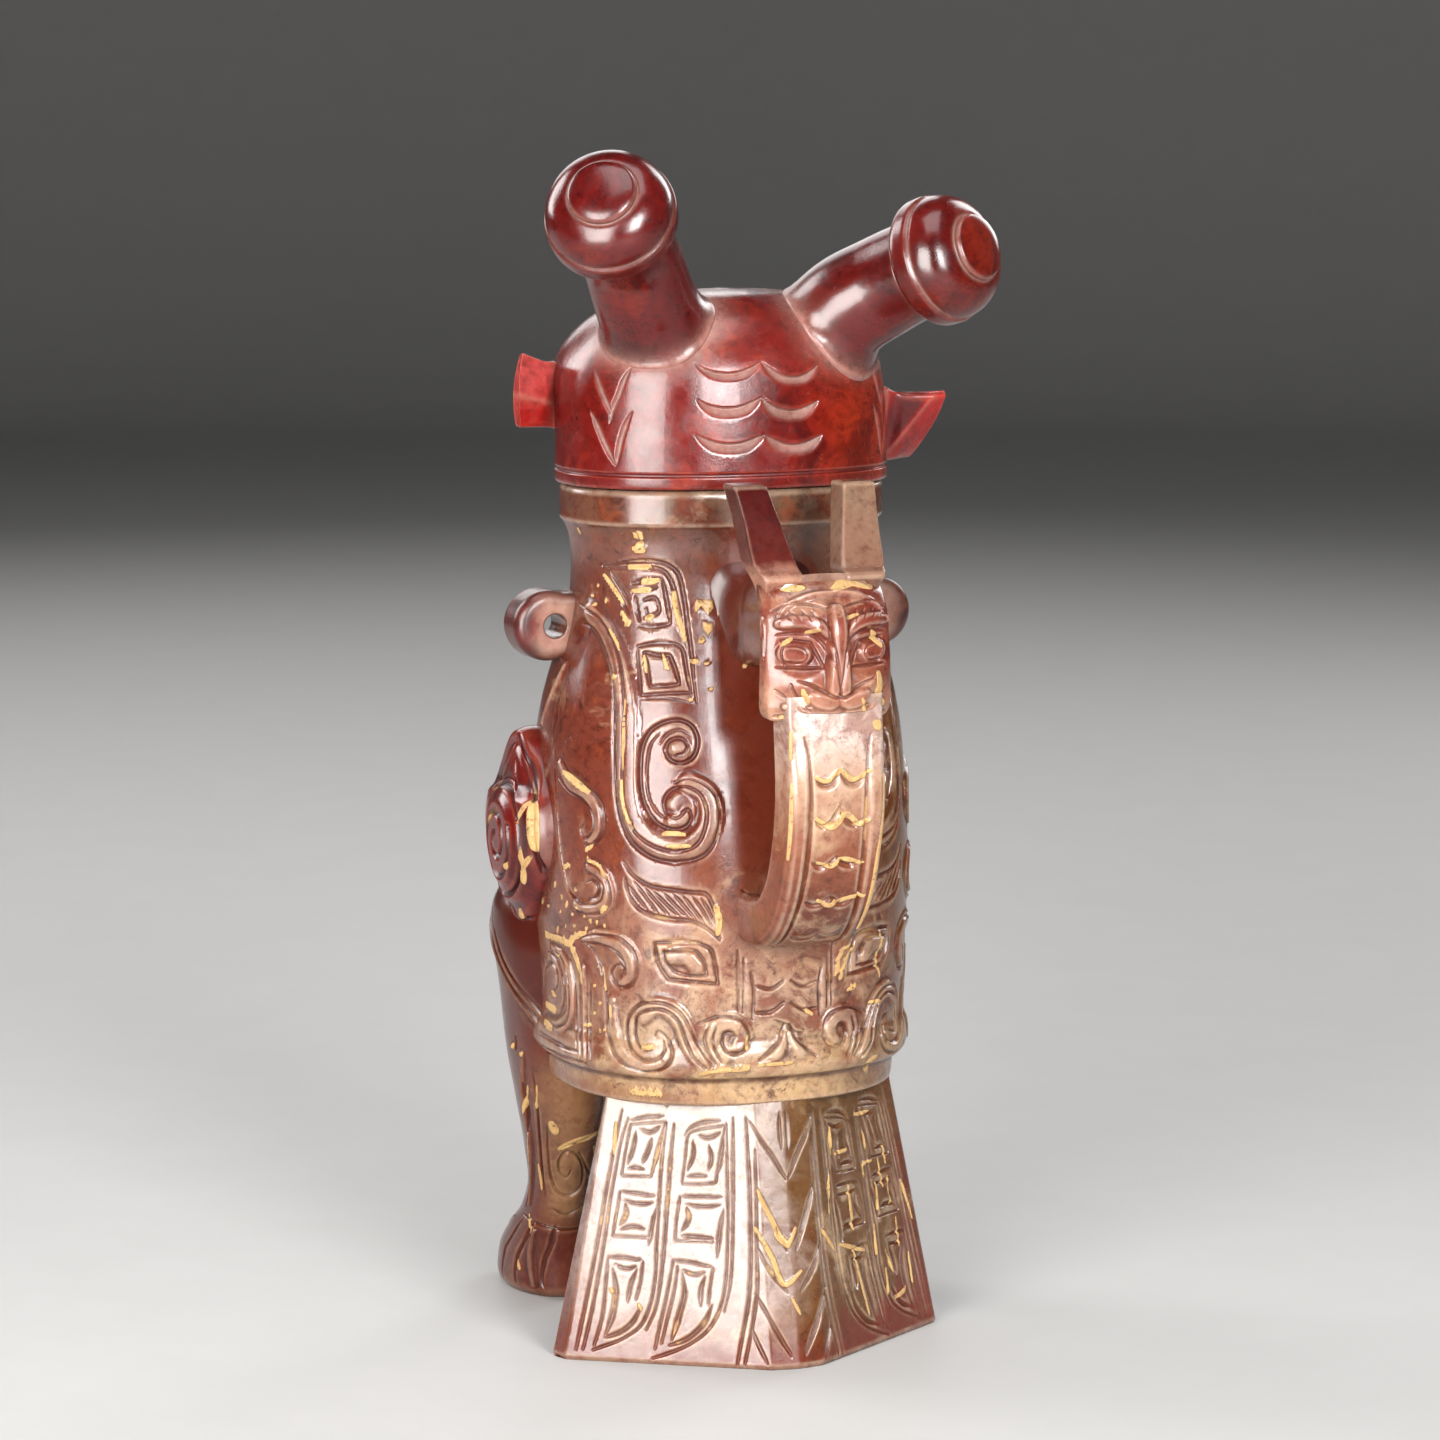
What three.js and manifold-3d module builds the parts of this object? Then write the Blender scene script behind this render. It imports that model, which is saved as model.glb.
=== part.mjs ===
// Carved jade vessel in the shape of a standing owl, with a lift-off lid.
// Millimetres, +Z up. The bird faces -Y, its left is +X, the handle and tail are at +Y.
// The origin is on the ground, under the middle of the outline.
import * as THREE from "three";
import { mergeVertices } from "three/addons/utils/BufferGeometryUtils.js";
import Module from "manifold-3d";

const wasm = await Module();
wasm.setup();

// ---------------------------------------------------------------- dimensions
const GAP = 0.3; // hairline between neighbouring members
const SEGMENTS = 44; // sides of the body and lid rings
const SQUARE = 2.25; // exponent of the body and lid plan (2 is an ellipse)

// outer skin of the body: height, half width, depth behind and before the axis
const BODY = [
  [50.0, 20.0, 17.0, 26.0],
  [52.0, 28.0, 25.5, 36.0],
  [56.0, 33.6, 31.0, 42.5],
  [59.6, 35.8, 33.6, 44.6],
  [60.4, 37.4, 36.0, 46.8],
  [62.6, 38.4, 36.8, 47.6],
  [65.6, 38.2, 36.5, 47.6],
  [68.4, 37.4, 35.7, 47.4],
  [78.0, 37.8, 35.8, 48.2],
  [90.0, 38.4, 35.5, 48.6],
  [102.0, 39.0, 34.6, 47.4],
  [114.0, 38.8, 33.1, 44.6],
  [125.0, 38.2, 31.1, 40.8],
  [134.0, 37.2, 29.1, 37.2],
  [142.0, 35.2, 27.0, 33.8],
  [150.0, 33.0, 24.9, 30.4],
  [157.0, 31.8, 23.4, 27.8],
  [164.0, 31.7, 22.8, 26.2],
  [169.6, 32.3, 23.0, 25.8],
  [172.2, 33.4, 23.8, 26.2],
  [173.2, 34.2, 24.6, 26.8],
  [179.4, 34.2, 24.6, 26.8],
  [180.2, 33.6, 24.0, 26.2],
];
const BODY_FOOT = [0, -4, 50.0];
// inner skin, from the mouth down
const CAVITY = [
  [180.2, 28.6, 19.0, 21.2],
  [171.0, 28.4, 18.8, 21.0],
  [165.0, 25.8, 17.4, 20.4],
  [157.0, 25.4, 17.4, 21.8],
  [150.0, 26.8, 18.9, 24.4],
  [142.0, 29.0, 21.0, 27.8],
  [134.0, 31.0, 23.1, 31.2],
  [124.0, 32.0, 25.2, 34.8],
  [112.0, 32.6, 27.2, 38.8],
  [100.0, 32.8, 28.6, 41.4],
  [88.0, 32.6, 29.4, 42.4],
  [76.0, 31.6, 29.0, 41.2],
  [68.0, 28.4, 26.0, 36.8],
  [64.4, 20.4, 18.4, 26.6],
];
const CAVITY_FLOOR = [0, -4, 63.0];

// outer skin of the lid, from the rim up, and its hollow, from the rim up
const LID = [
  [180.5, 34.7, 24.9, 27.1],
  [181.2, 35.3, 25.5, 27.7],
  [184.8, 35.3, 25.5, 27.7],
  [185.4, 34.5, 24.7, 26.9],
  [186.4, 34.5, 24.7, 26.9],
  [187.4, 35.0, 25.2, 27.4],
  [196.2, 34.8, 25.0, 27.4],
  [203.4, 33.8, 24.2, 26.4],
  [209.2, 31.4, 22.4, 24.4],
  [213.9, 27.6, 19.6, 21.2],
  [217.3, 22.0, 15.4, 16.8],
  [219.5, 14.6, 10.2, 11.0],
];
const LID_TOP = [0, 0, 220.3];
const LID_HOLLOW = [
  [180.5, 28.0, 18.4, 20.6],
  [188.2, 28.0, 18.4, 20.6],
  [197.2, 27.6, 18.0, 20.2],
  [204.0, 25.6, 16.4, 18.6],
  [209.2, 21.4, 13.4, 15.2],
  [212.2, 15.0, 9.2, 10.6],
];
const LID_HOLLOW_TOP = [0, 0, 213.4];
const SPIGOT_TOP = 180.2,
  SPIGOT_BOTTOM = 172.4,
  SPIGOT_CLEAR = 0.5, // play in the mouth
  SPIGOT_WALL = 4.2;

// bottle horns on the lid: root, bend, end of the stem; radii of the stem; way the cap faces
const HORN_LEFT = [
  [15.4, 8.0, 208.0],
  [22.2, 13.4, 218.4],
  [28.6, 19.8, 229.4],
  [34.4, 27.0, 235.4],
];
const HORN_LEFT_RADII = [11.8, 10.4, 10.0, 10.0];
const HORN_LEFT_FACE = [0.47, 0.72, 0.51];
const HORN_RIGHT = [
  [-17.0, 8.0, 205.0],
  [-21.6, 13.0, 215.4],
  [-28.6, 19.0, 221.0],
  [-35.2, 27.4, 226.0],
];
const HORN_RIGHT_RADII = [12.2, 11.2, 10.7, 10.3];
const HORN_RIGHT_FACE = [-0.47, 0.83, 0.3];
// cap of a horn: radius, height along the horn
const HORN_CAP = [
  [0.0, -1.4],
  [10.4, -1.4],
  [12.8, -0.6],
  [13.5, 0.8],
  [13.4, 4.6],
  [12.2, 8.0],
  [9.8, 10.8],
  [7.2, 12.2],
  [6.8, 13.0],
  [3.8, 14.0],
  [0.0, 14.3],
];

// ears on the lid: outlines of the root, the middle and the outer edge, as [x, y, z];
// the right one sits lower and further back, as carved, and is given as if on the left
const EAR_LEFT = [
  [
    [27.4, -4.4, 205.6],
    [27.4, -14.6, 205.6],
    [27.4, -16.0, 192.4],
    [27.4, -6.4, 192.4],
  ],
  [
    [37.2, -4.2, 206.8],
    [37.0, -10.6, 206.2],
    [36.0, -15.6, 191.8],
    [36.6, -8.6, 191.6],
  ],
  [
    [42.6, -3.8, 207.6],
    [42.2, -6.8, 207.0],
    [41.0, -13.0, 191.9],
    [41.3, -9.4, 191.7],
  ],
];
const EAR_RIGHT = [
  [
    [30.0, 2.4, 196.4],
    [30.0, -9.0, 196.4],
    [30.0, -10.0, 184.2],
    [30.0, 0.0, 184.2],
  ],
  [
    [41.0, 6.4, 198.0],
    [41.0, -1.6, 197.4],
    [39.6, -7.6, 183.6],
    [39.6, 0.0, 183.4],
  ],
  [
    [47.8, 7.4, 198.2],
    [47.4, 4.6, 197.6],
    [43.4, -4.4, 183.8],
    [43.8, -1.8, 183.6],
  ],
];

// face on the front of the lid
const EYE_X = 14.2,
  EYE_Z = 201.8;
const EYE = [
  [0, -9.0],
  [8.6, -9.0],
  [8.6, 1.4],
  [7.6, 2.6],
  [6.2, 2.6],
  [5.4, 1.8],
  [4.4, 3.4],
  [0, 4.4],
];
const BEAK = [
  // height, half width, front, back
  [183.8, 1.2, -38.4, -35.6],
  [185.8, 2.4, -39.6, -32.0],
  [189.2, 3.8, -40.2, -24.0],
  [194.2, 5.0, -39.0, -22.0],
  [199.2, 5.2, -35.4, -21.0],
  [204.2, 4.0, -30.4, -19.0],
  [207.2, 2.4, -27.0, -18.0],
];

// ring lugs at the sides of the neck
const LUG_X = 37.4,
  LUG_EYE_X = 36.2,
  LUG_Z = 150.8,
  LUG_RADIUS = 7.4,
  LUG_EYE_RADIUS = 2.65,
  LUG_BACK = -2.4,
  LUG_DEEP = 10.0;

// wing coils at the sides of the body
const COIL_Y = -14.0,
  COIL_Z = 107.6,
  COIL_HALF_Y = 17.0,
  COIL_HALF_Z = 21.0,
  COIL_BASE_X = 28.0;
const COIL = [
  // share of the radius, distance out from the base
  [0.0, 0.0],
  [1.0, 0.0],
  [1.0, 10.4],
  [0.94, 13.4],
  [0.8, 15.4],
  [0.55, 16.2],
  [0.0, 16.4],
];

// legs: height, centre x, centre y, half width, half depth (left leg)
const LEG = [
  [0.0, 22.6, -47.6, 9.0, 15.4],
  [3.0, 22.8, -48.0, 9.6, 16.0],
  [8.0, 23.0, -47.0, 9.4, 15.2],
  [14.0, 23.4, -43.0, 8.2, 12.4],
  [19.0, 23.8, -38.4, 6.9, 9.8],
  [25.0, 24.2, -34.6, 6.4, 9.2],
  [34.0, 25.2, -30.6, 7.4, 11.0],
  [46.0, 26.6, -26.4, 9.2, 14.2],
  [58.0, 27.8, -24.4, 10.6, 16.4],
  [70.0, 28.8, -23.6, 11.1, 17.4],
  [80.0, 29.8, -23.4, 11.4, 17.4],
  [88.0, 29.8, -23.4, 10.8, 15.0],
  [94.0, 29.4, -23.4, 8.8, 11.0],
];

// tail: a fan bent into a shallow V, standing on its lower edge
const TAIL_HEIGHT = 64.0,
  TAIL_HALF_BOTTOM = 42.4,
  TAIL_HALF_TOP = 30.2,
  TAIL_SIDE_BOTTOM = 17.4,
  TAIL_SIDE_TOP = 14.8,
  TAIL_BACK_BOTTOM = 43.0,
  TAIL_BACK_TOP = 31.2,
  TAIL_STRIP = 5.8, // half width of the flat strip in the middle
  TAIL_EDGE = 5.0, // thickness at the sides
  TAIL_MIDDLE = 10.0; // thickness in the middle

// handle: centre line of the strap as [y, z], from the head down
const STRAP = [
  [58.2, 142.0],
  [58.5, 134.0],
  [58.2, 123.0],
  [56.6, 111.5],
  [52.8, 101.6],
  [46.8, 95.2],
  [39.4, 93.2],
  [30.0, 93.6],
];
const STRAP_HALF_WIDTH = 10.4,
  STRAP_HALF_THICK = 4.9;
// beast head on the handle: height, half width, back of the block, front of the block
const HEAD = [
  [137.0, 11.2, 63.4, 52.4],
  [140.0, 11.8, 64.0, 52.4],
  [147.0, 11.8, 64.0, 52.8],
  [155.0, 11.6, 63.6, 52.4],
  [161.4, 11.4, 62.0, 50.0],
  [165.0, 10.6, 59.4, 48.6],
];
const BRIDGE_HALF_WIDTH = 7.4,
  BRIDGE_LOW = 144.4,
  BRIDGE_HIGH = 162.6,
  BRIDGE_INNER = 16.0;
// slab horns of the beast: height, inner and outer half width, back, front (left one)
const SLAB = [
  [162.6, 4.4, 14.0, 54.6, 47.4],
  [165.2, 4.6, 14.2, 53.8, 46.4],
  [168.0, 5.0, 14.2, 52.2, 45.0],
  [176.0, 6.8, 14.6, 48.2, 41.2],
  [183.2, 8.4, 15.4, 44.6, 37.8],
];

// ------------------------------------------------------------------ helpers
const v3 = (p) => new THREE.Vector3(p[0], p[1], p[2]);

// a closed ring of points round the axis at one height
function planRing([z, half, back, front], grow = 0, n = SEGMENTS) {
  const ring = [];
  for (let i = 0; i < n; i++) {
    const t = (2 * Math.PI * i) / n,
      c = Math.cos(t),
      s = Math.sin(t);
    const depth = (s > 0 ? back : front) + grow;
    ring.push([
      (half + grow) * Math.sign(c) * Math.pow(Math.abs(c), 2 / SQUARE),
      depth * Math.sign(s) * Math.pow(Math.abs(s), 2 / SQUARE),
      z,
    ]);
  }
  return ring;
}

// a skin through rings of equal length; each end closes on a point, or on its own flat outline
function loft(rings, first = null, last = null) {
  const n = rings[0].length,
    pos = [],
    index = [];
  for (const r of rings) for (const p of r) pos.push(p[0], p[1], p[2]);
  const at = (i, j) => i * n + (j % n);
  for (let i = 0; i + 1 < rings.length; i++)
    for (let j = 0; j < n; j++) {
      index.push(at(i, j), at(i, j + 1), at(i + 1, j));
      index.push(at(i, j + 1), at(i + 1, j + 1), at(i + 1, j));
    }
  const cap = (i, point, up) => {
    if (point) {
      const k = pos.length / 3;
      pos.push(point[0], point[1], point[2]);
      for (let j = 0; j < n; j++)
        if (up) index.push(at(i, j), at(i, j + 1), k);
        else index.push(at(i, j + 1), at(i, j), k);
      return;
    }
    const flat = rings[i].map((p) => new THREE.Vector2(p[0], p[1]));
    for (const [a, b, c] of THREE.ShapeUtils.triangulateShape(flat, []))
      if (up) index.push(at(i, a), at(i, b), at(i, c));
      else index.push(at(i, a), at(i, c), at(i, b));
  };
  cap(0, first, false);
  cap(rings.length - 1, last, true);
  return new THREE.BufferGeometry()
    .setAttribute("position", new THREE.Float32BufferAttribute(pos, 3))
    .setIndex(index);
}

// geometry to solid and back
function solid(geometry) {
  const g = geometry.index ? geometry.toNonIndexed() : geometry.clone();
  for (const k of Object.keys(g.attributes))
    if (k !== "position") g.deleteAttribute(k);
  const m = mergeVertices(g, 1e-4);
  const tri = [];
  const idx = m.index.array;
  for (let i = 0; i < idx.length; i += 3)
    if (idx[i] !== idx[i + 1] && idx[i + 1] !== idx[i + 2] && idx[i] !== idx[i + 2])
      tri.push(idx[i], idx[i + 1], idx[i + 2]);
  const make = (t) =>
    new wasm.Manifold(
      new wasm.Mesh({
        numProp: 3,
        vertProperties: new Float32Array(m.attributes.position.array),
        triVerts: new Uint32Array(t),
      }),
    );
  const made = make(tri);
  if (made.volume() >= 0) return made;
  const flipped = [];
  for (let i = 0; i < tri.length; i += 3)
    flipped.push(tri[i], tri[i + 2], tri[i + 1]);
  return make(flipped);
}
function geometryOf(s) {
  const m = s.getMesh(),
    v = new Float32Array(m.numVert * 3);
  for (let i = 0; i < m.numVert; i++)
    v.set(m.vertProperties.subarray(i * m.numProp, i * m.numProp + 3), i * 3);
  const g = new THREE.BufferGeometry()
    .setAttribute("position", new THREE.BufferAttribute(v, 3))
    .setIndex(new THREE.BufferAttribute(new Uint32Array(m.triVerts), 1));
  g.computeVertexNormals();
  return g;
}
// the largest of the bodies a cut leaves
function largest(s) {
  return s.decompose().sort((a, b) => b.volume() - a.volume())[0];
}
const mirrored = (geometry) => {
  const g = geometry.clone().applyMatrix4(new THREE.Matrix4().makeScale(-1, 1, 1));
  return g;
};

// a round bar along a curve, with its own radius at each station
function taperedBar(points, radii, sides = 16, steps = 9) {
  const curve = new THREE.CatmullRomCurve3(points.map(v3), false, "centripetal");
  const frames = curve.computeFrenetFrames(steps, false);
  const rings = [];
  for (let i = 0; i <= steps; i++) {
    const u = i / steps,
      p = curve.getPointAt(u),
      k = Math.min(radii.length - 2, Math.floor(u * (radii.length - 1))),
      f = u * (radii.length - 1) - k,
      r = radii[k] * (1 - f) + radii[k + 1] * f;
    const ring = [];
    for (let j = 0; j < sides; j++) {
      const t = (2 * Math.PI * j) / sides;
      const q = p
        .clone()
        .addScaledVector(frames.normals[i], r * Math.cos(t))
        .addScaledVector(frames.binormals[i], r * Math.sin(t));
      ring.push([q.x, q.y, q.z]);
    }
    rings.push(ring);
  }
  const a = curve.getPointAt(0),
    b = curve.getPointAt(1);
  return {
    geometry: loft(rings, [a.x, a.y, a.z], [b.x, b.y, b.z]),
    end: b,
  };
}

const part = new THREE.Group();
const JADE = {
  red: [0x7a2a22, 0.18],
  brown: [0x8a4a36, 0.2],
  olive: [0x9a8a58, 0.22],
  cream: [0xc8ab90, 0.22],
};
function add(name, geometry, tone) {
  const mesh = new THREE.Mesh(
    geometry,
    new THREE.MeshStandardMaterial({
      color: JADE[tone][0],
      roughness: JADE[tone][1],
      metalness: 0,
    }),
  );
  mesh.name = name;
  part.add(mesh);
  return mesh;
}

// ------------------------------------------------------------------- vessel
// body: outer skin up to the mouth, then the cavity down to its floor
add(
  "vessel_body",
  loft(
    [...BODY.map((r) => planRing(r)), ...CAVITY.map((r) => planRing(r))],
    BODY_FOOT,
    CAVITY_FLOOR,
  ),
  "brown",
);
// the body as a full solid, a hairline larger, to trim what stands against it
const trimBody = solid(
  loft(
    BODY.map((r) => planRing(r, GAP)),
    [0, -4, 50.0 - GAP],
    [0, 0, 180.2 + GAP],
  ),
);
const trimmed = (geometry) => geometryOf(largest(solid(geometry).subtract(trimBody)));

// tail
function tailRing(z) {
  const v = z / TAIL_HEIGHT,
    mix = (a, b) => a + (b - a) * v;
  const w = mix(TAIL_HALF_BOTTOM, TAIL_HALF_TOP),
    side = mix(TAIL_SIDE_BOTTOM, TAIL_SIDE_TOP),
    back = mix(TAIL_BACK_BOTTOM, TAIL_BACK_TOP);
  return [
    [w, side, z],
    [TAIL_STRIP, back - 0.9, z],
    [0, back, z],
    [-TAIL_STRIP, back - 0.9, z],
    [-w, side, z],
    [-w - 0.9 + 2.4 * v, side - TAIL_EDGE + 2.6 * v, z],
    [-TAIL_STRIP - 2, back - TAIL_MIDDLE - 1.2, z],
    [TAIL_STRIP + 2, back - TAIL_MIDDLE - 1.2, z],
    [w + 0.9 - 2.4 * v, side - TAIL_EDGE + 2.6 * v, z],
  ];
}
const tailGeometry = trimmed(
  loft([0, 8, 16, 24, 32, 40, 48, 56, TAIL_HEIGHT].map(tailRing)),
);
add("tail", tailGeometry, "olive");

// legs and feet
function legRing([z, cx, cy, rx, ry]) {
  const ring = [];
  for (let j = 0; j < 22; j++) {
    const t = (2 * Math.PI * j) / 22;
    ring.push([cx + rx * Math.cos(t), cy + ry * Math.sin(t), z]);
  }
  return ring;
}
const leg = trimmed(loft(LEG.map(legRing)));
add("left_leg", leg, "brown");
add("right_leg", geometryOf(solid(mirrored(leg))), "brown");

// ring lugs: a disc on a short tongue, with a round eye through it
const lugShape = new THREE.Shape();
lugShape.moveTo(26, LUG_Z - 6.2);
lugShape.lineTo(LUG_X - 2, LUG_Z - LUG_RADIUS + 0.3);
lugShape.absarc(LUG_X, LUG_Z, LUG_RADIUS, -Math.PI * 0.58, Math.PI * 0.58, false);
lugShape.lineTo(26, LUG_Z + 6.2);
lugShape.closePath();
const lugEye = new THREE.Path();
lugEye.absarc(LUG_EYE_X, LUG_Z, LUG_EYE_RADIUS, 0, Math.PI * 2, true);
lugShape.holes.push(lugEye);
const lugBar = new THREE.ExtrudeGeometry(lugShape, {
  depth: LUG_DEEP - 2.4,
  bevelEnabled: true,
  bevelThickness: 1.2,
  bevelSize: 1.0,
  bevelOffset: -1.0,
  bevelSegments: 2,
  curveSegments: 14,
});
lugBar.translate(0, 0, 1.2).rotateX(Math.PI / 2).translate(0, LUG_BACK, 0);
const lug = trimmed(lugBar);
add("left_lug", lug, "brown");
add("right_lug", geometryOf(solid(mirrored(lug))), "brown");

// wing coils: low oval bosses
const coilBar = new THREE.LatheGeometry(
  COIL.map(([r, h]) => new THREE.Vector2(r, h)),
  28,
)
  .rotateZ(-Math.PI / 2)
  .scale(1, COIL_HALF_Y, COIL_HALF_Z)
  .translate(COIL_BASE_X, COIL_Y, COIL_Z);
const coil = trimmed(coilBar);
const trimLegs = solid(
  loft(
    LEG.map(([z, cx, cy, rx, ry], i) =>
      legRing([i === LEG.length - 1 ? z + GAP : z, cx, cy, rx + GAP, ry + GAP]),
    ),
  ),
);
const coilClear = geometryOf(largest(solid(coil).subtract(trimLegs)));
add("left_wing_coil", coilClear, "red");
add("right_wing_coil", geometryOf(solid(mirrored(coilClear))), "red");

// handle head: a block behind the neck, carried by a bridge
function boxRing(z, half, back, front, round) {
  return [
    [half, front + round, z],
    [half, back - round * 1.6, z],
    [half - round, back - 0.3 * round, z],
    [half * 0.3, back, z],
    [-half * 0.3, back, z],
    [-half + round, back - 0.3 * round, z],
    [-half, back - round * 1.6, z],
    [-half, front + round, z],
    [-half + round, front, z],
    [half - round, front, z],
  ];
}
const headBlock = (grow) =>
  solid(
    loft(
      HEAD.map(([z, half, back, front], i) =>
        boxRing(
          z + (i === 0 ? -grow : i === HEAD.length - 1 ? grow : 0),
          half + grow,
          back + grow,
          front - grow,
          2.4,
        ),
      ),
    ),
  );
const bridge = (grow) =>
  solid(
    loft(
      [BRIDGE_LOW - grow, BRIDGE_LOW + 2, BRIDGE_HIGH - 2, BRIDGE_HIGH + grow].map((z, i) =>
        boxRing(
          z,
          BRIDGE_HALF_WIDTH + grow - (i === 0 || i === 3 ? 1.6 : 0),
          55,
          BRIDGE_INNER,
          1.6,
        ),
      ),
    ),
  );
const head = largest(headBlock(0).add(bridge(0)).subtract(trimBody));
add("handle_beast_head", geometryOf(head), "cream");
const trimHead = headBlock(GAP).add(bridge(GAP));

// handle strap, from under the head round to the body
const strapCurve = new THREE.CatmullRomCurve3(
  STRAP.map(([y, z]) => new THREE.Vector3(0, y, z)),
  false,
  "centripetal",
);
const strapRings = [];
for (let i = 0; i <= 16; i++) {
  const p = strapCurve.getPointAt(i / 16),
    t = strapCurve.getTangentAt(i / 16);
  const outY = -t.z,
    outZ = t.y; // outward from the body
  const h = STRAP_HALF_WIDTH,
    k = STRAP_HALF_THICK;
  strapRings.push(
    [
      [h, -k + 1.4],
      [h - 1.4, -k],
      [-h + 1.4, -k],
      [-h, -k + 1.4],
      [-h, k - 2.4],
      [-h + 2.4, k],
      [h - 2.4, k],
      [h, k - 2.4],
    ].map(([x, o]) => [x, p.y + outY * o, p.z + outZ * o]),
  );
}
const p0 = strapCurve.getPointAt(0),
  p1 = strapCurve.getPointAt(1);
const strap = loft(strapRings, [0, p0.y, p0.z], [0, p1.y, p1.z]);
add(
  "handle_strap",
  geometryOf(largest(solid(strap).subtract(trimBody).subtract(trimHead))),
  "cream",
);

// slab horns of the beast, leaning towards the neck
const slab = loft(
  SLAB.map(([z, inner, outer, back, front]) => [
    [outer, front + 1, z],
    [outer, back - 1, z],
    [outer - 1, back, z],
    [inner + 1, back, z],
    [inner, back - 1, z],
    [inner, front + 1, z],
    [inner + 1, front, z],
    [outer - 1, front, z],
  ]),
);
const slabLeft = geometryOf(largest(solid(slab).subtract(trimHead).subtract(trimBody)));
add("handle_left_horn", slabLeft, "brown");
add("handle_right_horn", geometryOf(solid(mirrored(slabLeft))), "cream");

// ---------------------------------------------------------------------- lid
add(
  "lid_dome",
  loft(
    [
      ...LID_HOLLOW.slice().reverse().map((r) => planRing(r)),
      ...LID.map((r) => planRing(r)),
    ],
    LID_HOLLOW_TOP,
    LID_TOP,
  ),
  "red",
);
const trimLid = solid(
  loft(
    LID.map((r, i) => planRing([i === 0 ? r[0] - GAP : r[0], r[1], r[2], r[3]], GAP)),
    [0, 0, 180.5 - GAP],
    [0, 0, 220.3 + GAP],
  ),
);
const onLid = (s) => geometryOf(largest(s.subtract(trimLid)));

// locating ring, a sliding fit in the mouth
const mouth = CAVITY[0];
const ringAt = (z, inset) =>
  planRing([z, mouth[1] - inset, mouth[2] - inset, mouth[3] - inset]);
const outerInset = SPIGOT_CLEAR,
  innerInset = SPIGOT_CLEAR + SPIGOT_WALL;
const spigotRings = [
  ringAt(SPIGOT_TOP, innerInset),
  ringAt(SPIGOT_BOTTOM, innerInset),
  ringAt(SPIGOT_BOTTOM, outerInset + 0.9),
  ringAt(SPIGOT_BOTTOM + 0.9, outerInset),
  ringAt(SPIGOT_TOP, outerInset),
];
// the ring closes on itself
function closedLoft(rings) {
  const n = rings[0].length,
    pos = [],
    index = [];
  for (const r of rings) for (const p of r) pos.push(p[0], p[1], p[2]);
  const at = (i, j) => (i % rings.length) * n + (j % n);
  for (let i = 0; i < rings.length; i++)
    for (let j = 0; j < n; j++) {
      index.push(at(i, j), at(i, j + 1), at(i + 1, j));
      index.push(at(i, j + 1), at(i + 1, j + 1), at(i + 1, j));
    }
  return new THREE.BufferGeometry()
    .setAttribute("position", new THREE.Float32BufferAttribute(pos, 3))
    .setIndex(index);
}
add("lid_locating_ring", geometryOf(solid(closedLoft(spigotRings))), "red");

// bottle horns: a bent stem and a mushroom cap
function bottleHorn(points, radii, face) {
  const stem = taperedBar(points, radii);
  const cap = new THREE.LatheGeometry(
    HORN_CAP.map(([r, h]) => new THREE.Vector2(r, h)),
    24,
  );
  cap.applyQuaternion(
    new THREE.Quaternion().setFromUnitVectors(new THREE.Vector3(0, 1, 0), v3(face).normalize()),
  );
  cap.translate(stem.end.x, stem.end.y, stem.end.z);
  return onLid(solid(stem.geometry).add(solid(cap)));
}
add("lid_left_horn", bottleHorn(HORN_LEFT, HORN_LEFT_RADII, HORN_LEFT_FACE), "red");
add("lid_right_horn", bottleHorn(HORN_RIGHT, HORN_RIGHT_RADII, HORN_RIGHT_FACE), "red");

// ears: leaves whose outer edge slants from the top back to the bottom front
function earSolid(rings) {
  const middle = (ring) => [0, 1, 2].map((k) => ring.reduce((a, p) => a + p[k] / ring.length, 0));
  return solid(loft(rings, middle(rings[0]), middle(rings[2])));
}
add("lid_left_ear", onLid(earSolid(EAR_LEFT)), "red");
add("lid_right_ear", onLid(solid(mirrored(geometryOf(earSolid(EAR_RIGHT))))), "red");

// beak
const beak = loft(
  BEAK.map(([z, half, front, back]) => [
    [half, back, z],
    [-half, back, z],
    [-half, front + 2.4, z],
    [-half * 0.45, front + 0.4, z],
    [0, front, z],
    [half * 0.45, front + 0.4, z],
    [half, front + 2.4, z],
  ]),
);
add("lid_beak", onLid(solid(beak)), "brown");

// eyes: ringed discs facing forward and a little outward
function eye(side) {
  const g = new THREE.LatheGeometry(
    EYE.map(([r, h]) => new THREE.Vector2(r, h)),
    24,
  );
  g.rotateX(Math.PI); // the face turns to -Y
  g.rotateZ(side * 0.3);
  g.translate(side * EYE_X, -25.4, EYE_Z);
  return onLid(solid(g).subtract(solid(beak)));
}
add("lid_left_eye", eye(1), "brown");
add("lid_right_eye", eye(-1), "brown");

export default part;
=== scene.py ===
import math

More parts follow.
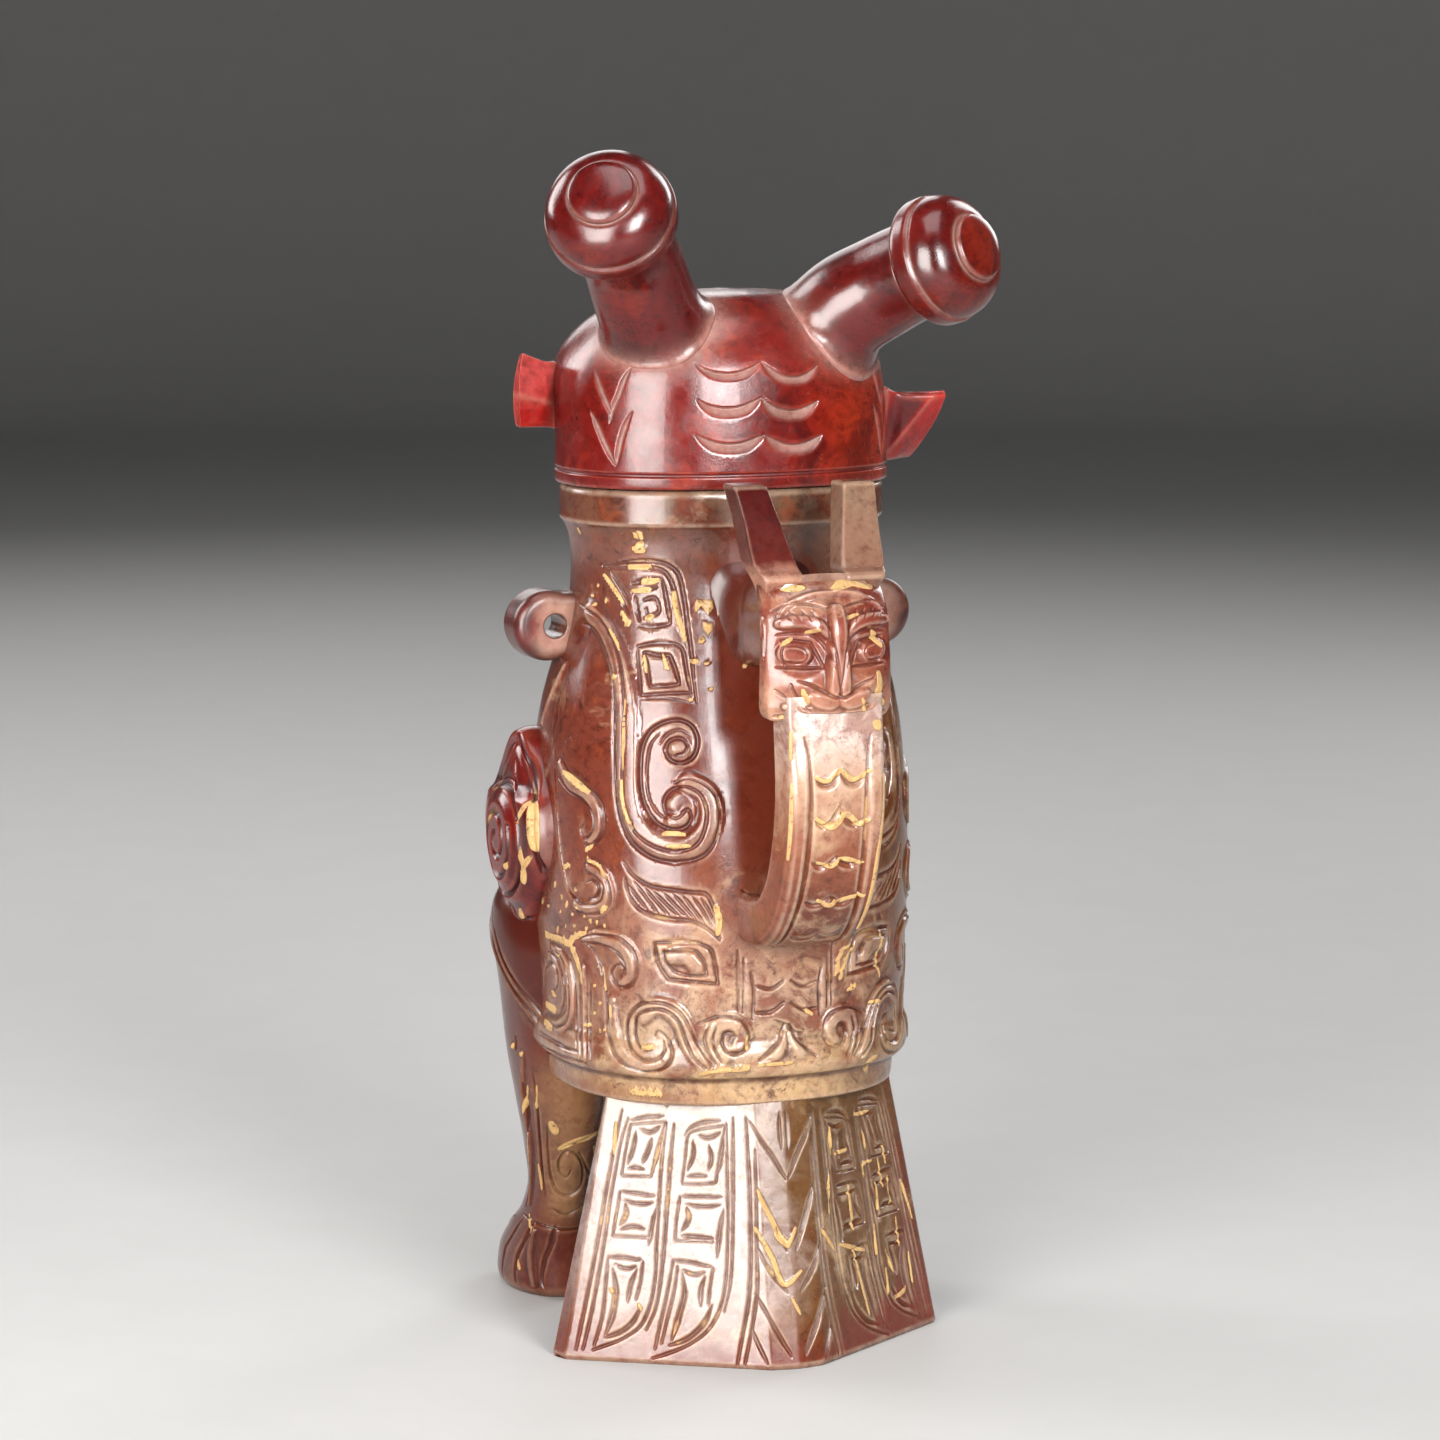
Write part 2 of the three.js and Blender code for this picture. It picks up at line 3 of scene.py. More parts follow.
import bpy
import numpy as np
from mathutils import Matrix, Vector


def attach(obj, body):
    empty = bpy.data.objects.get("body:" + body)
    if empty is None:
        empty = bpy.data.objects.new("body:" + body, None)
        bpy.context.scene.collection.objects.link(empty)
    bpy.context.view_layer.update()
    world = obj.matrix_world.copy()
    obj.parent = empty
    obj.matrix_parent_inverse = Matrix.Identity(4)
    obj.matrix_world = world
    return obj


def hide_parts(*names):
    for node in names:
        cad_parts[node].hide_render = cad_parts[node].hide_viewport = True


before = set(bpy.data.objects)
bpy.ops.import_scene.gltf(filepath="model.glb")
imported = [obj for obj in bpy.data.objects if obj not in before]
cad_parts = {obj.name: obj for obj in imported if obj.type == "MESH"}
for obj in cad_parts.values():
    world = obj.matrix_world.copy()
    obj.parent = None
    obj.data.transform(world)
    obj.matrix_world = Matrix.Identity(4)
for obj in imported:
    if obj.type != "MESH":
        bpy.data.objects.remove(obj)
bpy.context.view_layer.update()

# Carved jade owl vessel. Lengths are in millimetres until the meshes are made.
MM = 0.001

# ------------------------------------------------------------------ dimensions
SQUARE = 2.25  # exponent of the body and lid plan
# height, half width, depth behind and before the axis
BODY = np.array([
    [50.0, 20.0, 17.0, 26.0], [52.6, 29.0, 26.5, 37.0], [53.9, 33.9, 31.9, 42.8], [54.6, 35.0, 33.2, 44.0],
    [58.9, 35.6, 33.6, 44.6], [59.6, 35.8, 33.8, 44.8], [60.4, 37.3, 35.8, 46.6], [62.6, 38.4, 36.8, 47.6],
    [65.6, 38.2, 36.5, 47.6], [68.4, 37.4, 35.7, 47.4], [78.0, 37.8, 35.8, 48.2],
    [90.0, 38.4, 35.5, 48.6], [102.0, 39.0, 34.6, 47.4], [114.0, 38.8, 33.1, 44.6],
    [125.0, 38.2, 31.1, 40.8], [134.0, 37.2, 29.1, 37.2], [142.0, 35.2, 27.0, 33.8],
    [150.0, 33.0, 24.9, 30.4], [157.0, 31.8, 23.4, 27.8], [164.0, 31.7, 22.8, 26.2],
    [169.6, 32.3, 23.0, 25.8], [172.2, 33.4, 23.8, 26.2], [173.2, 34.2, 24.6, 26.8],
    [179.4, 34.2, 24.6, 26.8], [180.2, 33.6, 24.0, 26.2]])
CAVITY = np.array([
    [180.2, 28.6, 19.0, 21.2], [171.0, 28.4, 18.8, 21.0], [165.0, 25.8, 17.4, 20.4],
    [157.0, 25.4, 17.4, 21.8], [150.0, 26.8, 18.9, 24.4], [142.0, 29.0, 21.0, 27.8],
    [134.0, 31.0, 23.1, 31.2], [124.0, 32.0, 25.2, 34.8], [112.0, 32.6, 27.2, 38.8],
    [100.0, 32.8, 28.6, 41.4], [88.0, 32.6, 29.4, 42.4], [76.0, 31.6, 29.0, 41.2],
    [68.0, 28.4, 26.0, 36.8], [64.4, 20.4, 18.4, 26.6]])
LID = np.array([
    [180.5, 34.7, 24.9, 27.1], [181.0, 35.2, 25.4, 27.6], [182.9, 35.3, 25.5, 27.7],
    [183.25, 34.75, 24.95, 27.15], [183.6, 34.75, 24.95, 27.15], [183.95, 35.2, 25.4, 27.6], [187.4, 35.15, 25.35, 27.55],
    [196.2, 34.8, 25.0, 27.4], [203.4, 33.8, 24.2, 26.4], [209.2, 31.4, 22.4, 24.4],
    [213.9, 27.6, 19.6, 21.2], [217.3, 22.0, 15.4, 16.8], [219.5, 14.6, 10.2, 11.0],
    [220.3, 0.0, 0.0, 0.0]])
LID_HOLLOW = np.array([
    [180.5, 28.0, 18.4, 20.6], [188.2, 28.0, 18.4, 20.6], [197.2, 27.6, 18.0, 20.2],
    [204.0, 25.6, 16.4, 18.6], [209.2, 21.4, 13.4, 15.2], [212.2, 15.0, 9.2, 10.6],
    [213.4, 0.0, 0.0, 0.0]])
# bottle horns: the stem, its radii, and the way the cap faces
HORN_LEFT = (np.array([[15.4, 8.0, 208.0], [22.2, 13.4, 218.4], [28.6, 19.8, 229.4], [34.4, 27.0, 235.4]]),
             np.array([11.8, 10.4, 10.0, 10.0]), np.array([0.47, 0.72, 0.51]))
HORN_RIGHT = (np.array([[-17.0, 8.0, 205.0], [-21.6, 13.0, 215.4], [-28.6, 19.0, 221.0], [-35.2, 27.4, 226.0]]),
              np.array([12.2, 11.2, 10.7, 10.3]), np.array([-0.47, 0.83, 0.30]))
EAR_LEFT = np.array([
    [[27.4, -10.2, 203.2], [27.4, -16.4, 203.2], [27.4, -17.0, 192.4], [27.4, -11.4, 192.4]],
    [[37.2, -6.4, 205.6], [37.0, -11.4, 205.2], [36.0, -15.6, 191.8], [36.6, -10.2, 191.6]],
    [[42.6, -3.8, 207.6], [42.2, -6.8, 207.0], [41.0, -13.0, 191.9], [41.3, -9.4, 191.7]]])
EAR_RIGHT = np.array([
    [[30.0, 2.4, 196.4], [30.0, -9.0, 196.4], [30.0, -10.0, 184.2], [30.0, 0.0, 184.2]],
    [[41.0, 6.4, 198.0], [41.0, -1.6, 197.4], [39.6, -7.6, 183.6], [39.6, 0.0, 183.4]],
    [[47.8, 7.4, 198.2], [47.4, 4.6, 197.6], [43.4, -4.4, 183.8], [43.8, -1.8, 183.6]]])
BEAK = np.array([
    [183.8, 1.2, -38.4, -35.6], [185.8, 2.4, -39.6, -32.0], [189.2, 3.8, -40.2, -24.0],
    [194.2, 5.0, -39.0, -22.0], [199.2, 5.2, -35.4, -21.0], [204.2, 4.0, -30.4, -19.0],
    [207.2, 2.4, -27.0, -18.0]])
LEG = np.array([
    [0.0, 22.6, -47.6, 9.0, 15.4], [3.0, 22.8, -48.0, 9.6, 16.0], [8.0, 23.0, -47.0, 9.4, 15.2],
    [14.0, 23.4, -43.0, 8.2, 12.4], [19.0, 23.8, -38.4, 6.9, 9.8], [25.0, 24.2, -34.6, 6.4, 9.2],
    [34.0, 25.2, -30.6, 7.4, 11.0], [46.0, 26.6, -26.4, 9.2, 14.2], [58.0, 27.8, -24.4, 10.6, 16.4],
    [70.0, 28.8, -23.6, 11.1, 17.4], [80.0, 29.8, -23.4, 11.4, 17.4], [88.0, 29.8, -23.4, 10.8, 15.0],
    [94.0, 29.4, -23.4, 8.8, 11.0]])
TAIL_H = 64.0
STRAP = np.array([[58.2, 142.0], [58.5, 134.0], [58.2, 123.0], [56.6, 111.5],
                  [52.8, 101.6], [46.8, 95.2], [39.4, 93.2], [30.0, 93.6]])
HEAD = np.array([[137.0, 11.2, 63.4, 52.4], [140.0, 11.8, 64.0, 52.4], [147.0, 11.8, 64.0, 52.8],
                 [155.0, 11.6, 63.6, 52.4], [161.4, 11.4, 62.0, 50.0], [165.0, 10.6, 59.4, 48.6]])
SLAB = np.array([[162.6, 4.4, 14.0, 54.6, 47.4], [165.2, 4.6, 14.2, 53.8, 46.4], [168.0, 5.0, 14.2, 52.2, 45.0],
                 [176.0, 6.8, 14.6, 48.2, 41.2], [183.2, 8.4, 15.4, 44.6, 37.8]])

# ---------------------------------------------------------------- carved lines
# kind (g groove, r ridge, b broad raised band), width on the left and on the right of
# the line, depth, how far the ends run to a point, and the line itself.
# Body and leg lines are in degrees round the piece and height, tail and head lines in
# x and height, strap lines in x and distance along the strap from the head.
BODY_CUTS = [
    ("g", 0.55, 0.75, 0.50, 0.60, [(20.2, 164.2), (34.4, 165.4), (46.5, 165.8), (54.5, 165), (58.7, 163.2), (61, 158.6), (62.5, 152.8), (64.3, 146.8), (65.4, 141.4), (66.5, 137.4)]),
    ("g", 0.50, 0.90, 0.50, 0.80, [(24.2, 163.9), (41.5, 164.4), (51.8, 164), (55.7, 161.9), (58.4, 157), (60.5, 152.2), (62.3, 148.2)]),
    ("g", 0.50, 0.60, 0.45, 0.80, [(20.2, 163), (26.7, 160.4), (31.9, 157.5), (36, 154.4)]),
    ("g", 0.45, 0.60, 0.40, 0.80, [(24.9, 163.3), (31.4, 160), (36.3, 156.4)]),
    ("g", 0.60, 0.60, 0.45, 0.50, [(37.4, 159.2), (44.3, 159.8), (49.5, 160.4)]),
    ("g", 0.70, 0.60, 0.50, 0.50, [(37.4, 160.9), (45.4, 161.8), (51.8, 162.1)]),
    ("g", 0.50, 0.90, 0.50, 0.50, [(52.2, 161.9), (53.8, 157.8), (55.5, 153.4)]),
    ("g", 0.70, 0.50, 0.50, 0.50, [(41, 152.4), (48.4, 152.3), (55.5, 153)]),
    ("g", 0.50, 0.60, 0.40, 0.50, [(38.9, 158.5), (39.9, 155.6), (41.7, 153.2)]),
    ("g", 0.50, 0.60, 0.40, 0.50, [(42.9, 157.7), (48.5, 158.2), (50.2, 155.4), (45.3, 154.7), (44.2, 156.1)]),
    ("g", 0.50, 0.80, 0.50, 0.40, [(41.4, 148.4), (49.3, 149.2), (57.2, 149.2)]),
    ("g", 0.50, 0.80, 0.50, 0.40, [(57.2, 149.2), (60.4, 148.2), (62.7, 143.8), (64.4, 139.8)]),
    ("g", 0.80, 0.50, 0.50, 0.40, [(64.5, 139.4), (55.4, 139.2), (45.8, 138.7)]),
    ("g", 0.50, 0.70, 0.50, 0.40, [(41.5, 148), (43.8, 143.2), (45.7, 138.9)]),
    ("g", 0.60, 0.80, 0.55, 0.30, [(45.4, 147.3), (51, 146.8), (55.8, 146.8)]),
    ("g", 0.60, 0.80, 0.55, 0.30, [(55.8, 146.8), (58.2, 144.2), (60, 141.4)]),
    ("g", 0.70, 0.60, 0.55, 0.30, [(60, 141), (54.5, 140.6), (49, 140.4)]),
    ("g", 0.60, 0.80, 0.55, 0.30, [(45, 147), (47.1, 143.7), (49, 140.6)]),
    ("g", 0.50, 0.60, 0.35, 0.80, [(45.6, 137.9), (56.3, 138.2), (65.5, 137)]),
    ("b", 2.90, 2.90, 0.75, 0.00, [(12.6, 154.4), (24.1, 151.2), (31.8, 146.4), (37.2, 141.5), (40.7, 135.6), (41.7, 127.6), (41.7, 119.5), (43.8, 113.8), (48.8, 110), (55.6, 108), (62.9, 108.5), (68.1, 111.3), (69.9, 115.3), (68, 119.2), (63.6, 120.8)]),
    ("g", 0.50, 0.60, 0.55, 0.50, [(5.3, 152), (19, 151), (27.3, 146.8), (33.3, 140.6), (36.1, 130.4), (36.9, 119.3), (38.4, 113.7), (42.5, 109), (49.3, 106.1), (58.8, 105.2), (67.2, 106.6), (71.1, 110), (72.4, 114.7), (71.4, 118.5), (67.8, 121), (62.3, 122), (58.3, 121.2)]),
    ("g", 0.50, 0.60, 0.55, 0.50, [(0.8, 155.6), (18.9, 153.8), (28.6, 150.1), (33.9, 146.4), (37.6, 141.5), (40, 134.6), (40.1, 126.5), (40, 119.4), (41.2, 115.4), (44.5, 111), (50.8, 108.4), (58.9, 107.4), (64.8, 108.7), (67.5, 111.7), (68.4, 115.7), (66.4, 119), (62.3, 120.4), (57.5, 119.8), (54.7, 117.6), (55.3, 115.1), (58.6, 114.1), (61.3, 115)]),
    ("g", 0.60, 0.70, 0.65, 0.40, [(51.5, 113.6), (48.7, 115.6), (46.6, 119.6), (46.3, 124.6), (47.1, 128.5), (50, 131.6), (55.2, 133.4), (61.1, 133.8), (65.2, 132.4), (66.7, 129.6), (65.2, 126.6), (61.2, 125.2), (57.2, 125.8), (55.5, 127.8), (57, 129.6), (60.7, 130.2), (63, 129), (62.3, 127.4), (59.5, 126.8)]),
    ("g", 0.60, 0.70, 0.65, 0.40, [(48.7, 116.4), (49.7, 114.6), (53.1, 112.6), (57.8, 111.9), (61.8, 112.5), (63.5, 114.4), (62.7, 115.8), (60.7, 115.2)]),
    ("g", 0.40, 0.50, 0.40, 0.60, [(53.7, 131.2), (50.5, 129), (48.9, 124.7), (48.8, 120), (50.2, 117), (53.2, 114.7), (56.6, 113.7)]),
    ("g", 0.40, 0.50, 0.35, 0.60, [(64.1, 130.8), (60.8, 131.8), (56.5, 131), (53.7, 129)]),
    ("b", 2.20, 2.20, 0.50, 0.00, [(58.8, 116.8), (60.8, 117.8), (62.7, 116.6), (61.3, 114.6), (57.9, 113.3)]),
    ("b", 1.80, 1.80, 0.55, 0.00, [(59.3, 128.2), (61.3, 128.2)]),
    ("g", 0.50, 0.80, 0.60, 0.40, [(39.6, 104.7), (42.5, 102.4), (48.3, 100.3), (55.2, 99.6), (62.4, 99.1), (67.4, 98.7), (69.1, 97), (70.7, 92.9), (71.1, 89.6)]),
    ("g", 0.80, 0.50, 0.60, 0.40, [(39.8, 101.2), (40.7, 98), (43.8, 95.4), (49, 94), (55.9, 93.3), (62.5, 93), (66.8, 91.7), (71, 89.2)]),
    ("g", 0.40, 0.60, 0.45, 0.90, [(40.2, 100.6), (44.1, 97.7), (48.4, 94.4)]),
    ("g", 0.40, 0.60, 0.45, 0.90, [(42.5, 101.4), (47.3, 97.8), (52.2, 93.8)]),
    ("g", 0.40, 0.60, 0.45, 0.90, [(45.8, 100.4), (50.5, 97.3), (55.9, 93.7)]),
    ("g", 0.40, 0.60, 0.45, 0.90, [(48.9, 99.7), (53.9, 96.8), (59.3, 93.6)]),
    ("g", 0.40, 0.60, 0.45, 0.90, [(52.5, 99.6), (57.2, 96.4), (62.5, 93.2)]),
    ("g", 0.40, 0.60, 0.45, 0.90, [(55.8, 99.4), (60.2, 96.2), (65, 92.6)]),
    ("g", 0.40, 0.60, 0.45, 0.90, [(59.1, 99.1), (63, 95.8), (67.4, 91.7)]),
    ("g", 0.40, 0.60, 0.45, 0.90, [(62.3, 98.9), (65.9, 95.6), (69.3, 91.5)]),
    ("g", 0.40, 0.60, 0.45, 0.90, [(65.2, 98.5), (68, 95.4), (70.3, 91.9)]),
    ("b", 2.00, 2.00, 0.70, 0.00, [(55.3, 85.8), (60.7, 85.5), (63.5, 83.8)]),
    ("g", 0.60, 0.70, 0.60, 0.20, [(49.3, 88.4), (58.2, 88.8), (64.5, 88.6)]),
    ("g", 0.60, 0.70, 0.60, 0.20, [(64.5, 88.6), (68.2, 87.2), (69.3, 84.3), (70.1, 80.1)]),
    ("g", 0.70, 0.60, 0.60, 0.20, [(70.1, 80.1), (61.7, 80.6), (53.7, 81)]),
    ("g", 0.70, 0.60, 0.60, 0.20, [(53.7, 81), (50.7, 83.7), (49.3, 88.4)]),
    ("g", 0.40, 0.50, 0.50, 0.20, [(52.3, 86.8), (58.8, 87.2), (63.7, 87)]),
    ("g", 0.40, 0.50, 0.50, 0.20, [(63.7, 87), (65.8, 84.9), (66.7, 81.8)]),
    ("g", 0.50, 0.40, 0.50, 0.20, [(66.7, 81.8), (59.5, 82), (55.5, 82.8)]),
    ("g", 0.50, 0.40, 0.50, 0.20, [(55.5, 82.8), (53.5, 84.6), (52.3, 86.8)]),
    ("b", 2.00, 2.00, 0.60, 0.50, [(7, 123), (15.4, 119.4), (24.2, 117.8), (29, 114.9), (29, 111.2), (25.1, 108.5)]),
    ("g", 0.50, 0.80, 0.55, 0.60, [(7.5, 124.4), (11.3, 122.4), (17.1, 120.8), (25.2, 119), (30, 116.8), (31.7, 113.8), (30.7, 110.2), (27.5, 108), (22.7, 107.2)]),
    ("g", 0.60, 0.50, 0.55, 0.60, [(6, 120.2), (14.4, 117.9), (22.2, 116.6), (26.2, 114.6), (27.1, 111.7), (25.2, 109.6), (22.2, 108.8), (20.6, 110.5), (23.3, 112.4)]),
    ("g", 0.45, 0.60, 0.50, 0.70, [(3.4, 121.8), (5.2, 115.4), (7.5, 107.2), (10.2, 101.6), (13.8, 96.9), (19.1, 95.2), (25.1, 95.1), (29.9, 96.6), (31.1, 99.4), (28.1, 101.3), (24, 101.6)]),
    ("b", 2.00, 2.00, 0.55, 0.30, [(25, 103.2), (30.5, 101.8), (32.7, 98.6), (30.6, 95.6), (24.9, 94), (17.4, 94.5)]),
    ("g", 0.50, 0.70, 0.55, 0.60, [(23.1, 103.8), (29.6, 103), (33.3, 100.1), (33.7, 96.6), (30.4, 94.2), (23.8, 93.1), (15.5, 93.5)]),
    ("g", 0.40, 0.50, 0.45, 0.70, [(21.8, 99.4), (25.8, 100.3), (28.5, 99), (27.2, 97.1), (23.3, 96.4)]),
    ("b", 2.20, 2.20, 0.55, 0.50, [(20, 87.6), (30.5, 88.4), (37.9, 87.1), (40.8, 84.2), (40.1, 81), (36, 79.3)]),
    ("g", 0.50, 0.80, 0.55, 0.60, [(16.8, 87.7), (28, 89.2), (36.4, 88.9), (41.4, 86.6), (43, 83.4), (41.2, 80), (36.3, 78.5), (32.7, 79.7), (32, 81.8), (35.1, 83.4), (37.5, 82.7)]),
    ("g", 0.70, 0.50, 0.50, 0.70, [(18.3, 87), (27.7, 87.1), (34.1, 86.1), (37.6, 84), (38.6, 81.7)]),
    ("g", 0.50, 0.70, 0.55, 0.50, [(21.9, 86.7), (26.9, 83.5), (29, 78.6), (29.8, 73), (30.2, 67.6), (33.7, 64.4), (38.6, 62.5), (45.2, 61.5), (50.8, 62.2), (54.2, 64.2), (54.4, 66.8), (51.7, 69.3), (49.2, 70), (48.5, 69)]),
    ("b", 2.30, 2.30, 0.60, 0.20, [(43.8, 73), (48.7, 75.3), (54.7, 74.6), (58.7, 71.4), (60.8, 67.2), (64.8, 63.6)]),
    ("g", 0.60, 0.60, 0.60, 0.30, [(47.7, 66.6), (44.5, 66), (41.9, 67.5), (41, 70.4), (42.3, 73), (46.1, 74.4), (51.9, 74.6), (56.4, 72.8), (59, 68.8), (61.9, 65.1), (66, 62.8)]),
    ("g", 0.50, 0.60, 0.55, 0.50, [(51.7, 68), (52.1, 65.9), (49.4, 64.2), (44.7, 64), (40.5, 65.6), (37.7, 68.5), (38.3, 72.3), (42, 75), (47, 76), (53.4, 75.8), (58.1, 73.8), (61.4, 70.1), (64.4, 66.5), (68.5, 63)]),
    ("b", 1.50, 1.50, 0.40, 0.40, [(31.9, 75.7), (32.7, 69.4), (37.4, 64.9), (45, 62.8), (50.8, 63.8)]),
    ("b", 2.20, 2.20, 0.60, 0.20, [(67.9, 68.4), (69.9, 71.4), (74.3, 72.1), (77.7, 69.6), (76.1, 67.1)]),
    ("g", 0.50, 0.70, 0.55, 0.50, [(63.4, 71.8), (68, 73), (73, 73.4), (77.4, 72.3), (79.5, 69.5), (78.5, 66.7), (75.7, 65.6), (72.7, 66), (71.1, 67.8), (71.8, 69.6), (74.3, 70.2)]),
    ("g", 0.40, 0.50, 0.50, 0.60, [(67, 71.4), (65.6, 68.9), (67.1, 65.9), (69.5, 63.2)]),
    ("g", 0.40, 0.50, 0.50, 0.60, [(69.5, 71.6), (68.2, 68.6), (69.6, 65.7), (71.7, 63.6)]),
    ("g", 0.45, 0.60, 0.50, 0.40, [(76.5, 87), (76.6, 80.8), (76.5, 74.4)]),
    ("g", 0.45, 0.60, 0.50, 0.40, [(78.2, 85.4), (78.1, 79.8), (78, 74)]),
    ("g", 0.50, 0.60, 0.50, 0.40, [(80.2, 82.4), (81, 78.6), (80.7, 72.6)]),
    ("g", 0.60, 0.50, 0.50, 0.30, [(81.7, 79.4), (86, 78.6), (89.3, 80.1)]),
    ("g", 0.60, 0.50, 0.50, 0.30, [(81.3, 73.8), (86, 73.8), (89.3, 75.5)]),
    ("g", 0.60, 0.60, 0.55, 0.40, [(89.4, 71.1), (87.8, 67.5), (85.4, 65.7), (82.5, 64.2)]),
    ("b", 1.60, 1.60, 0.50, 0.60, [(89.4, 69.1), (87.5, 65.6), (85.8, 64.4)]),
    ("r", 0.60, 0.60, 0.45, 0.20, [(19.2, 81.8), (18.8, 74.6), (18.3, 68.3), (20, 62)]),
    ("g", 0.40, 0.50, 0.50, 0.30, [(16.5, 81.6), (16, 74.4), (17.3, 62)]),
    ("g", 0.50, 0.40, 0.50, 0.30, [(21.9, 78.3), (21, 70.6), (22.6, 62.5)]),
    ("g", 0.50, 0.50, 0.50, 0.40, [(11.3, 82.4), (13.7, 77.4), (13.3, 71), (15.3, 63.5)]),
    ("g", 0.60, 0.60, 0.55, 0.40, [(-8, 64.2), (4, 63.8), (15.9, 63.6)]),
    ("g", 0.50, 0.70, 0.55, 0.40, [(-7.4, 61.3), (7.3, 61.5), (20.2, 61.6)]),
    ("b", 1.80, 1.80, 0.45, 0.50, [(-0.3, 83.9), (7.5, 82), (10.5, 77), (10.3, 71.2), (4.1, 68), (-4.2, 67.4)]),
    ("g", 0.50, 0.70, 0.50, 0.60, [(2.1, 83.6), (8, 81.8), (10.5, 77.2), (10.4, 72.2), (8.2, 69.2), (2.8, 67.2), (-4.3, 67)]),
    ("g", 0.50, 0.60, 0.50, 0.60, [(-2.6, 82.4), (2.4, 81), (6, 77.6), (6, 73.4), (2.7, 70)]),
    ("g", 0.50, 0.50, 0.50, 0.60, [(-7, 74.2), (-5.5, 77.8), (-1.2, 80.1), (2, 78.8), (1.6, 76), (-2.2, 73.5)]),
]
LID_CUTS = [
    ("g", 0.25, 1.50, 0.75, 0.95, [(65.8, 206.5), (70.4, 205.1), (76.1, 204.3), (81.6, 204.4), (86.2, 205.4), (89, 206.5)]),
    ("g", 0.25, 1.50, 0.75, 0.95, [(89, 206.5), (91, 205.1), (95.1, 203.4), (100.7, 203.1), (105.3, 204.2), (108.8, 205.5)]),
    ("g", 0.25, 1.90, 0.90, 0.95, [(67.3, 199.1), (71.2, 197.9), (76.7, 197.2), (82, 197.4), (85.8, 198.3), (88.5, 199.3)]),
    ("g", 0.25, 1.90, 0.90, 0.95, [(88.5, 199.3), (90.5, 197.8), (94.5, 196.5), (99.9, 196.4), (104, 197.3), (107, 198.2)]),
    ("g", 0.25, 1.90, 0.90, 0.95, [(66.7, 192), (71.2, 190.8), (76.7, 189.9), (82.5, 190), (86.8, 191), (89.5, 191.7)]),
    ("g", 0.25, 1.90, 0.90, 0.95, [(89, 191.7), (91.7, 190.4), (96.3, 189.3), (101.9, 189.6), (105.8, 190.5), (108.2, 191.2)]),
    ("g", 0.75, 0.75, 0.65, 0.90, [(18.7, 205.2), (23.1, 202.2), (27.7, 199), (31.8, 195.9), (32.9, 194.5)]),
    ("g", 0.75, 0.75, 0.65, 0.90, [(39.4, 205.5), (37, 202.8), (34.9, 199.6), (32.3, 196.7), (31.4, 193.8)]),
    ("g", 0.80, 0.80, 0.65, 0.90, [(19.8, 196.4), (23.7, 193.7), (27.8, 190.5), (32, 187.3), (34.9, 185.1)]),
    ("g", 0.80, 0.80, 0.65, 0.90, [(41.8, 196.6), (39.2, 193.9), (36.9, 190.6), (35.5, 187.4), (34.9, 185.1)]),
]
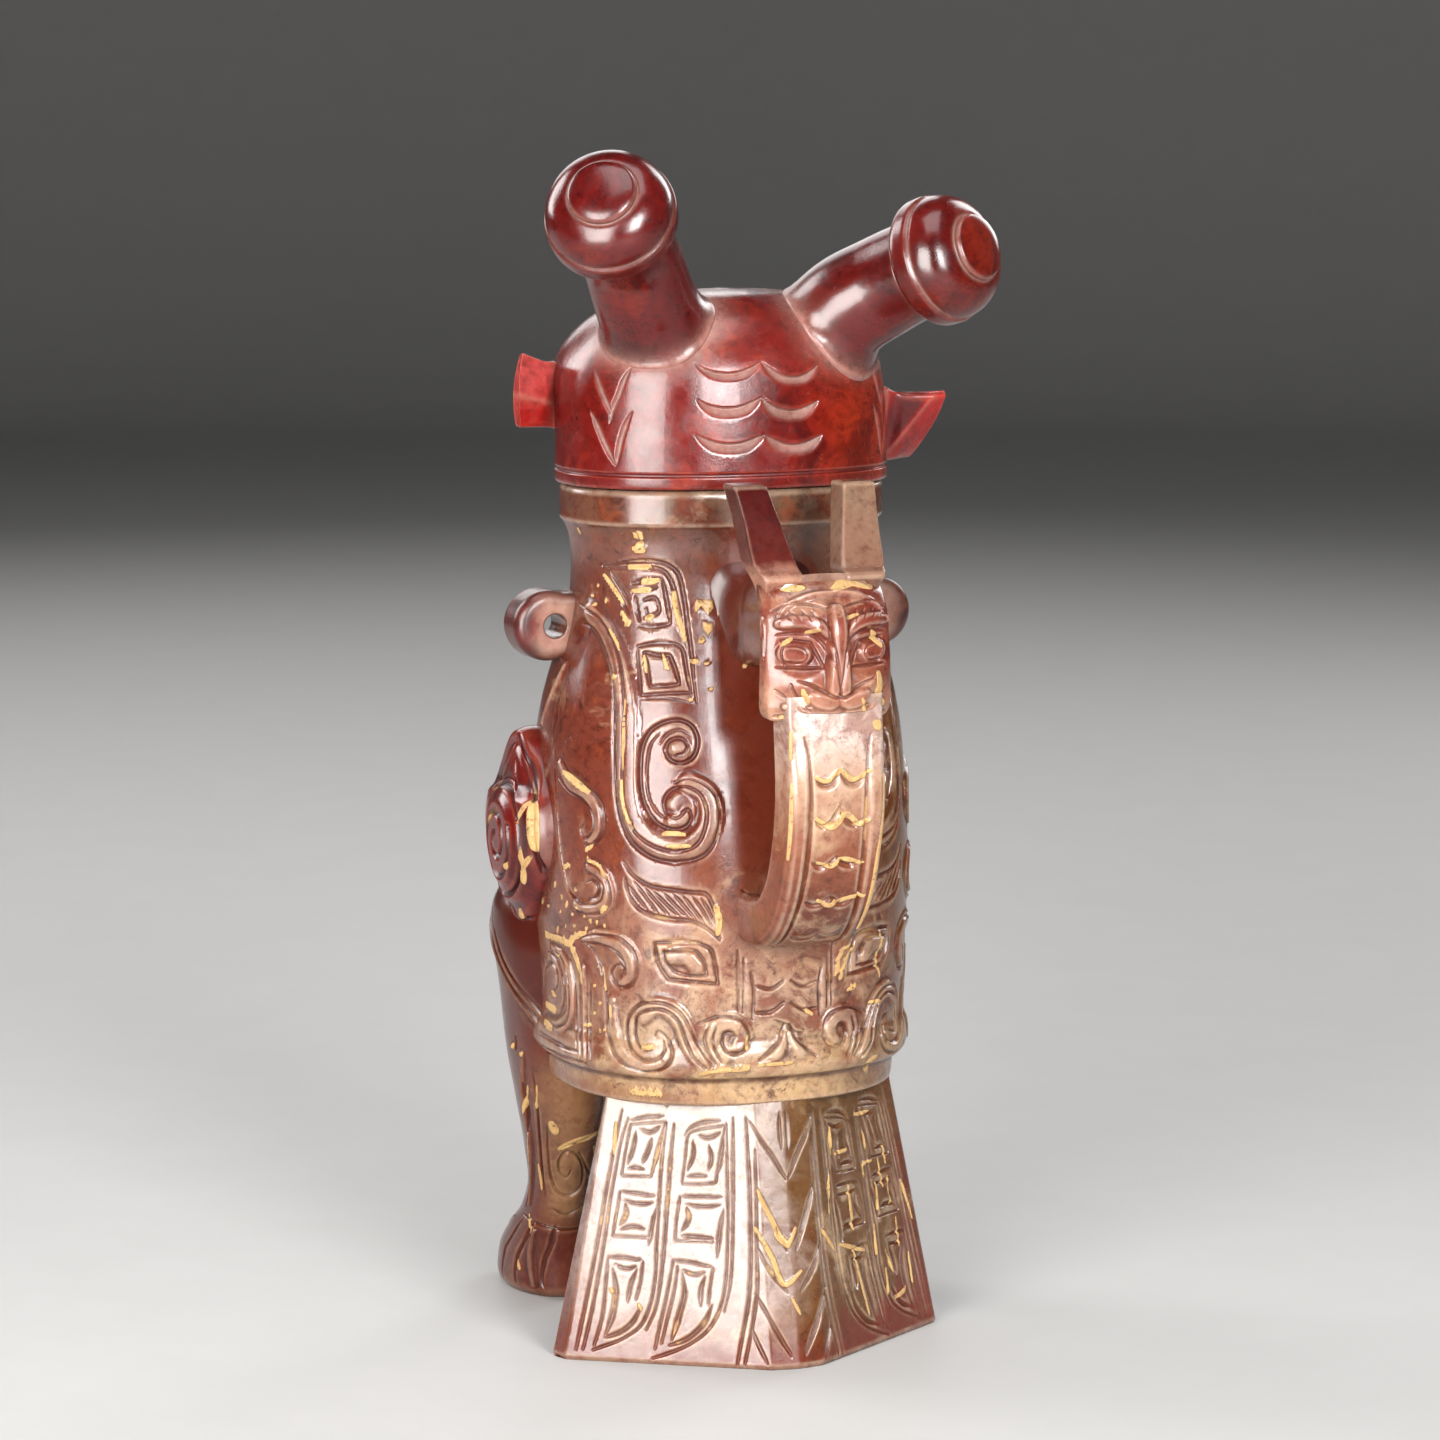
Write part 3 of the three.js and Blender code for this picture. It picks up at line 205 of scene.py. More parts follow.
TAIL_CUTS = [
    ("g", 0.45, 0.60, 0.50, 0.50, [(29.3, 51.8), (31, 44.4), (32.6, 36.9), (34.1, 29.5), (36, 20.4), (38, 11.3), (40.1, 2.2)]),
    ("g", 0.40, 0.60, 0.45, 0.50, [(28.3, 50.2), (29.7, 45.7), (31.1, 39.5), (32.5, 32.9), (33.7, 25.8), (35.5, 16.8), (37.3, 8.5), (38.9, 2.3)]),
    ("g", 0.35, 0.80, 0.50, 0.80, [(28.2, 49.6), (25.5, 50.6), (21.9, 50.9)]),
    ("g", 0.30, 0.40, 0.45, 0.10, [(27.9, 49), (24.8, 49.4), (22, 49.7)]),
    ("g", 0.30, 0.40, 0.45, 0.10, [(27.9, 49), (29.1, 43.6), (30.1, 38.5)]),
    ("g", 0.30, 0.40, 0.45, 0.10, [(30, 38.3), (27.4, 38.4), (24.9, 38.5)]),
    ("g", 0.30, 0.40, 0.45, 0.10, [(21.8, 49.5), (23.2, 44.3), (24.9, 38.5)]),
    ("g", 0.30, 0.95, 0.60, 0.90, [(26.5, 48.3), (24.6, 47.7), (22.6, 49.1)]),
    ("g", 0.70, 0.60, 0.60, 0.90, [(27.1, 47.6), (27.8, 44.1), (29.1, 40.4)]),
    ("g", 0.70, 0.70, 0.60, 0.90, [(24.3, 46.5), (25.2, 43.6), (26.4, 40.7)]),
    ("g", 0.60, 0.60, 0.55, 0.90, [(29.1, 39.8), (27.5, 40.1), (25.9, 39.7)]),
    ("g", 0.70, 0.60, 0.55, 0.90, [(22.1, 48.5), (23.4, 43.9), (24.5, 39.8)]),
    ("g", 0.30, 0.90, 0.50, 0.80, [(30.6, 35.2), (27.4, 35), (24.1, 34.5)]),
    ("g", 0.30, 0.40, 0.45, 0.10, [(30.6, 35), (31.5, 30.3), (32.3, 26.1)]),
    ("g", 0.30, 0.40, 0.45, 0.10, [(32.3, 25.9), (29.3, 25.9), (26.1, 25.9)]),
    ("g", 0.30, 0.90, 0.55, 0.90, [(30, 33.4), (27.2, 32.9), (24.5, 33.3)]),
    ("g", 0.80, 0.60, 0.60, 0.90, [(29.8, 32.8), (29.8, 30.6), (31.1, 28)]),
    ("g", 0.70, 0.60, 0.60, 0.90, [(31.2, 27.2), (28.7, 28), (26.4, 27.5)]),
    ("g", 0.90, 0.50, 0.60, 0.90, [(24.2, 32.5), (25.3, 28.8), (26.2, 24.2)]),
    ("g", 0.35, 0.80, 0.50, 0.80, [(33.8, 21.6), (30.6, 21.7), (27.3, 21.3)]),
    ("g", 0.40, 0.50, 0.45, 0.50, [(33.5, 21.2), (34.3, 14.8), (35.1, 9.4), (36.9, 3.2)]),
    ("g", 0.30, 0.80, 0.55, 0.90, [(32.3, 20.2), (30.4, 19.5), (28.4, 20)]),
    ("g", 0.80, 0.80, 0.65, 0.90, [(32.7, 19.2), (32.4, 14.9), (33.3, 9.9), (34.8, 5.4)]),
    ("g", 0.80, 0.50, 0.60, 0.90, [(28.4, 19.6), (29.8, 16.3), (30.6, 12.2)]),
    ("g", 0.45, 0.50, 0.50, 0.40, [(27.3, 20.9), (28.1, 16.4), (29, 13.1)]),
    ("g", 0.60, 0.80, 0.60, 0.80, [(35, 5), (32.1, 6.4), (29.9, 8.5), (28.3, 11.5)]),
    ("g", 0.45, 0.50, 0.55, 0.40, [(21.6, 49.7), (22.8, 41.9), (23.8, 33.7), (24.6, 25.5), (25.4, 17.3), (26.6, 12), (28.5, 7.8), (31.5, 5.2), (34.4, 3.6), (37.1, 2.4)]),
    ("g", 0.45, 0.70, 0.55, 0.50, [(20.2, 49.4), (21.2, 42), (22.2, 33.8), (23.2, 25.6), (24.5, 16.6), (25.7, 11.2), (27.5, 7)]),
    ("g", 0.35, 0.80, 0.50, 0.80, [(18.6, 47), (17.5, 48.7), (15.3, 50), (11.9, 50.4)]),
    ("g", 0.30, 0.40, 0.45, 0.10, [(18.1, 46.6), (17.5, 47.7), (14.6, 48.8), (11.4, 49.4)]),
    ("g", 0.30, 0.40, 0.45, 0.10, [(18.1, 46.6), (18.7, 42.1), (19.5, 37.4)]),
    ("g", 0.30, 0.40, 0.45, 0.10, [(19.5, 37.2), (16.7, 37.3), (13.7, 37.7)]),
    ("g", 0.40, 0.45, 0.45, 0.10, [(11.3, 49), (12.4, 44), (13.5, 37.9)]),
    ("g", 0.35, 0.90, 0.55, 0.90, [(16.3, 47.5), (14.4, 47), (11.8, 48.3)]),
    ("g", 0.70, 0.60, 0.60, 0.90, [(17.1, 46.3), (17.2, 43.4), (18.5, 39.7)]),
    ("g", 0.70, 0.60, 0.60, 0.90, [(14.3, 45.4), (14.1, 42.7), (14.8, 39.9)]),
    ("g", 0.60, 0.50, 0.55, 0.90, [(18.7, 38.7), (16.6, 39), (14.8, 38.9)]),
    ("g", 0.90, 0.50, 0.60, 0.90, [(11.5, 47.7), (12.4, 43.6), (13.2, 39.1)]),
    ("g", 0.35, 0.80, 0.50, 0.80, [(20, 34.7), (16.4, 34.9), (12.6, 34.9)]),
    ("g", 0.30, 0.40, 0.45, 0.20, [(20, 34.5), (20.8, 30.2), (21.4, 25.7)]),
    ("g", 0.30, 0.40, 0.45, 0.20, [(21.4, 25.5), (18, 25.7), (14.7, 25.7)]),
    ("g", 0.35, 0.80, 0.55, 0.90, [(19.2, 33.1), (15.9, 32.9), (12.7, 33.3)]),
    ("g", 0.80, 0.60, 0.60, 0.90, [(19, 32.7), (18.8, 30.3), (20.2, 27.4)]),
    ("g", 0.30, 1.50, 0.65, 0.90, [(20.3, 26.8), (17.3, 26.7), (14.5, 26.5)]),
    ("g", 0.90, 0.50, 0.60, 0.90, [(12.4, 32.7), (13.5, 28.2), (14.2, 22.4)]),
    ("g", 0.35, 0.80, 0.50, 0.80, [(22.3, 21.6), (19, 21.4), (15.2, 20.6)]),
    ("g", 0.40, 0.50, 0.45, 0.50, [(22, 21.2), (23.2, 15.4), (24.5, 10.1), (26.2, 3.1)]),
    ("g", 0.40, 0.50, 0.45, 0.50, [(21.2, 20.4), (22.1, 15.5), (23.5, 10.1), (25, 4.3)]),
    ("g", 0.35, 0.80, 0.55, 0.90, [(20.5, 19.7), (18.4, 19), (16.3, 19.5)]),
    ("g", 0.80, 0.80, 0.65, 0.90, [(20.5, 19.2), (20.4, 14.8), (21.6, 10.2), (23.2, 4.9)]),
    ("g", 0.80, 0.50, 0.60, 0.90, [(16.5, 18.7), (17.5, 15.8), (17.7, 12.1)]),
    ("g", 0.45, 0.50, 0.50, 0.50, [(15, 20.4), (15.8, 16.3), (16.3, 12.6)]),
    ("g", 0.60, 0.90, 0.60, 0.80, [(23.8, 4), (20.2, 5.9), (17.2, 9.3), (15.6, 13)]),
    ("g", 0.45, 0.50, 0.55, 0.40, [(11, 49.8), (11.3, 42.5), (11.6, 34.3), (12.1, 26.2), (12.9, 18.1), (14.2, 12.3), (16.6, 7.7), (19.9, 4.7), (23.6, 2.6), (26.8, 1.2)]),
    ("g", 0.45, 0.70, 0.55, 0.50, [(9.7, 51.1), (10.2, 42.5), (10.7, 34.4), (11.4, 24.2), (12.2, 17.1), (13.6, 11.5)]),
    ("g", 0.45, 0.70, 0.55, 0.40, [(7.4, 51.2), (7.5, 44.7), (7.6, 36.6), (7.9, 28.5), (8.4, 20.3), (9.3, 13), (10.8, 6), (11.9, 0.7)]),
    ("g", 0.40, 0.60, 0.50, 0.40, [(6.2, 44.8), (6.6, 34.6), (7.1, 24.5), (7.5, 16.3), (8.9, 8.2), (10.6, 0.8)]),
    ("g", 0.50, 0.90, 0.55, 0.50, [(6.8, 50.4), (4.7, 46.7), (2.4, 43), (0.2, 38.8)]),
    ("g", 0.50, 0.90, 0.55, 0.50, [(6.3, 37), (4.8, 33.6), (3, 29.2), (1, 24.3)]),
    ("g", 0.50, 0.90, 0.55, 0.50, [(7, 24.9), (5.6, 21.7), (3.7, 18.8), (1.4, 15.8)]),
    ("g", 0.50, 0.90, 0.55, 0.50, [(7.9, 15.5), (6.2, 12), (4.1, 7.8), (1.5, 2.9)]),
    ("g", 0.50, 0.80, 0.50, 0.60, [(9, 8.6), (8, 5.4), (6.5, 1.4)]),
    ("g", 0.50, 0.60, 0.45, 0.80, [(0.7, 52.2), (0.8, 48.6), (0.7, 44.5)]),
]
HEAD_CUTS = [
    ("g", 0.40, 0.70, 0.50, 0.40, [(11.1, 154.5), (7.7, 154.9), (4.3, 154.4), (1.8, 152.1), (0.4, 148)]),
    ("b", 1.40, 1.40, 0.70, 0.40, [(10.7, 156.5), (7.2, 157), (3.4, 156.3), (1.3, 154.4)]),
    ("g", 0.40, 0.50, 0.55, 0.40, [(11.5, 159), (8.5, 160.4), (4.3, 160.4), (0.5, 159.5)]),
    ("g", 0.30, 0.40, 0.35, 0.80, [(10.6, 157.5), (9.1, 158.1)]),
    ("g", 0.30, 0.40, 0.35, 0.80, [(10.7, 158.6), (9.5, 158.1), (8.2, 157.1)]),
    ("g", 0.30, 0.40, 0.35, 0.80, [(8.6, 159.2), (7.5, 158.2), (6.5, 157)]),
    ("g", 0.30, 0.40, 0.35, 0.80, [(6.3, 159.5), (5.4, 158.3), (4.6, 156.9)]),
    ("g", 0.30, 0.40, 0.35, 0.80, [(4.2, 159.2), (3.5, 158.1), (2.7, 156.5)]),
    ("g", 0.40, 0.50, 0.60, 0.20, [(10.5, 153.4), (7.4, 153.3), (4.8, 153)]),
    ("g", 0.40, 0.50, 0.60, 0.20, [(4.8, 153), (3.6, 150.8), (2.3, 148.1)]),
    ("g", 0.50, 0.40, 0.60, 0.20, [(2.3, 147.9), (6, 147.9), (9.1, 148), (11.3, 148)]),
    ("b", 1.90, 1.90, 0.50, 0.00, [(9.6, 150.8), (7.8, 150.7), (6.4, 150.5)]),
    ("g", 0.35, 0.45, 0.20, 0.30, [(10.2, 152), (7.8, 152.3), (5.9, 151.5), (5.5, 150.1), (6.8, 148.9), (9.4, 149), (10.7, 150.2), (10.2, 152)]),
    ("b", 1.90, 1.90, 1.00, 0.30, [(-0.5, 159), (-0.8, 153.5), (-1.3, 147.9), (-2, 142.3)]),
    ("g", 0.40, 0.70, 0.55, 0.40, [(1.3, 156), (0.5, 152), (-0.3, 147.2), (-0.9, 142.8)]),
    ("b", 1.90, 1.90, 0.80, 0.30, [(4.9, 142), (2.3, 141.1), (-0.3, 141)]),
    ("g", 0.50, 0.70, 0.65, 0.50, [(7.4, 145.5), (4.5, 144.4), (1.9, 142.9), (-0.1, 142), (-1.1, 142.9)]),
    ("g", 0.40, 0.60, 0.45, 0.60, [(8.7, 144.8), (7.8, 142.6), (6.4, 140.3), (4.9, 139.2)]),
    ("g", 0.50, 0.70, 0.75, 0.10, [(11.4, 138.1), (8, 138.5), (3.5, 138.5), (-1.3, 138.3)]),
    ("b", 0.90, 0.90, 0.40, 0.20, [(9.8, 140.2), (6.6, 139.7), (2.7, 139.5), (-1.2, 139.3)]),
    ("g", 0.40, 0.50, 0.40, 0.60, [(11.6, 143.6), (9.6, 142)]),
]
STRAP_CUTS = [
    ("g", 0.55, 0.70, 0.60, 0.50, [(7.2, 8.3), (6.4, 12.1), (6, 17.9), (5.9, 23.8), (6, 31.5), (6.2, 38.1), (6.5, 44.6)]),
    ("g", 0.25, 1.30, 0.60, 0.90, [(5.6, 15.7), (4.1, 17.3), (2.1, 17.4), (0.7, 15.9), (-0.4, 14.4)]),
    ("g", 0.25, 1.20, 0.60, 0.90, [(5.1, 24.1), (3.3, 25), (1.6, 24.5), (0.4, 23), (-0.8, 21.5)]),
    ("g", 0.25, 1.10, 0.60, 0.90, [(4.8, 32.2), (2.7, 33), (0.8, 32.7), (-0.4, 31.7), (-1.4, 31)]),
    ("g", 0.25, 1.00, 0.60, 0.90, [(3.6, 40.3), (1.4, 41), (-0.3, 40.7), (-1.3, 39.8), (-2.3, 39.4)]),
]
LEG_CUTS = [
    ("g", 0.50, 0.60, 0.55, 0.50, [(9.6, 61), (14.2, 54.6), (14, 45.2), (6.2, 35.2), (-7.2, 26.2), (-0.2, 20)]),
    ("g", 0.50, 0.60, 0.55, 0.50, [(29, 53.4), (28.6, 45.4), (27.9, 36), (30.7, 27.6), (39.5, 23.8)]),
    ("g", 0.50, 0.60, 0.55, 0.50, [(41, 41), (41.1, 34), (45.9, 28.4), (62.5, 24.8), (85.6, 24.2), (104.8, 26.4), (102.6, 30.8), (87.1, 34.4), (69, 35.2), (58.8, 33), (61.3, 30), (74, 28.8), (79.7, 30.6)]),
    ("g", 0.50, 0.70, 0.55, 0.60, [(89.7, 35.3), (112.2, 30.8), (146.7, 24.6), (113.9, 21.2), (83.5, 19.4), (53.4, 20.8)]),
    ("g", 0.50, 0.60, 0.45, 0.60, [(59.5, 36.4), (82.9, 37.6), (117.2, 39.8)]),
    ("g", 0.50, 0.60, 0.50, 0.30, [(3.4, 18), (51.1, 16.4), (78.4, 15.8), (111.4, 15.6)]),
    ("r", 1.30, 1.30, 0.65, 0.30, [(38, 15), (42, 9), (45.6, 2.6)]),
    ("r", 1.50, 1.10, 0.60, 0.40, [(1.4, 58.8), (9.2, 47), (9.7, 35.1), (7.9, 20.8)]),
    ("g", 0.60, 0.60, 0.60, 0.40, [(-22, 85), (0, 79), (20, 72), (45, 66), (60, 63)]),
    ("g", 0.50, 0.50, 0.45, 0.50, [(-18, 87.6), (2, 81.6), (22, 74.6), (45, 68.8), (58, 66)]),
]
BODY_CLAY = [
    (1.00, [(3.1, 171.5), (6.2, 170.6)]),
    (1.30, [(41.5, 171.5), (44.2, 170.5)]),
    (1.20, [(39.2, 168.2), (44.5, 168.2)]),
    (0.55, [(21.0, 169.2), (25.2, 169.6)]),
    (0.75, [(35.4, 164.4), (46.4, 164.5)]),
    (0.95, [(42.5, 161.4), (50.0, 161.8)]),
    (0.75, [(37.9, 159.5), (46.2, 159.8)]),
    (0.65, [(20.9, 162.4), (26.1, 160.2), (32.5, 157.0)]),
    (0.80, [(32.1, 155.1), (37.0, 152.2)]),
    (0.85, [(56.9, 159.4), (57.5, 156.2), (59.7, 152.6), (61.5, 149.8)]),
    (1.00, [(65.7, 155.8), (67.7, 157.4), (70.4, 156.4), (73.4, 155.3), (75.6, 156.1)]),
    (1.40, [(69.9, 152.9), (71.7, 152.1)]),
    (1.00, [(85.5, 149.0), (86.1, 146.2)]),
    (0.50, [(83.1, 145.1), (83.4, 143.9)]),
    (0.80, [(64.0, 145.6), (66.6, 145.4)]),
    (0.60, [(27.6, 151.3), (31.8, 149.0), (34.0, 147.4)]),
    (0.80, [(32.3, 141.8), (34.2, 142.0)]),
    (0.80, [(44.4, 154.1), (47.6, 154.5)]),
    (0.50, [(53.0, 146.8), (55.5, 143.8)]),
    (0.45, [(45.0, 146.6), (46.8, 143.3)]),
    (0.45, [(39.7, 137.6), (40.2, 132.6), (40.1, 123.5)]),
    (0.50, [(39.7, 121.4), (40.0, 117.4), (41.5, 114.2), (43.7, 111.8)]),
    (0.90, [(11.4, 121.6), (16.5, 120.4), (25.2, 118.4)]),
    (0.70, [(23.2, 106.4), (26.1, 107.4)]),
    (0.60, [(24.1, 104.4), (29.6, 103.4), (32.6, 101.1)]),
    (0.70, [(29.5, 93.9), (31.9, 95.3)]),
    (0.80, [(10.2, 101.6), (14.5, 102.8)]),
    (1.00, [(70.3, 96.2), (71.0, 93.4), (70.5, 90.4)]),
    (0.80, [(61.1, 110.9), (54.4, 111.0)]),
    (0.70, [(55.6, 108.4), (62.9, 108.5)]),
    (1.10, [(-3.3, 85.9), (4.0, 86.2), (10.6, 85.8), (14.5, 83.8), (16.9, 80.4), (17.7, 78.4)]),
    (0.90, [(10.5, 85.6), (15.7, 87.8), (21.2, 89.0)]),
    (1.30, [(-5.4, 70.6), (0.0, 70.0)]),
    (1.20, [(-5.5, 66.8), (-0.7, 66.4)]),
    (0.70, [(-1.6, 73.9), (0.4, 73.4)]),
    (0.60, [(18.9, 69.4), (21.5, 69.6)]),
    (0.50, [(25.0, 69.1), (25.9, 68.8)]),
    (0.50, [(28.5, 82.2), (29.0, 77.6)]),
    (0.50, [(31.3, 74.6), (31.6, 72.3)]),
    (0.70, [(44.0, 66.4), (48.4, 66.8)]),
    (0.60, [(78.9, 69.1), (78.8, 66.3)]),
    (0.70, [(64.0, 61.6), (71.0, 62.2), (79.5, 62.8)]),
    (0.60, [(82.4, 63.1), (90.6, 63.3)]),
    (0.70, [(37.0, 56.2), (50.0, 56.3)]),
    (1.00, [(118.5, 61.0), (121.8, 62.0)]),
    (0.90, [(120.3, 59.2), (125.2, 59.2)]),
    (0.60, [(110.3, 86.2), (107.1, 85.4), (104.9, 80.4)]),
    (0.60, [(111.6, 85.5), (108.7, 83.2), (106.8, 80.0)]),
    (0.60, [(124.4, 87.8), (123.0, 82.0), (125.7, 78.6)]),
    (0.70, [(109.8, 76.8), (113.2, 77.8)]),
    (0.60, [(119.2, 73.6), (125.0, 73.4)]),
    (0.60, [(94.9, 73.7), (96.8, 72.7)]),
    (0.50, [(107.0, 90.0), (111.1, 88.2)]),
]
BODY_SPECKS = [(4.1, 97.4, 0.50), (-1.2, 92.4, 0.35), (6.5, 92.0, 0.30), (10.8, 93.9, 0.35), (14.1, 92.3, 0.30), (17.7, 93.9, 0.40), (20.7, 92.4, 0.30), (23.5, 91.8, 0.35), (26.4, 91.6, 0.30), (10.0, 89.6, 0.35), (14.8, 90.0, 0.30), (4.4, 88.0, 0.35), (30.0, 91.0, 0.30), (-4.8, 92.9, 0.40), (8.6, 95.4, 0.30), (21.3, 89.8, 0.30), (25.2, 89.6, 0.25), (16.8, 97.6, 0.25), (4.8, 82.7, 0.30), (25.7, 82.0, 0.30), (23.8, 78.2, 0.30), (26.3, 74.6, 0.30), (23.2, 72.3, 0.35), (27.8, 69.1, 0.25), (64.2, 137.8, 0.40), (69.5, 145.0, 0.50), (71.0, 139.8, 0.30), (67.2, 149.8, 0.30), (70.4, 164.3, 0.50), (11.8, 157.8, 0.50), (15.2, 156.0, 0.40), (22.2, 157.2, 0.50), (16.5, 160.2, 0.35)]
TAIL_CLAY = [
    (0.60, [(-22.5, 44.0), (-23.0, 40.5)]),
    (0.55, [(-24.6, 37.8), (-22.0, 37.5), (-22.2, 35.0)]),
    (0.55, [(-25.6, 33.0), (-25.9, 27.5)]),
    (0.50, [(-28.6, 40.0), (-29.0, 36.4)]),
    (0.50, [(-29.4, 33.6), (-30.0, 27.8)]),
    (0.55, [(-24.2, 24.6), (-24.6, 18.4)]),
    (0.50, [(-31.2, 24.6), (-31.8, 18.6)]),
    (0.50, [(-27.0, 15.0), (-27.6, 9.4)]),
    (0.45, [(-34.6, 16.6), (-35.4, 10.2)]),
    (0.60, [(-20.2, 48.2), (-24.6, 48.0)]),
    (0.80, [(6.3, 36.4), (4.0, 30.9), (1.0, 25.4), (-1.2, 28.4)]),
    (0.80, [(7.2, 28.8), (4.5, 23.4), (2.0, 17.3), (-1.8, 19.7)]),
    (1.10, [(3.1, 27.6), (0.8, 25.1)]),
    (0.60, [(-11.4, 38.6), (-10.5, 30.1)]),
    (0.70, [(-16.9, 34.2), (-17.6, 25.2)]),
    (0.70, [(-13.2, 23.0), (-20.5, 20.2)]),
    (0.60, [(-17.2, 21.0), (-19.0, 14.0), (-20.9, 6.9)]),
    (0.60, [(-13.4, 41.5), (-17.6, 41.7)]),
    (0.50, [(-33.8, 31.7), (-36.5, 23.3)]),
    (0.60, [(33.3, 15.2), (33.0, 14.3)]),
    (0.60, [(28.5, 12.2), (28.2, 11.1)]),
    (0.50, [(-12.3, 47.2), (-12.6, 41.6)]),
    (0.60, [(-7.8, 27.4), (-11.4, 22.3)]),
    (0.50, [(-26.6, 37.6), (-27.8, 31.9)]),
    (0.50, [(-27.3, 18.7), (-29.4, 13.8)]),
    (0.80, [(-29.7, 8.1), (-33.4, 9.5)]),
    (0.50, [(21.7, 55.1), (21.3, 53.0)]),
    (0.50, [(0.7, 14.5), (-0.9, 11.2)]),
    (0.50, [(30.5, 49.3), (31.3, 42.7)]),
]
STRAP_CLAY = [
    (0.80, [(5.1, 16.2), (2.7, 17.0), (-0.2, 15.1), (-2.9, 16.9), (-6.6, 15.4)]),
    (0.90, [(4.8, 23.9), (1.5, 25.5), (-1.6, 23.3), (-4.3, 25.1), (-6.6, 24.7)]),
    (0.70, [(4.0, 32.4), (0.7, 33.1), (-1.2, 31.8), (-6.2, 33.1)]),
    (0.70, [(2.7, 40.0), (-0.3, 41.2), (-2.7, 40.2), (-7.4, 39.6)]),
    (0.90, [(-10.4, 16.5), (-10.1, 23.3), (-9.2, 31.7), (-9.0, 39.8), (-8.6, 47.7)]),
    (0.70, [(10.3, 17.3), (10.4, 24.1), (10.4, 31.6)]),
    (1.60, [(-8.4, 6.1), (-9.2, 6.9)]),
    (0.60, [(9.9, 6.9), (10.4, 12.6)]),
]
HEAD_CLAY = [
    (2.00, [(-1.1, 163.0), (-5.1, 164.3), (-9.9, 163.1)]),
    (1.20, [(9.2, 163.2), (5.3, 163.5)]),
    (1.80, [(-9.3, 145.9), (-10.1, 137.0)]),
    (1.20, [(-8.5, 154.4), (-10.2, 151.6)]),
    (0.80, [(11.0, 137.9), (3.5, 138.1), (-4.7, 137.0)]),
    (0.90, [(7.2, 143.5), (6.4, 140.9)]),
    (0.70, [(11.1, 152.5), (9.2, 153.7)]),
    (0.60, [(6.5, 155.0), (4.0, 155.4)]),
    (0.70, [(-4.5, 141.5), (-5.8, 138.6)]),
    (0.60, [(-1.7, 157.4), (-4.8, 158.2)]),
]
LEG_CLAY = [
    (1.60, [(46.6, 42.2), (53.7, 40.1)]),
    (1.20, [(59.4, 36.2), (82.2, 38.0), (121.0, 39.4)]),
    (0.90, [(4.1, 59.0), (17.1, 57.2)]),
    (0.70, [(18.8, 50.0), (8.2, 43.6)]),
    (0.70, [(9.5, 38.6), (5.0, 31.4)]),
    (0.60, [(22.5, 31.2), (29.8, 25.2)]),
    (0.80, [(24.0, 7.2), (28.5, 5.4)]),
    (0.60, [(31.9, 50.6), (27.3, 45.4)]),
    (0.70, [(119.3, 35.9), (146.8, 30.6)]),
    (0.50, [(16.7, 18.4), (33.0, 14.4)]),
]


# --------------------------------------------------------------------- curves
def pchip(x, y, q):
    """Shape-keeping cubic through (x, y), sampled at q; y may have columns."""
    x = np.asarray(x, float)
    y = np.asarray(y, float)
    q = np.asarray(q, float)
    if y.ndim == 2:
        return np.stack([pchip(x, y[:, k], q) for k in range(y.shape[1])], -1)
    h = np.diff(x)
    d = np.diff(y) / h
    m = np.zeros(len(x))
    for i in range(1, len(x) - 1):
        if d[i - 1] * d[i] > 0:
            w1, w2 = 2 * h[i] + h[i - 1], h[i] + 2 * h[i - 1]
            m[i] = (w1 + w2) / (w1 / d[i - 1] + w2 / d[i])
    m[0], m[-1] = d[0], d[-1]
    k = np.clip(np.searchsorted(x, q, side="right") - 1, 0, len(h) - 1)
    s = np.clip((q - x[k]) / h[k], 0, 1)
    return (y[k] * (1 + 2 * s) * (1 - s) ** 2 + m[k] * h[k] * s * (1 - s) ** 2
            + y[k + 1] * s * s * (3 - 2 * s) + m[k + 1] * h[k] * s * s * (s - 1))


def catmull(points, step):
    """Smooth open curve through the points, sampled about every step."""
    p = np.asarray(points, float)
    if len(p) == 2:
        n = max(2, int(np.linalg.norm(p[1] - p[0]) / step) + 1)
        return p[0] + (p[1] - p[0]) * np.linspace(0, 1, n)[:, None]
    q = np.vstack([2 * p[0] - p[1], p, 2 * p[-1] - p[-2]])
    out = []
    for k in range(len(p) - 1):
        a, b, c, d = q[k:k + 4]
        t1 = np.linalg.norm(b - a) ** 0.5 + 1e-6
        t2 = t1 + np.linalg.norm(c - b) ** 0.5 + 1e-6
        t3 = t2 + np.linalg.norm(d - c) ** 0.5 + 1e-6
        n = max(2, int(np.ceil(np.linalg.norm(c - b) / step)))
        t = np.linspace(t1, t2, n, endpoint=False)[:, None]
        a1 = (t1 - t) / t1 * a + t / t1 * b
        a2 = (t2 - t) / (t2 - t1) * b + (t - t1) / (t2 - t1) * c
        a3 = (t3 - t) / (t3 - t2) * c + (t - t2) / (t3 - t2) * d
        b1 = (t2 - t) / t2 * a1 + t / t2 * a2
        b2 = (t3 - t) / (t3 - t1) * a2 + (t - t1) / (t3 - t1) * a3
        out.append((t2 - t) / (t2 - t1) * b1 + (t - t1) / (t2 - t1) * b2)
    return np.vstack(out + [p[-1:]])


def by_length(path, n):
    """The path resampled at n points of equal spacing, and its length."""
    s = np.r_[0, np.cumsum(np.linalg.norm(np.diff(path, axis=0), axis=1))]
    u = np.linspace(0, s[-1], n)
    return np.stack([np.interp(u, s, path[:, k]) for k in range(path.shape[1])], -1), s[-1]


def ease(q):
    q = np.clip(q, 0, 1)
    return q * q * (3 - 2 * q)


def spow(v, e):
    return np.sign(v) * np.abs(v) ** e


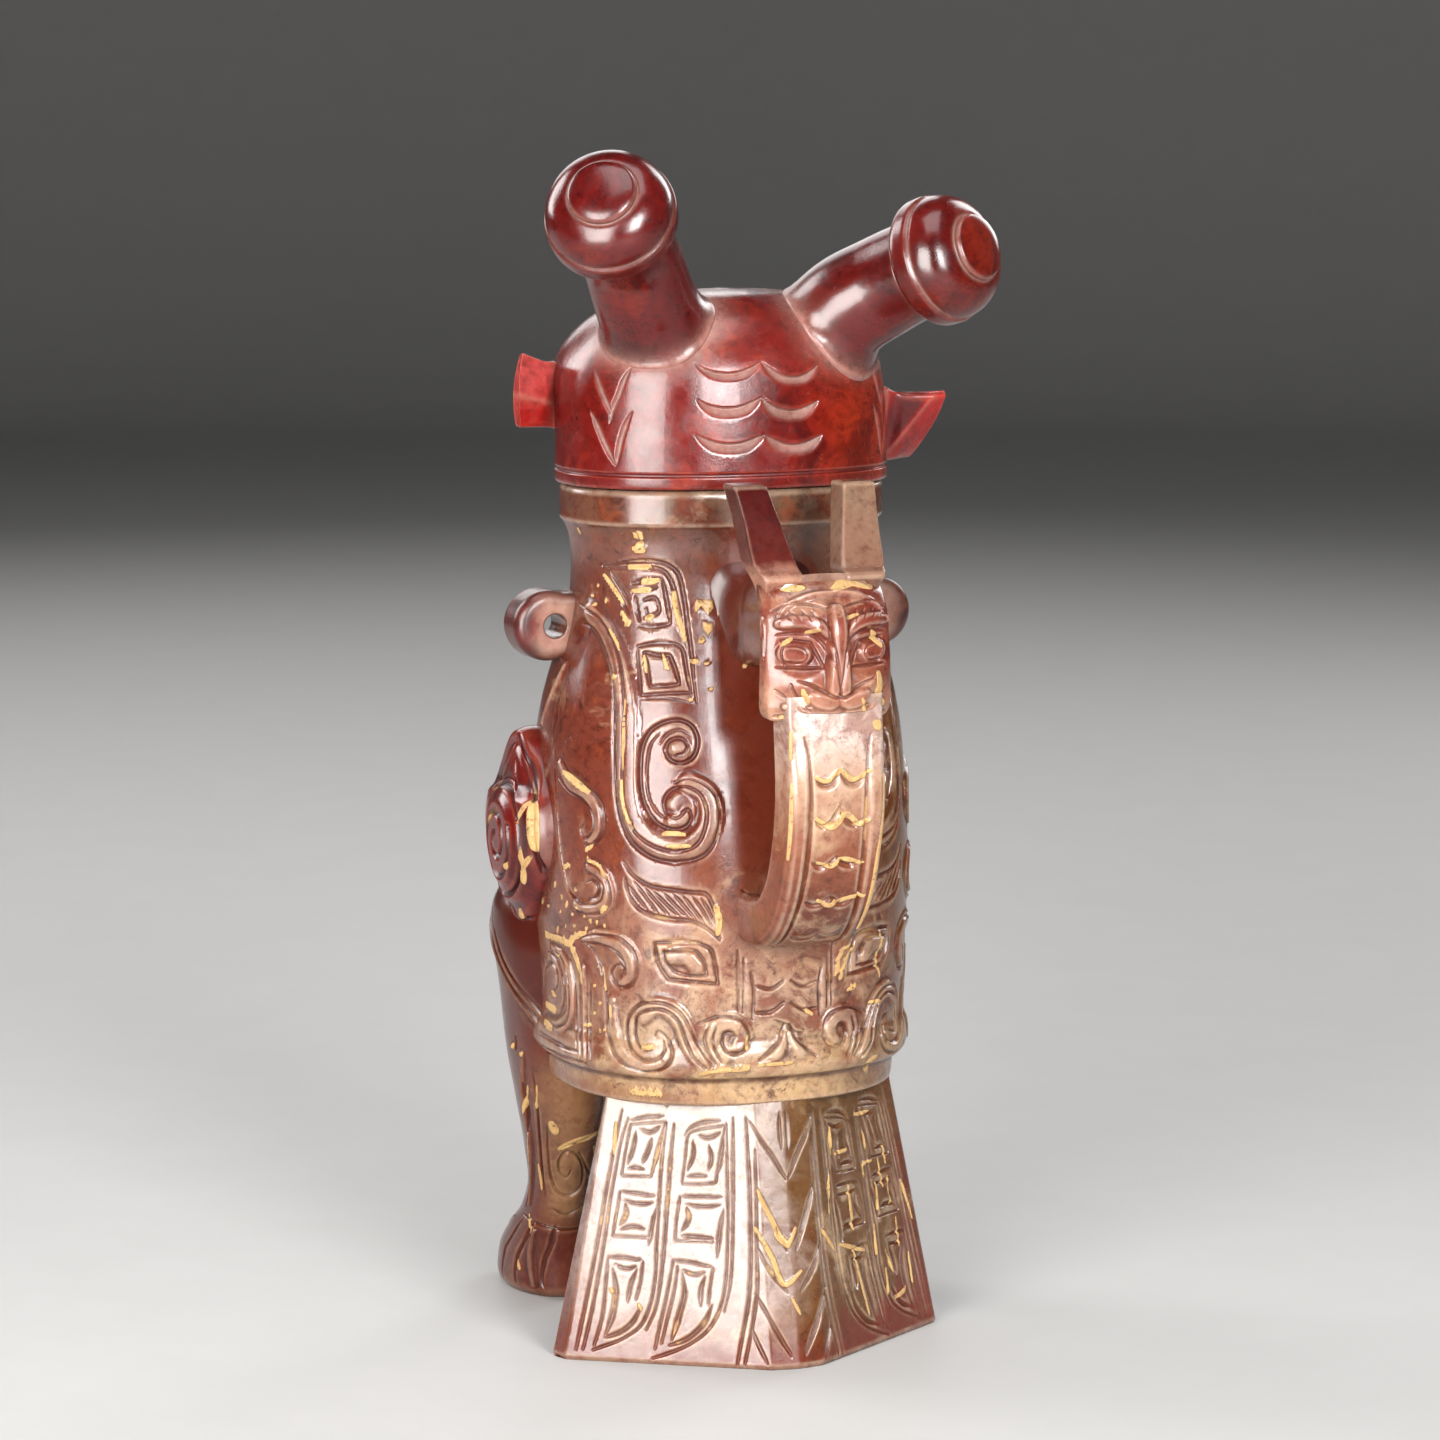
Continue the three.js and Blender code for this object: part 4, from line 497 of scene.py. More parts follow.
def plan(t, half, back, front):
    """Points of the body plan at the angles t; sizes may be columns."""
    c, s = np.cos(t), np.sin(t)
    return half * spow(c, 2 / SQUARE), np.where(s > 0, back, front) * spow(s, 2 / SQUARE)


# ---------------------------------------------------------------------- skins
class Skin:
    """A closed surface on a grid: pos[i, j], with i round the piece and j along it, seen from
    outside with i to the right and j up. The first column is repeated at the end."""

    def __init__(self, pos):
        self.pos = np.concatenate([pos, pos[:1]], 0)
        shape = self.pos.shape[:2]
        self.band, self.ridge, self.cut, self.clay, self.tone, self.edge = (np.zeros(shape) for _ in range(6))
        self.uv = None  # flat millimetres for drawing lines on the skin

    def du(self, p):
        q = p[:-1]
        d = (np.roll(q, -1, 0) - np.roll(q, 1, 0)) / 2
        return np.concatenate([d, d[:1]], 0)

    def normals(self, p):
        n = np.cross(self.du(p), np.gradient(p, axis=1))
        size = np.linalg.norm(n, axis=-1, keepdims=True)
        n = n / np.maximum(size, 1e-12)
        for j, k in ((0, 1), (-1, -2)):  # a pole has no direction round it
            bad = size[:, j, 0] < 1e-9
            if bad.any():
                n[bad, j] = n[:, k].mean(0) / max(np.linalg.norm(n[:, k].mean(0)), 1e-9)
        return n

    def unroll(self, i0):
        """Lays the skin out flat: distance round it from column i0, and distance along it."""
        p = self.pos
        a = np.r_[np.zeros((1, p.shape[1])), np.cumsum(np.linalg.norm(np.diff(p, axis=0), axis=-1), 0)]
        a = a - a[i0][None, :]
        steps = np.linalg.norm(np.diff(p, axis=1), axis=-1).mean(0)
        b = np.r_[0, np.cumsum(steps)]
        self.uv = np.stack([a, np.broadcast_to(b, a.shape)], -1)

    def at(self, i, j):
        """The flat place of the grid position (i, j), which need not be whole."""
        i = np.clip(np.asarray(i, float), 0, self.pos.shape[0] - 1.001)
        j = np.clip(np.asarray(j, float), 0, self.pos.shape[1] - 1.001)
        a, b = i.astype(int), j.astype(int)
        f, g = (i - a)[..., None], (j - b)[..., None]
        u = self.uv
        return ((u[a, b] * (1 - f) + u[a + 1, b] * f) * (1 - g)
                + (u[a, b + 1] * (1 - f) + u[a + 1, b + 1] * f) * g)

    def draw(self, kind, wl, wr, depth, taper, path, step=0.4):
        """Adds one line to the relief. path is in flat millimetres."""
        path = catmull(path, step)
        e = np.diff(path, axis=0)
        size = np.linalg.norm(e, axis=1)
        keep = size > 1e-6
        start, e, size = path[:-1][keep], e[keep], size[keep]
        if not len(e):
            return
        cum = np.r_[0, np.cumsum(size)]
        total = cum[-1]
        w = max(wl, wr)
        a, b = self.uv[..., 0], self.uv[..., 1]
        lo, hi = path.min(0) - w, path.max(0) + w
        idx = np.flatnonzero((a > lo[0]) & (a < hi[0]) & (b > lo[1]) & (b < hi[1]))
        if not len(idx):
            return
        qa, qb = a.ravel()[idx], b.ravel()[idx]
        best = np.zeros(len(idx))
        for k in range(len(e)):
            p, d, s = start[k], e[k], size[k]
            x0, x1 = min(p[0], p[0] + d[0]) - w, max(p[0], p[0] + d[0]) + w
            y0, y1 = min(p[1], p[1] + d[1]) - w, max(p[1], p[1] + d[1]) + w
            m = np.flatnonzero((qa > x0) & (qa < x1) & (qb > y0) & (qb < y1))
            if not len(m):
                continue
            dx, dy = qa[m] - p[0], qb[m] - p[1]
            f = np.clip((dx * d[0] + dy * d[1]) / (s * s), 0, 1)
            ex, ey = dx - f * d[0], dy - f * d[1]
            r = np.hypot(ex, ey)
            left = d[0] * ey - d[1] * ex > 0
            along = (cum[k] + f * s) / total
            thin = 1 - taper * (1 - np.clip(np.sin(np.pi * np.clip(along, 0, 1)) * 1.25, 0, 1) ** 0.8)
            ww = np.where(left, wl, wr) * np.maximum(thin, 0.06)
            q = np.clip(1 - r / ww, 0, 1)
            if kind == "g":
                v = (0.45 * q + 0.55 * ease(q)) * depth * np.maximum(thin, 0.1) ** 0.8
            elif kind == "r":
                v = ease(q) * depth * thin
            elif kind == "c":
                v = np.clip(q * 2.2, 0, 1) * depth
            else:
                v = (0.72 * ease(q / 0.55) + 0.28 * np.sqrt(np.clip(1 - (1 - q) ** 2, 0, 1))) * depth * thin
            best[m] = np.maximum(best[m], v)
        field = {"g": self.cut, "r": self.ridge, "b": self.band, "c": self.clay}[kind]
        field.ravel()[idx] = np.maximum(field.ravel()[idx], best)

    def carve(self, gain=1.0):
        """Moves the skin along its normals by the relief. Clay fills part of a groove."""
        self.clay = np.clip(self.clay, 0, 1)
        h = self.band + self.ridge - self.cut * (1 - 0.45 * self.clay) + 0.10 * self.clay
        h[0] = h[-1]
        self.pos = self.pos + self.normals(self.pos) * (h * gain)[..., None]
        self.pos[-1] = self.pos[0]


def mean_along(f, n, axis):
    c = np.cumsum(f, axis)
    c = np.concatenate([np.zeros_like(np.take(c, [0], axis)), c], axis)
    m = f.shape[axis] - 2 * n
    return (np.take(c, range(2 * n + 1, 2 * n + 1 + m), axis) - np.take(c, range(m), axis)) / (2 * n + 1)


def blur(f, n):
    """Mean over a few cells both ways, twice. The grid is closed round the first axis."""
    q = f[:-1]
    for _ in range(2):
        q = mean_along(np.concatenate([q[-n:], q, q[:n]], 0), n, 0)
        q = mean_along(np.concatenate([np.repeat(q[:, :1], n, 1), q, np.repeat(q[:, -1:], n, 1)], 1), n, 1)
    return np.concatenate([q, q[:1]], 0)


def blocks(p, normal, levels):
    """How far each square of 2, 4, 8 ... cells bends away from its four corners."""
    nu, nv = p.shape[0] - 1, p.shape[1] - 1
    bend = {}
    for l in range(1, levels + 1):
        s = 1 << l
        worst = [None, None]
        for which, f in ((0, p), (1, normal)):
            c00, c10 = f[0:nu:s, 0:nv:s], f[s:nu + 1:s, 0:nv:s]
            c01, c11 = f[0:nu:s, s:nv + 1:s], f[s:nu + 1:s, s:nv + 1:s]
            top = np.zeros(c00.shape[:2])
            steps = range(0, s + 1, max(1, s // 8))
            for a in steps:
                fa = a / s
                for b in steps:
                    fb = b / s
                    if a in (0, s) and b in (0, s):
                        continue
                    q = f[a:a + nu:s, b:b + nv:s]
                    est = (c00 * (1 - fa) + c10 * fa) * (1 - fb) + (c01 * (1 - fa) + c11 * fa) * fb
                    top = np.maximum(top, ((q - est) ** 2).sum(-1))
            worst[which] = np.sqrt(top)
        bend[l] = worst
    return bend


def pool(a):
    return a[0::2, 0::2] | a[1::2, 0::2] | a[0::2, 1::2] | a[1::2, 1::2]


def spread(a):
    a = a | np.roll(a, 1, 0) | np.roll(a, -1, 0)
    b = a.copy()
    b[:, 1:] |= a[:, :-1]
    b[:, :-1] |= a[:, 1:]
    return b


def squares(bend, tol, turn, levels, shape):
    """Which squares to cut in four so that the mesh follows the skin, neighbours one step apart."""
    cut = {}
    for l in range(1, levels + 1):
        far, bent = bend[l]
        cut[l] = (far > tol) | (bent > turn)
        if l > 1:
            cut[l] |= pool(cut[l - 1])
            cut[l] |= pool(spread(cut[l - 1]))
    leaves = {}
    here = np.ones((shape[0] >> levels, shape[1] >> levels), bool)
    for l in range(levels, 0, -1):
        leaves[l] = here & ~cut[l]
        here = np.repeat(np.repeat(here & cut[l], 2, 0), 2, 1)
    leaves[0] = here
    return leaves


def mesh_arrays(skin, tol=0.012, turn=0.10, limit=60000, levels=4, rect=(0, 0, 1, 1)):
    """Triangles that follow the carved skin, fine where it bends and coarse where it is smooth."""
    p = skin.pos
    nu, nv = p.shape[0] - 1, p.shape[1] - 1
    normal = skin.normals(p)
    # above 0 on ridges and corners, which are painted pale for wear and as painted highlight, and below 0 in hollows,
    # which are painted darker as painted shade
    skin.edge = np.clip(((p - blur(p, 3)) * normal).sum(-1) / 0.16, -1, 1)
    bend = blocks(p, normal, levels)
    scale = 1.0
    while True:
        leaves = squares(bend, tol * scale, turn * scale, levels, (nu, nv))
        if sum(int(v.sum()) for v in leaves.values()) * 2.25 < limit or scale > 12:
            break
        scale *= 1.22
    used = np.zeros((nu + 1, nv + 1), bool)
    place = {}
    for l, v in leaves.items():
        s = 1 << l
        i, j = np.nonzero(v)
        i, j = i * s, j * s
        place[l] = (i, j)
        for a, b in ((0, 0), (s, 0), (0, s), (s, s)):
            used[i + a, j + b] = True
    used[0] |= used[nu]
    used[nu] = used[0]
    num = lambda i, j: i * (nv + 1) + j
    tris = []
    for l, (i, j) in place.items():
        s = 1 << l
        if not len(i):
            continue
        if l == 0:
            whole = np.ones(len(i), bool)
        else:
            h = s // 2
            mids = [used[i + h, j], used[i + s, j + h], used[i + h, j + s], used[i, j + h]]
            whole = ~(mids[0] | mids[1] | mids[2] | mids[3])
        a, b = i[whole], j[whole]
        c0, c1, c2, c3 = num(a, b), num(a + s, b), num(a + s, b + s), num(a, b + s)
        tris += [np.stack([c0, c1, c2], -1), np.stack([c0, c2, c3], -1)]
        if l == 0 or whole.all():
            continue
        a, b = i[~whole], j[~whole]
        mid = num(a + h, b + h)
        ring = [num(a, b), num(a + s, b), num(a + s, b + s), num(a, b + s)]
        half = [num(a + h, b), num(a + s, b + h), num(a + h, b + s), num(a, b + h)]
        for k in range(4):
            m = mids[k][~whole]
            u, v, w = ring[k], ring[(k + 1) % 4], half[k]
            tris.append(np.stack([mid, u, v], -1)[~m])
            tris.append(np.stack([mid, u, w], -1)[m])
            tris.append(np.stack([mid, w, v], -1)[m])
    tris = np.concatenate(tris)
    flat = p.reshape(-1, 3)
    ids, tris_v = np.unique(tris, return_inverse=True)
    tris_v = tris_v.reshape(-1, 3)
    co = flat[ids]
    _, first, same = np.unique(np.round(co, 5), axis=0, return_index=True, return_inverse=True)
    same = same.reshape(-1)
    tris_m = same[tris_v]
    good = (tris_m[:, 0] != tris_m[:, 1]) & (tris_m[:, 1] != tris_m[:, 2]) & (tris_m[:, 0] != tris_m[:, 2])
    tris_m, corner = tris_m[good], tris[good]
    nsum = np.zeros((len(first), 3))
    np.add.at(nsum, same, normal.reshape(-1, 3)[ids])
    verts = co[first]
    face = np.cross(verts[tris_m[:, 1]] - verts[tris_m[:, 0]], verts[tris_m[:, 2]] - verts[tris_m[:, 0]])
    weak = np.linalg.norm(nsum, axis=1) < 0.2
    if weak.any():
        acc = np.zeros_like(nsum)
        for k in range(3):
            np.add.at(acc, tris_m[:, k], face)
        nsum[weak] = acc[weak]
    nsum /= np.maximum(np.linalg.norm(nsum, axis=1, keepdims=True), 1e-12)
    u = (corner // (nv + 1)) / nu
    v = (corner % (nv + 1)) / nv
    x0, y0, x1, y1 = rect
    uv = np.stack([x0 + (x1 - x0) * (0.004 + 0.992 * u), y0 + (y1 - y0) * (0.004 + 0.992 * v)], -1)
    pick = ids[first]
    fields = {k: getattr(skin, k).ravel()[pick] for k in ("cut", "clay", "tone", "edge")}
    return dict(co=verts, tri=tris_m, n=nsum, uv=uv.reshape(-1, 2), f=fields)


PIECES = {}


def make(name, parts, material, body, nodes, mirror=False):
    """One object from one or more closed skins. It rides on a body and stands for CAD nodes."""
    if isinstance(parts, dict):
        parts = [parts]
    co = np.concatenate([q["co"] for q in parts])
    n = np.concatenate([q["n"] for q in parts])
    base = np.cumsum([0] + [len(q["co"]) for q in parts])
    tri = np.concatenate([q["tri"] + base[k] for k, q in enumerate(parts)])
    uv = np.concatenate([q["uv"] for q in parts])
    if mirror:
        co = co * [-1, 1, 1]
        n = n * [-1, 1, 1]
        tri = tri[:, ::-1]
        uv = uv.reshape(-1, 3, 2)[:, ::-1].reshape(-1, 2)
    me = bpy.data.meshes.new(name)
    me.vertices.add(len(co))
    me.vertices.foreach_set("co", (co * MM).astype(np.float32).ravel())
    me.loops.add(tri.size)
    me.loops.foreach_set("vertex_index", tri.astype(np.int32).ravel())
    me.polygons.add(len(tri))
    me.polygons.foreach_set("loop_start", np.arange(0, tri.size, 3, dtype=np.int32))
    me.polygons.foreach_set("use_smooth", np.ones(len(tri), bool))
    layer = me.uv_layers.new(name="OFBake")
    layer.data.foreach_set("uv", uv.astype(np.float32).ravel())
    for key in ("cut", "clay", "tone", "edge"):
        at = me.attributes.new(key, "FLOAT", "POINT")
        at.data.foreach_set("value", np.concatenate([q["f"][key] for q in parts]).astype(np.float32))
    me.update()
    me.validate()
    me.normals_split_custom_set_from_vertices(n.astype(np.float32))
    ob = bpy.data.objects.new(name, me)
    bpy.context.scene.collection.objects.link(ob)
    me.materials.append(material)
    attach(ob, body)
    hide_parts(*nodes)
    PIECES[name] = len(tri)
    return ob


def soften(ring, times=1):
    """Rounds the corners of closed rings of points, along the first axis."""
    for _ in range(times):
        ring = (np.roll(ring, 1, 0) + 2 * ring + np.roll(ring, -1, 0)) / 4
    return ring


def side_points(corners, counts):
    """A closed outline through the corners with a set number of points on each side."""
    out = []
    for k, n in enumerate(counts):
        a, b = corners[k], corners[(k + 1) % len(corners)]
        out += [a + (b - a) * f for f in np.arange(n) / n]
    return np.array(out)


def poles(pos, low, high, rows=16):
    """Closes both ends of a skin on a point."""
    k = np.linspace(0, 1, rows, endpoint=False)
    a = np.asarray(low) + (pos[:, :1] - low) * k[None, :, None]
    b = np.asarray(high) + (pos[:, -1:] - high) * k[::-1][None, :, None]
    return np.concatenate([a, pos, b], 1)


def zips(pos, fold, rows=8):
    """Closes both ends of a skin on a line, by folding each end outline onto itself: the
    point i meets the point fold - i."""
    n = pos.shape[0]
    other = (fold - np.arange(n)) % n
    k = np.linspace(0, 1, rows, endpoint=False)[None, :, None]
    mid0 = (pos[:, :1] + pos[other, :1]) / 2
    mid1 = (pos[:, -1:] + pos[other, -1:]) / 2
    return np.concatenate([mid0 + (pos[:, :1] - mid0) * k, pos, mid1 + (pos[:, -1:] - mid1) * k[:, ::-1]], 1)


def into_body(p, deep):
    """Keeps points from going deeper than that under the outer skin of the body."""
    z = np.clip(p[..., 2], 50.0, 180.2)
    a = np.interp(z, BODY[:, 0], BODY[:, 1]) - deep
    b = np.where(p[..., 1] > 0, np.interp(z, BODY[:, 0], BODY[:, 2]), np.interp(z, BODY[:, 0], BODY[:, 3])) - deep
    f = (np.abs(p[..., 0]) / a) ** SQUARE + (np.abs(p[..., 1]) / b) ** SQUARE
    k = np.where((f < 1) & (p[..., 2] > 58), np.maximum(f, 1e-3) ** (-1 / SQUARE), 1.0)
    q = p.copy()
    q[..., 0] *= k
    q[..., 1] *= k
    return q


# ------------------------------------------------------------------- finishes
def srgb(rgb):
    f = [c / 255 for c in rgb]
    return tuple(c / 12.92 if c <= 0.04045 else ((c + 0.055) / 1.055) ** 2.4 for c in f) + (1.0,)


class Graph:
    """A small helper for node materials."""

    def __init__(self, name):
        self.mat = bpy.data.materials.new(name)
        self.mat.use_nodes = True
        self.tree = self.mat.node_tree
        self.tree.nodes.clear()

    def node(self, kind, **kw):
        n = self.tree.nodes.new(kind)
        for k, v in kw.items():
            setattr(n, k, v)
        return n

    def put(self, socket, value):
        if isinstance(value, bpy.types.NodeSocket):
            self.tree.links.new(value, socket)
        else:
            socket.default_value = value

    def noise(self, vec, scale, detail=3.0, rough=0.55, distort=0.0):
        n = self.node("ShaderNodeTexNoise")
        self.put(n.inputs["Vector"], vec)
        n.inputs["Scale"].default_value = scale
        n.inputs["Detail"].default_value = detail
        n.inputs["Roughness"].default_value = rough
        n.inputs["Distortion"].default_value = distort
        return n.outputs["Fac"]

    def math(self, op, a, b=0.0, clamp=False):
        n = self.node("ShaderNodeMath", operation=op, use_clamp=clamp)
        self.put(n.inputs[0], a)
        self.put(n.inputs[1], b)
        return n.outputs[0]

    def span(self, v, a, b, lo=0.0, hi=1.0, kind="SMOOTHSTEP"):
        n = self.node("ShaderNodeMapRange", interpolation_type=kind)
        for k, x in zip(("Value", "From Min", "From Max", "To Min", "To Max"), (v, a, b, lo, hi)):
            self.put(n.inputs[k], x)
        return n.outputs[0]

    def mix(self, fac, a, b, blend="MIX"):
        n = self.node("ShaderNodeMix", data_type="RGBA", blend_type=blend)
        self.put(n.inputs[0], fac)
        self.put(n.inputs[6], a)
        self.put(n.inputs[7], b)
        return n.outputs[2]

    def ramp(self, fac, stops, solid=False):
        n = self.node("ShaderNodeValToRGB")
        e = n.color_ramp.elements
        while len(e) > 1:
            e.remove(e[-1])
        for k, (at, rgb) in enumerate(stops):
            x = e[0] if k == 0 else e.new(at)
            x.position = at
            x.color = stone(rgb) if solid else srgb(rgb)
        self.put(n.inputs[0], fac)
        return n.outputs[0]

    def attr(self, name):
        return self.node("ShaderNodeAttribute", attribute_name=name).outputs["Fac"]


LIGHT = 0.47  # the stone itself is darker than it looks in strong studio light
CLAY, CLAY_DARK = (250, 208, 142), (222, 168, 100)


def stone(rgb):
    return tuple(c * LIGHT for c in srgb(rgb)[:3]) + (1.0,)


def jade(name, stops, lean=(), mottle=(), cut=(64, 24, 16), cut_amount=0.8, worn_and_highlight=(226, 192, 164), worn_and_highlight_amount=0.32,
         pale=(200, 164, 148), rust_and_shade=(84, 30, 20), rough=0.15, wobble=0.026, clay_in_cuts=0.0, glow=0.20, fleck=0.55, gloss=1.46):
    """Polished old jade. stops: colour by height in mm. lean: (axis, from, to, colour, share) washes of
    colour across the piece. mottle: (colour, grain per metre, from, to, share) clouds."""
    g = Graph(name)
    at = g.node("ShaderNodeTexCoord").outputs["Object"]
    sep = g.node("ShaderNodeSeparateXYZ")
    g.put(sep.inputs[0], at)
    axis = {"x": sep.outputs[0], "y": sep.outputs[1], "z": sep.outputs[2]}
    # the clouds follow a bent pattern, as they do in stone
    bend = g.node("ShaderNodeTexNoise")
    g.put(bend.inputs["Vector"], at)
    bend.inputs["Scale"].default_value = 42
    bend.inputs["Detail"].default_value = 3
    less = g.node("ShaderNodeVectorMath", operation="SUBTRACT")
    g.put(less.inputs[0], bend.outputs["Color"])
    less.inputs[1].default_value = (0.5, 0.5, 0.5)
    flow = g.node("ShaderNodeVectorMath", operation="MULTIPLY_ADD")
    g.put(flow.inputs[0], less.outputs[0])
    flow.inputs[1].default_value = (0.034, 0.034, 0.034)
    g.put(flow.inputs[2], at)
    flow = flow.outputs[0]
    drift = g.math("MULTIPLY", g.math("SUBTRACT", g.noise(flow, 40, 5, 0.6), 0.5), wobble * 2)
    z0, z1 = stops[0][0] * MM, stops[-1][0] * MM
    col = g.ramp(g.span(g.math("ADD", axis["z"], drift), z0, z1, kind="LINEAR"),
                 [((z * MM - z0) / (z1 - z0), c) for z, c in stops], True)
    drift2 = g.math("MULTIPLY", g.math("SUBTRACT", g.noise(flow, 75, 6, 0.64), 0.5), 0.034)
    for ax, a, b, rgb, share in lean:
        f = g.math("MULTIPLY", g.span(g.math("ADD", axis[ax], drift2), a * MM, b * MM), share)
        col = g.mix(f, col, stone(rgb))
    for rgb, grain, lo, hi, share in mottle:
        f = g.math("MULTIPLY", g.span(g.noise(flow, grain, 7, 0.66), lo, hi), share)
        col = g.mix(f, col, stone(rgb))
    # crystal grain, and rust that has soaked in along the grain
    mid = g.noise(at, 480, 6, 0.72)
    col = g.mix(1.0, col, g.ramp(mid, [(0.30, (186, 176, 172)), (0.47, (240, 236, 234)), (0.66, (255, 255, 255))]), "MULTIPLY")
    soak = g.math("MULTIPLY", g.span(g.noise(flow, 80, 4, 0.6), 0.46, 0.62), g.span(g.noise(at, 1150, 5, 0.74), 0.50, 0.62))
    col = g.mix(g.math("MULTIPLY", soak, fleck), col, stone(rust_and_shade))
    cut_at, clay_at, tone_at, edge_at = g.attr("cut"), g.attr("clay"), g.attr("tone"), g.attr("edge")
    patchy = g.span(g.noise(at, 260, 5, 0.66), 0.30, 0.62, 0.35, 1.0)
    # tone below 0 turns to the rust colour: rust and darker stone on some pieces, painted shade behind the handle and
    # on the handle head and its bridge
    f = g.math("MULTIPLY", g.math("MULTIPLY", g.math("MULTIPLY", tone_at, -1.0, True), g.span(mid, 0.25, 0.6, 0.7, 1.0)), 1.0)
    col = g.mix(f, col, stone(rust_and_shade))
    # grooves and hollows turn to the cut colour: partly rust held in the carving, partly painted shade in the recesses
    hollow = g.math("MAXIMUM", g.span(cut_at, 0.05, 0.60), g.span(edge_at, -0.06, -0.80))
    col = g.mix(g.math("MULTIPLY", g.math("MULTIPLY", hollow, cut_amount), patchy), col, stone(cut))
    # ridges and corners turn pale: partly wear, partly a painted highlight along the crests
    rubbed_and_highlight = g.math("MULTIPLY", g.math("MULTIPLY", g.span(edge_at, 0.20, 0.95), worn_and_highlight_amount), patchy)
    col = g.mix(rubbed_and_highlight, col, stone(worn_and_highlight))
    frost = g.math("MULTIPLY", g.math("MAXIMUM", tone_at, 0.0), g.span(g.noise(at, 520, 5, 0.7), 0.25, 0.62, 0.45, 1.0))
    col = g.mix(frost, col, stone(pale))
    # old earth left in the carving
    patch = g.span(g.noise(at, 105, 5, 0.62, 0.5), 0.58, 0.68)
    held = g.math("MULTIPLY", g.math("MULTIPLY", g.span(cut_at, 0.16, 0.42), patch), clay_in_cuts)
    crumb = g.span(g.noise(at, 800, 5, 0.7), 0.30, 0.46)
    clay = g.math("MULTIPLY", g.math("MAXIMUM", g.span(clay_at, 0.22, 0.5), held), crumb, True)
    earth = g.mix(g.noise(at, 1500, 3, 0.6), stone(CLAY), stone(CLAY_DARK))
    col = g.mix(clay, col, earth)
    # polish: hand rubbed, so it wanders, with fine pits; dull in the hollows and on the earth
    r = g.span(g.noise(at, 150, 6, 0.66), 0.3, 0.72, rough * 0.75, rough * 1.7)
    r = g.math("ADD", r, g.math("MULTIPLY", hollow, 0.16))
    r = g.math("ADD", r, g.math("MULTIPLY", frost, 0.30))
    r = g.math("MAXIMUM", r, g.math("MULTIPLY", clay, 0.85), True)
    fine = g.math("MULTIPLY", g.noise(at, 150, 2, 0.5), 0.13)
    fine = g.math("ADD", fine, g.math("MULTIPLY", mid, 0.045))
    fine = g.math("ADD", fine, g.math("MULTIPLY", g.noise(at, 2400, 3, 0.7), 0.026))
    fine = g.math("ADD", fine, g.math("MULTIPLY", clay, g.math("MULTIPLY", g.noise(at, 1300, 4, 0.7), 0.6)))
    bump = g.node("ShaderNodeBump")
    bump.inputs["Strength"].default_value = 0.8
    bump.inputs["Distance"].default_value = 0.0010
    g.put(bump.inputs["Height"], fine)
    p = g.node("ShaderNodeBsdfPrincipled")
    g.put(p.inputs["Base Color"], col)
    g.put(p.inputs["Roughness"], r)
    g.put(p.inputs["Normal"], bump.outputs[0])
    p.inputs["IOR"].default_value = gloss
    p.inputs["Subsurface Weight"].default_value = glow
    p.inputs["Subsurface Radius"].default_value = (1.0, 0.38, 0.22)
    p.inputs["Subsurface Scale"].default_value = 0.0028
    p.inputs["Coat Weight"].default_value = 0.14
    p.inputs["Coat Roughness"].default_value = 0.05
    out = g.node("ShaderNodeOutputMaterial")
    g.put(out.inputs[0], p.outputs[0])
    return g.mat


RUST, DARK = (112, 38, 22), (66, 20, 14)
# the stops from 64 to 88 mm are lightened partly as a painted sheen on the lower body; the lean towards -x is olive
# stone, darkened also as painted shade on the side turned from the key light
BODY_JADE = jade(
    "body_jade",
    [(50, (214, 174, 124)), (56, (222, 184, 138)), (64, (202, 168, 134)), (76, (196, 160, 132)), (88, (174, 124, 98)),
     (102, (146, 86, 66)), (120, (132, 68, 54)), (142, (122, 66, 54)), (158, (126, 80, 68)), (169, (124, 82, 70)),
     (174, (118, 84, 64)), (180, (126, 96, 74))],
    lean=[("x", -2, -34, (108, 68, 26), 0.80), ("x", 22, 38, (124, 50, 30), 0.6)],
    mottle=[(RUST, 58, 0.50, 0.60, 0.72), ((220, 180, 142), 50, 0.55, 0.66, 0.55), (DARK, 105, 0.56, 0.66, 0.55),
            ((158, 78, 44), 230, 0.50, 0.64, 0.45), ((72, 24, 16), 420, 0.54, 0.68, 0.5)],
    cut=(84, 30, 17), cut_amount=0.85, worn_and_highlight=(232, 200, 172), rust_and_shade=(124, 46, 26), rough=0.17, clay_in_cuts=0.5)
LEG_JADE = jade(
    "leg_jade",
    [(0, (124, 60, 44)), (14, (126, 58, 40)), (24, (118, 50, 30)), (48, (128, 62, 36)), (64, (108, 38, 26)), (94, (98, 30, 26))],
    mottle=[((98, 30, 20), 70, 0.48, 0.60, 0.75), ((196, 150, 100), 60, 0.55, 0.66, 0.5), (DARK, 120, 0.56, 0.68, 0.5)],
    cut=(72, 26, 15), pale=(190, 144, 98), worn_and_highlight=(196, 150, 116), clay_in_cuts=0.7, gloss=1.38)
LUG_JADE = jade(
    "lug_jade", [(140, (128, 40, 34)), (150, (122, 30, 26)), (160, (134, 52, 44))],
    lean=[("x", 41, 36, (150, 104, 84), 0.6)],
    mottle=[((172, 104, 84), 80, 0.50, 0.66, 0.5), (DARK, 120, 0.54, 0.68, 0.5)], pale=(192, 146, 124))
COIL_JADE = jade(
    "coil_jade", [(84, (110, 26, 22)), (105, (118, 22, 18)), (128, (122, 30, 24))],
    mottle=[((58, 10, 10), 70, 0.46, 0.60, 0.7), ((176, 50, 32), 64, 0.55, 0.68, 0.5)],
    cut=(56, 14, 10), worn_and_highlight=(176, 84, 66), pale=(136, 92, 82), clay_in_cuts=0.9, gloss=1.42)
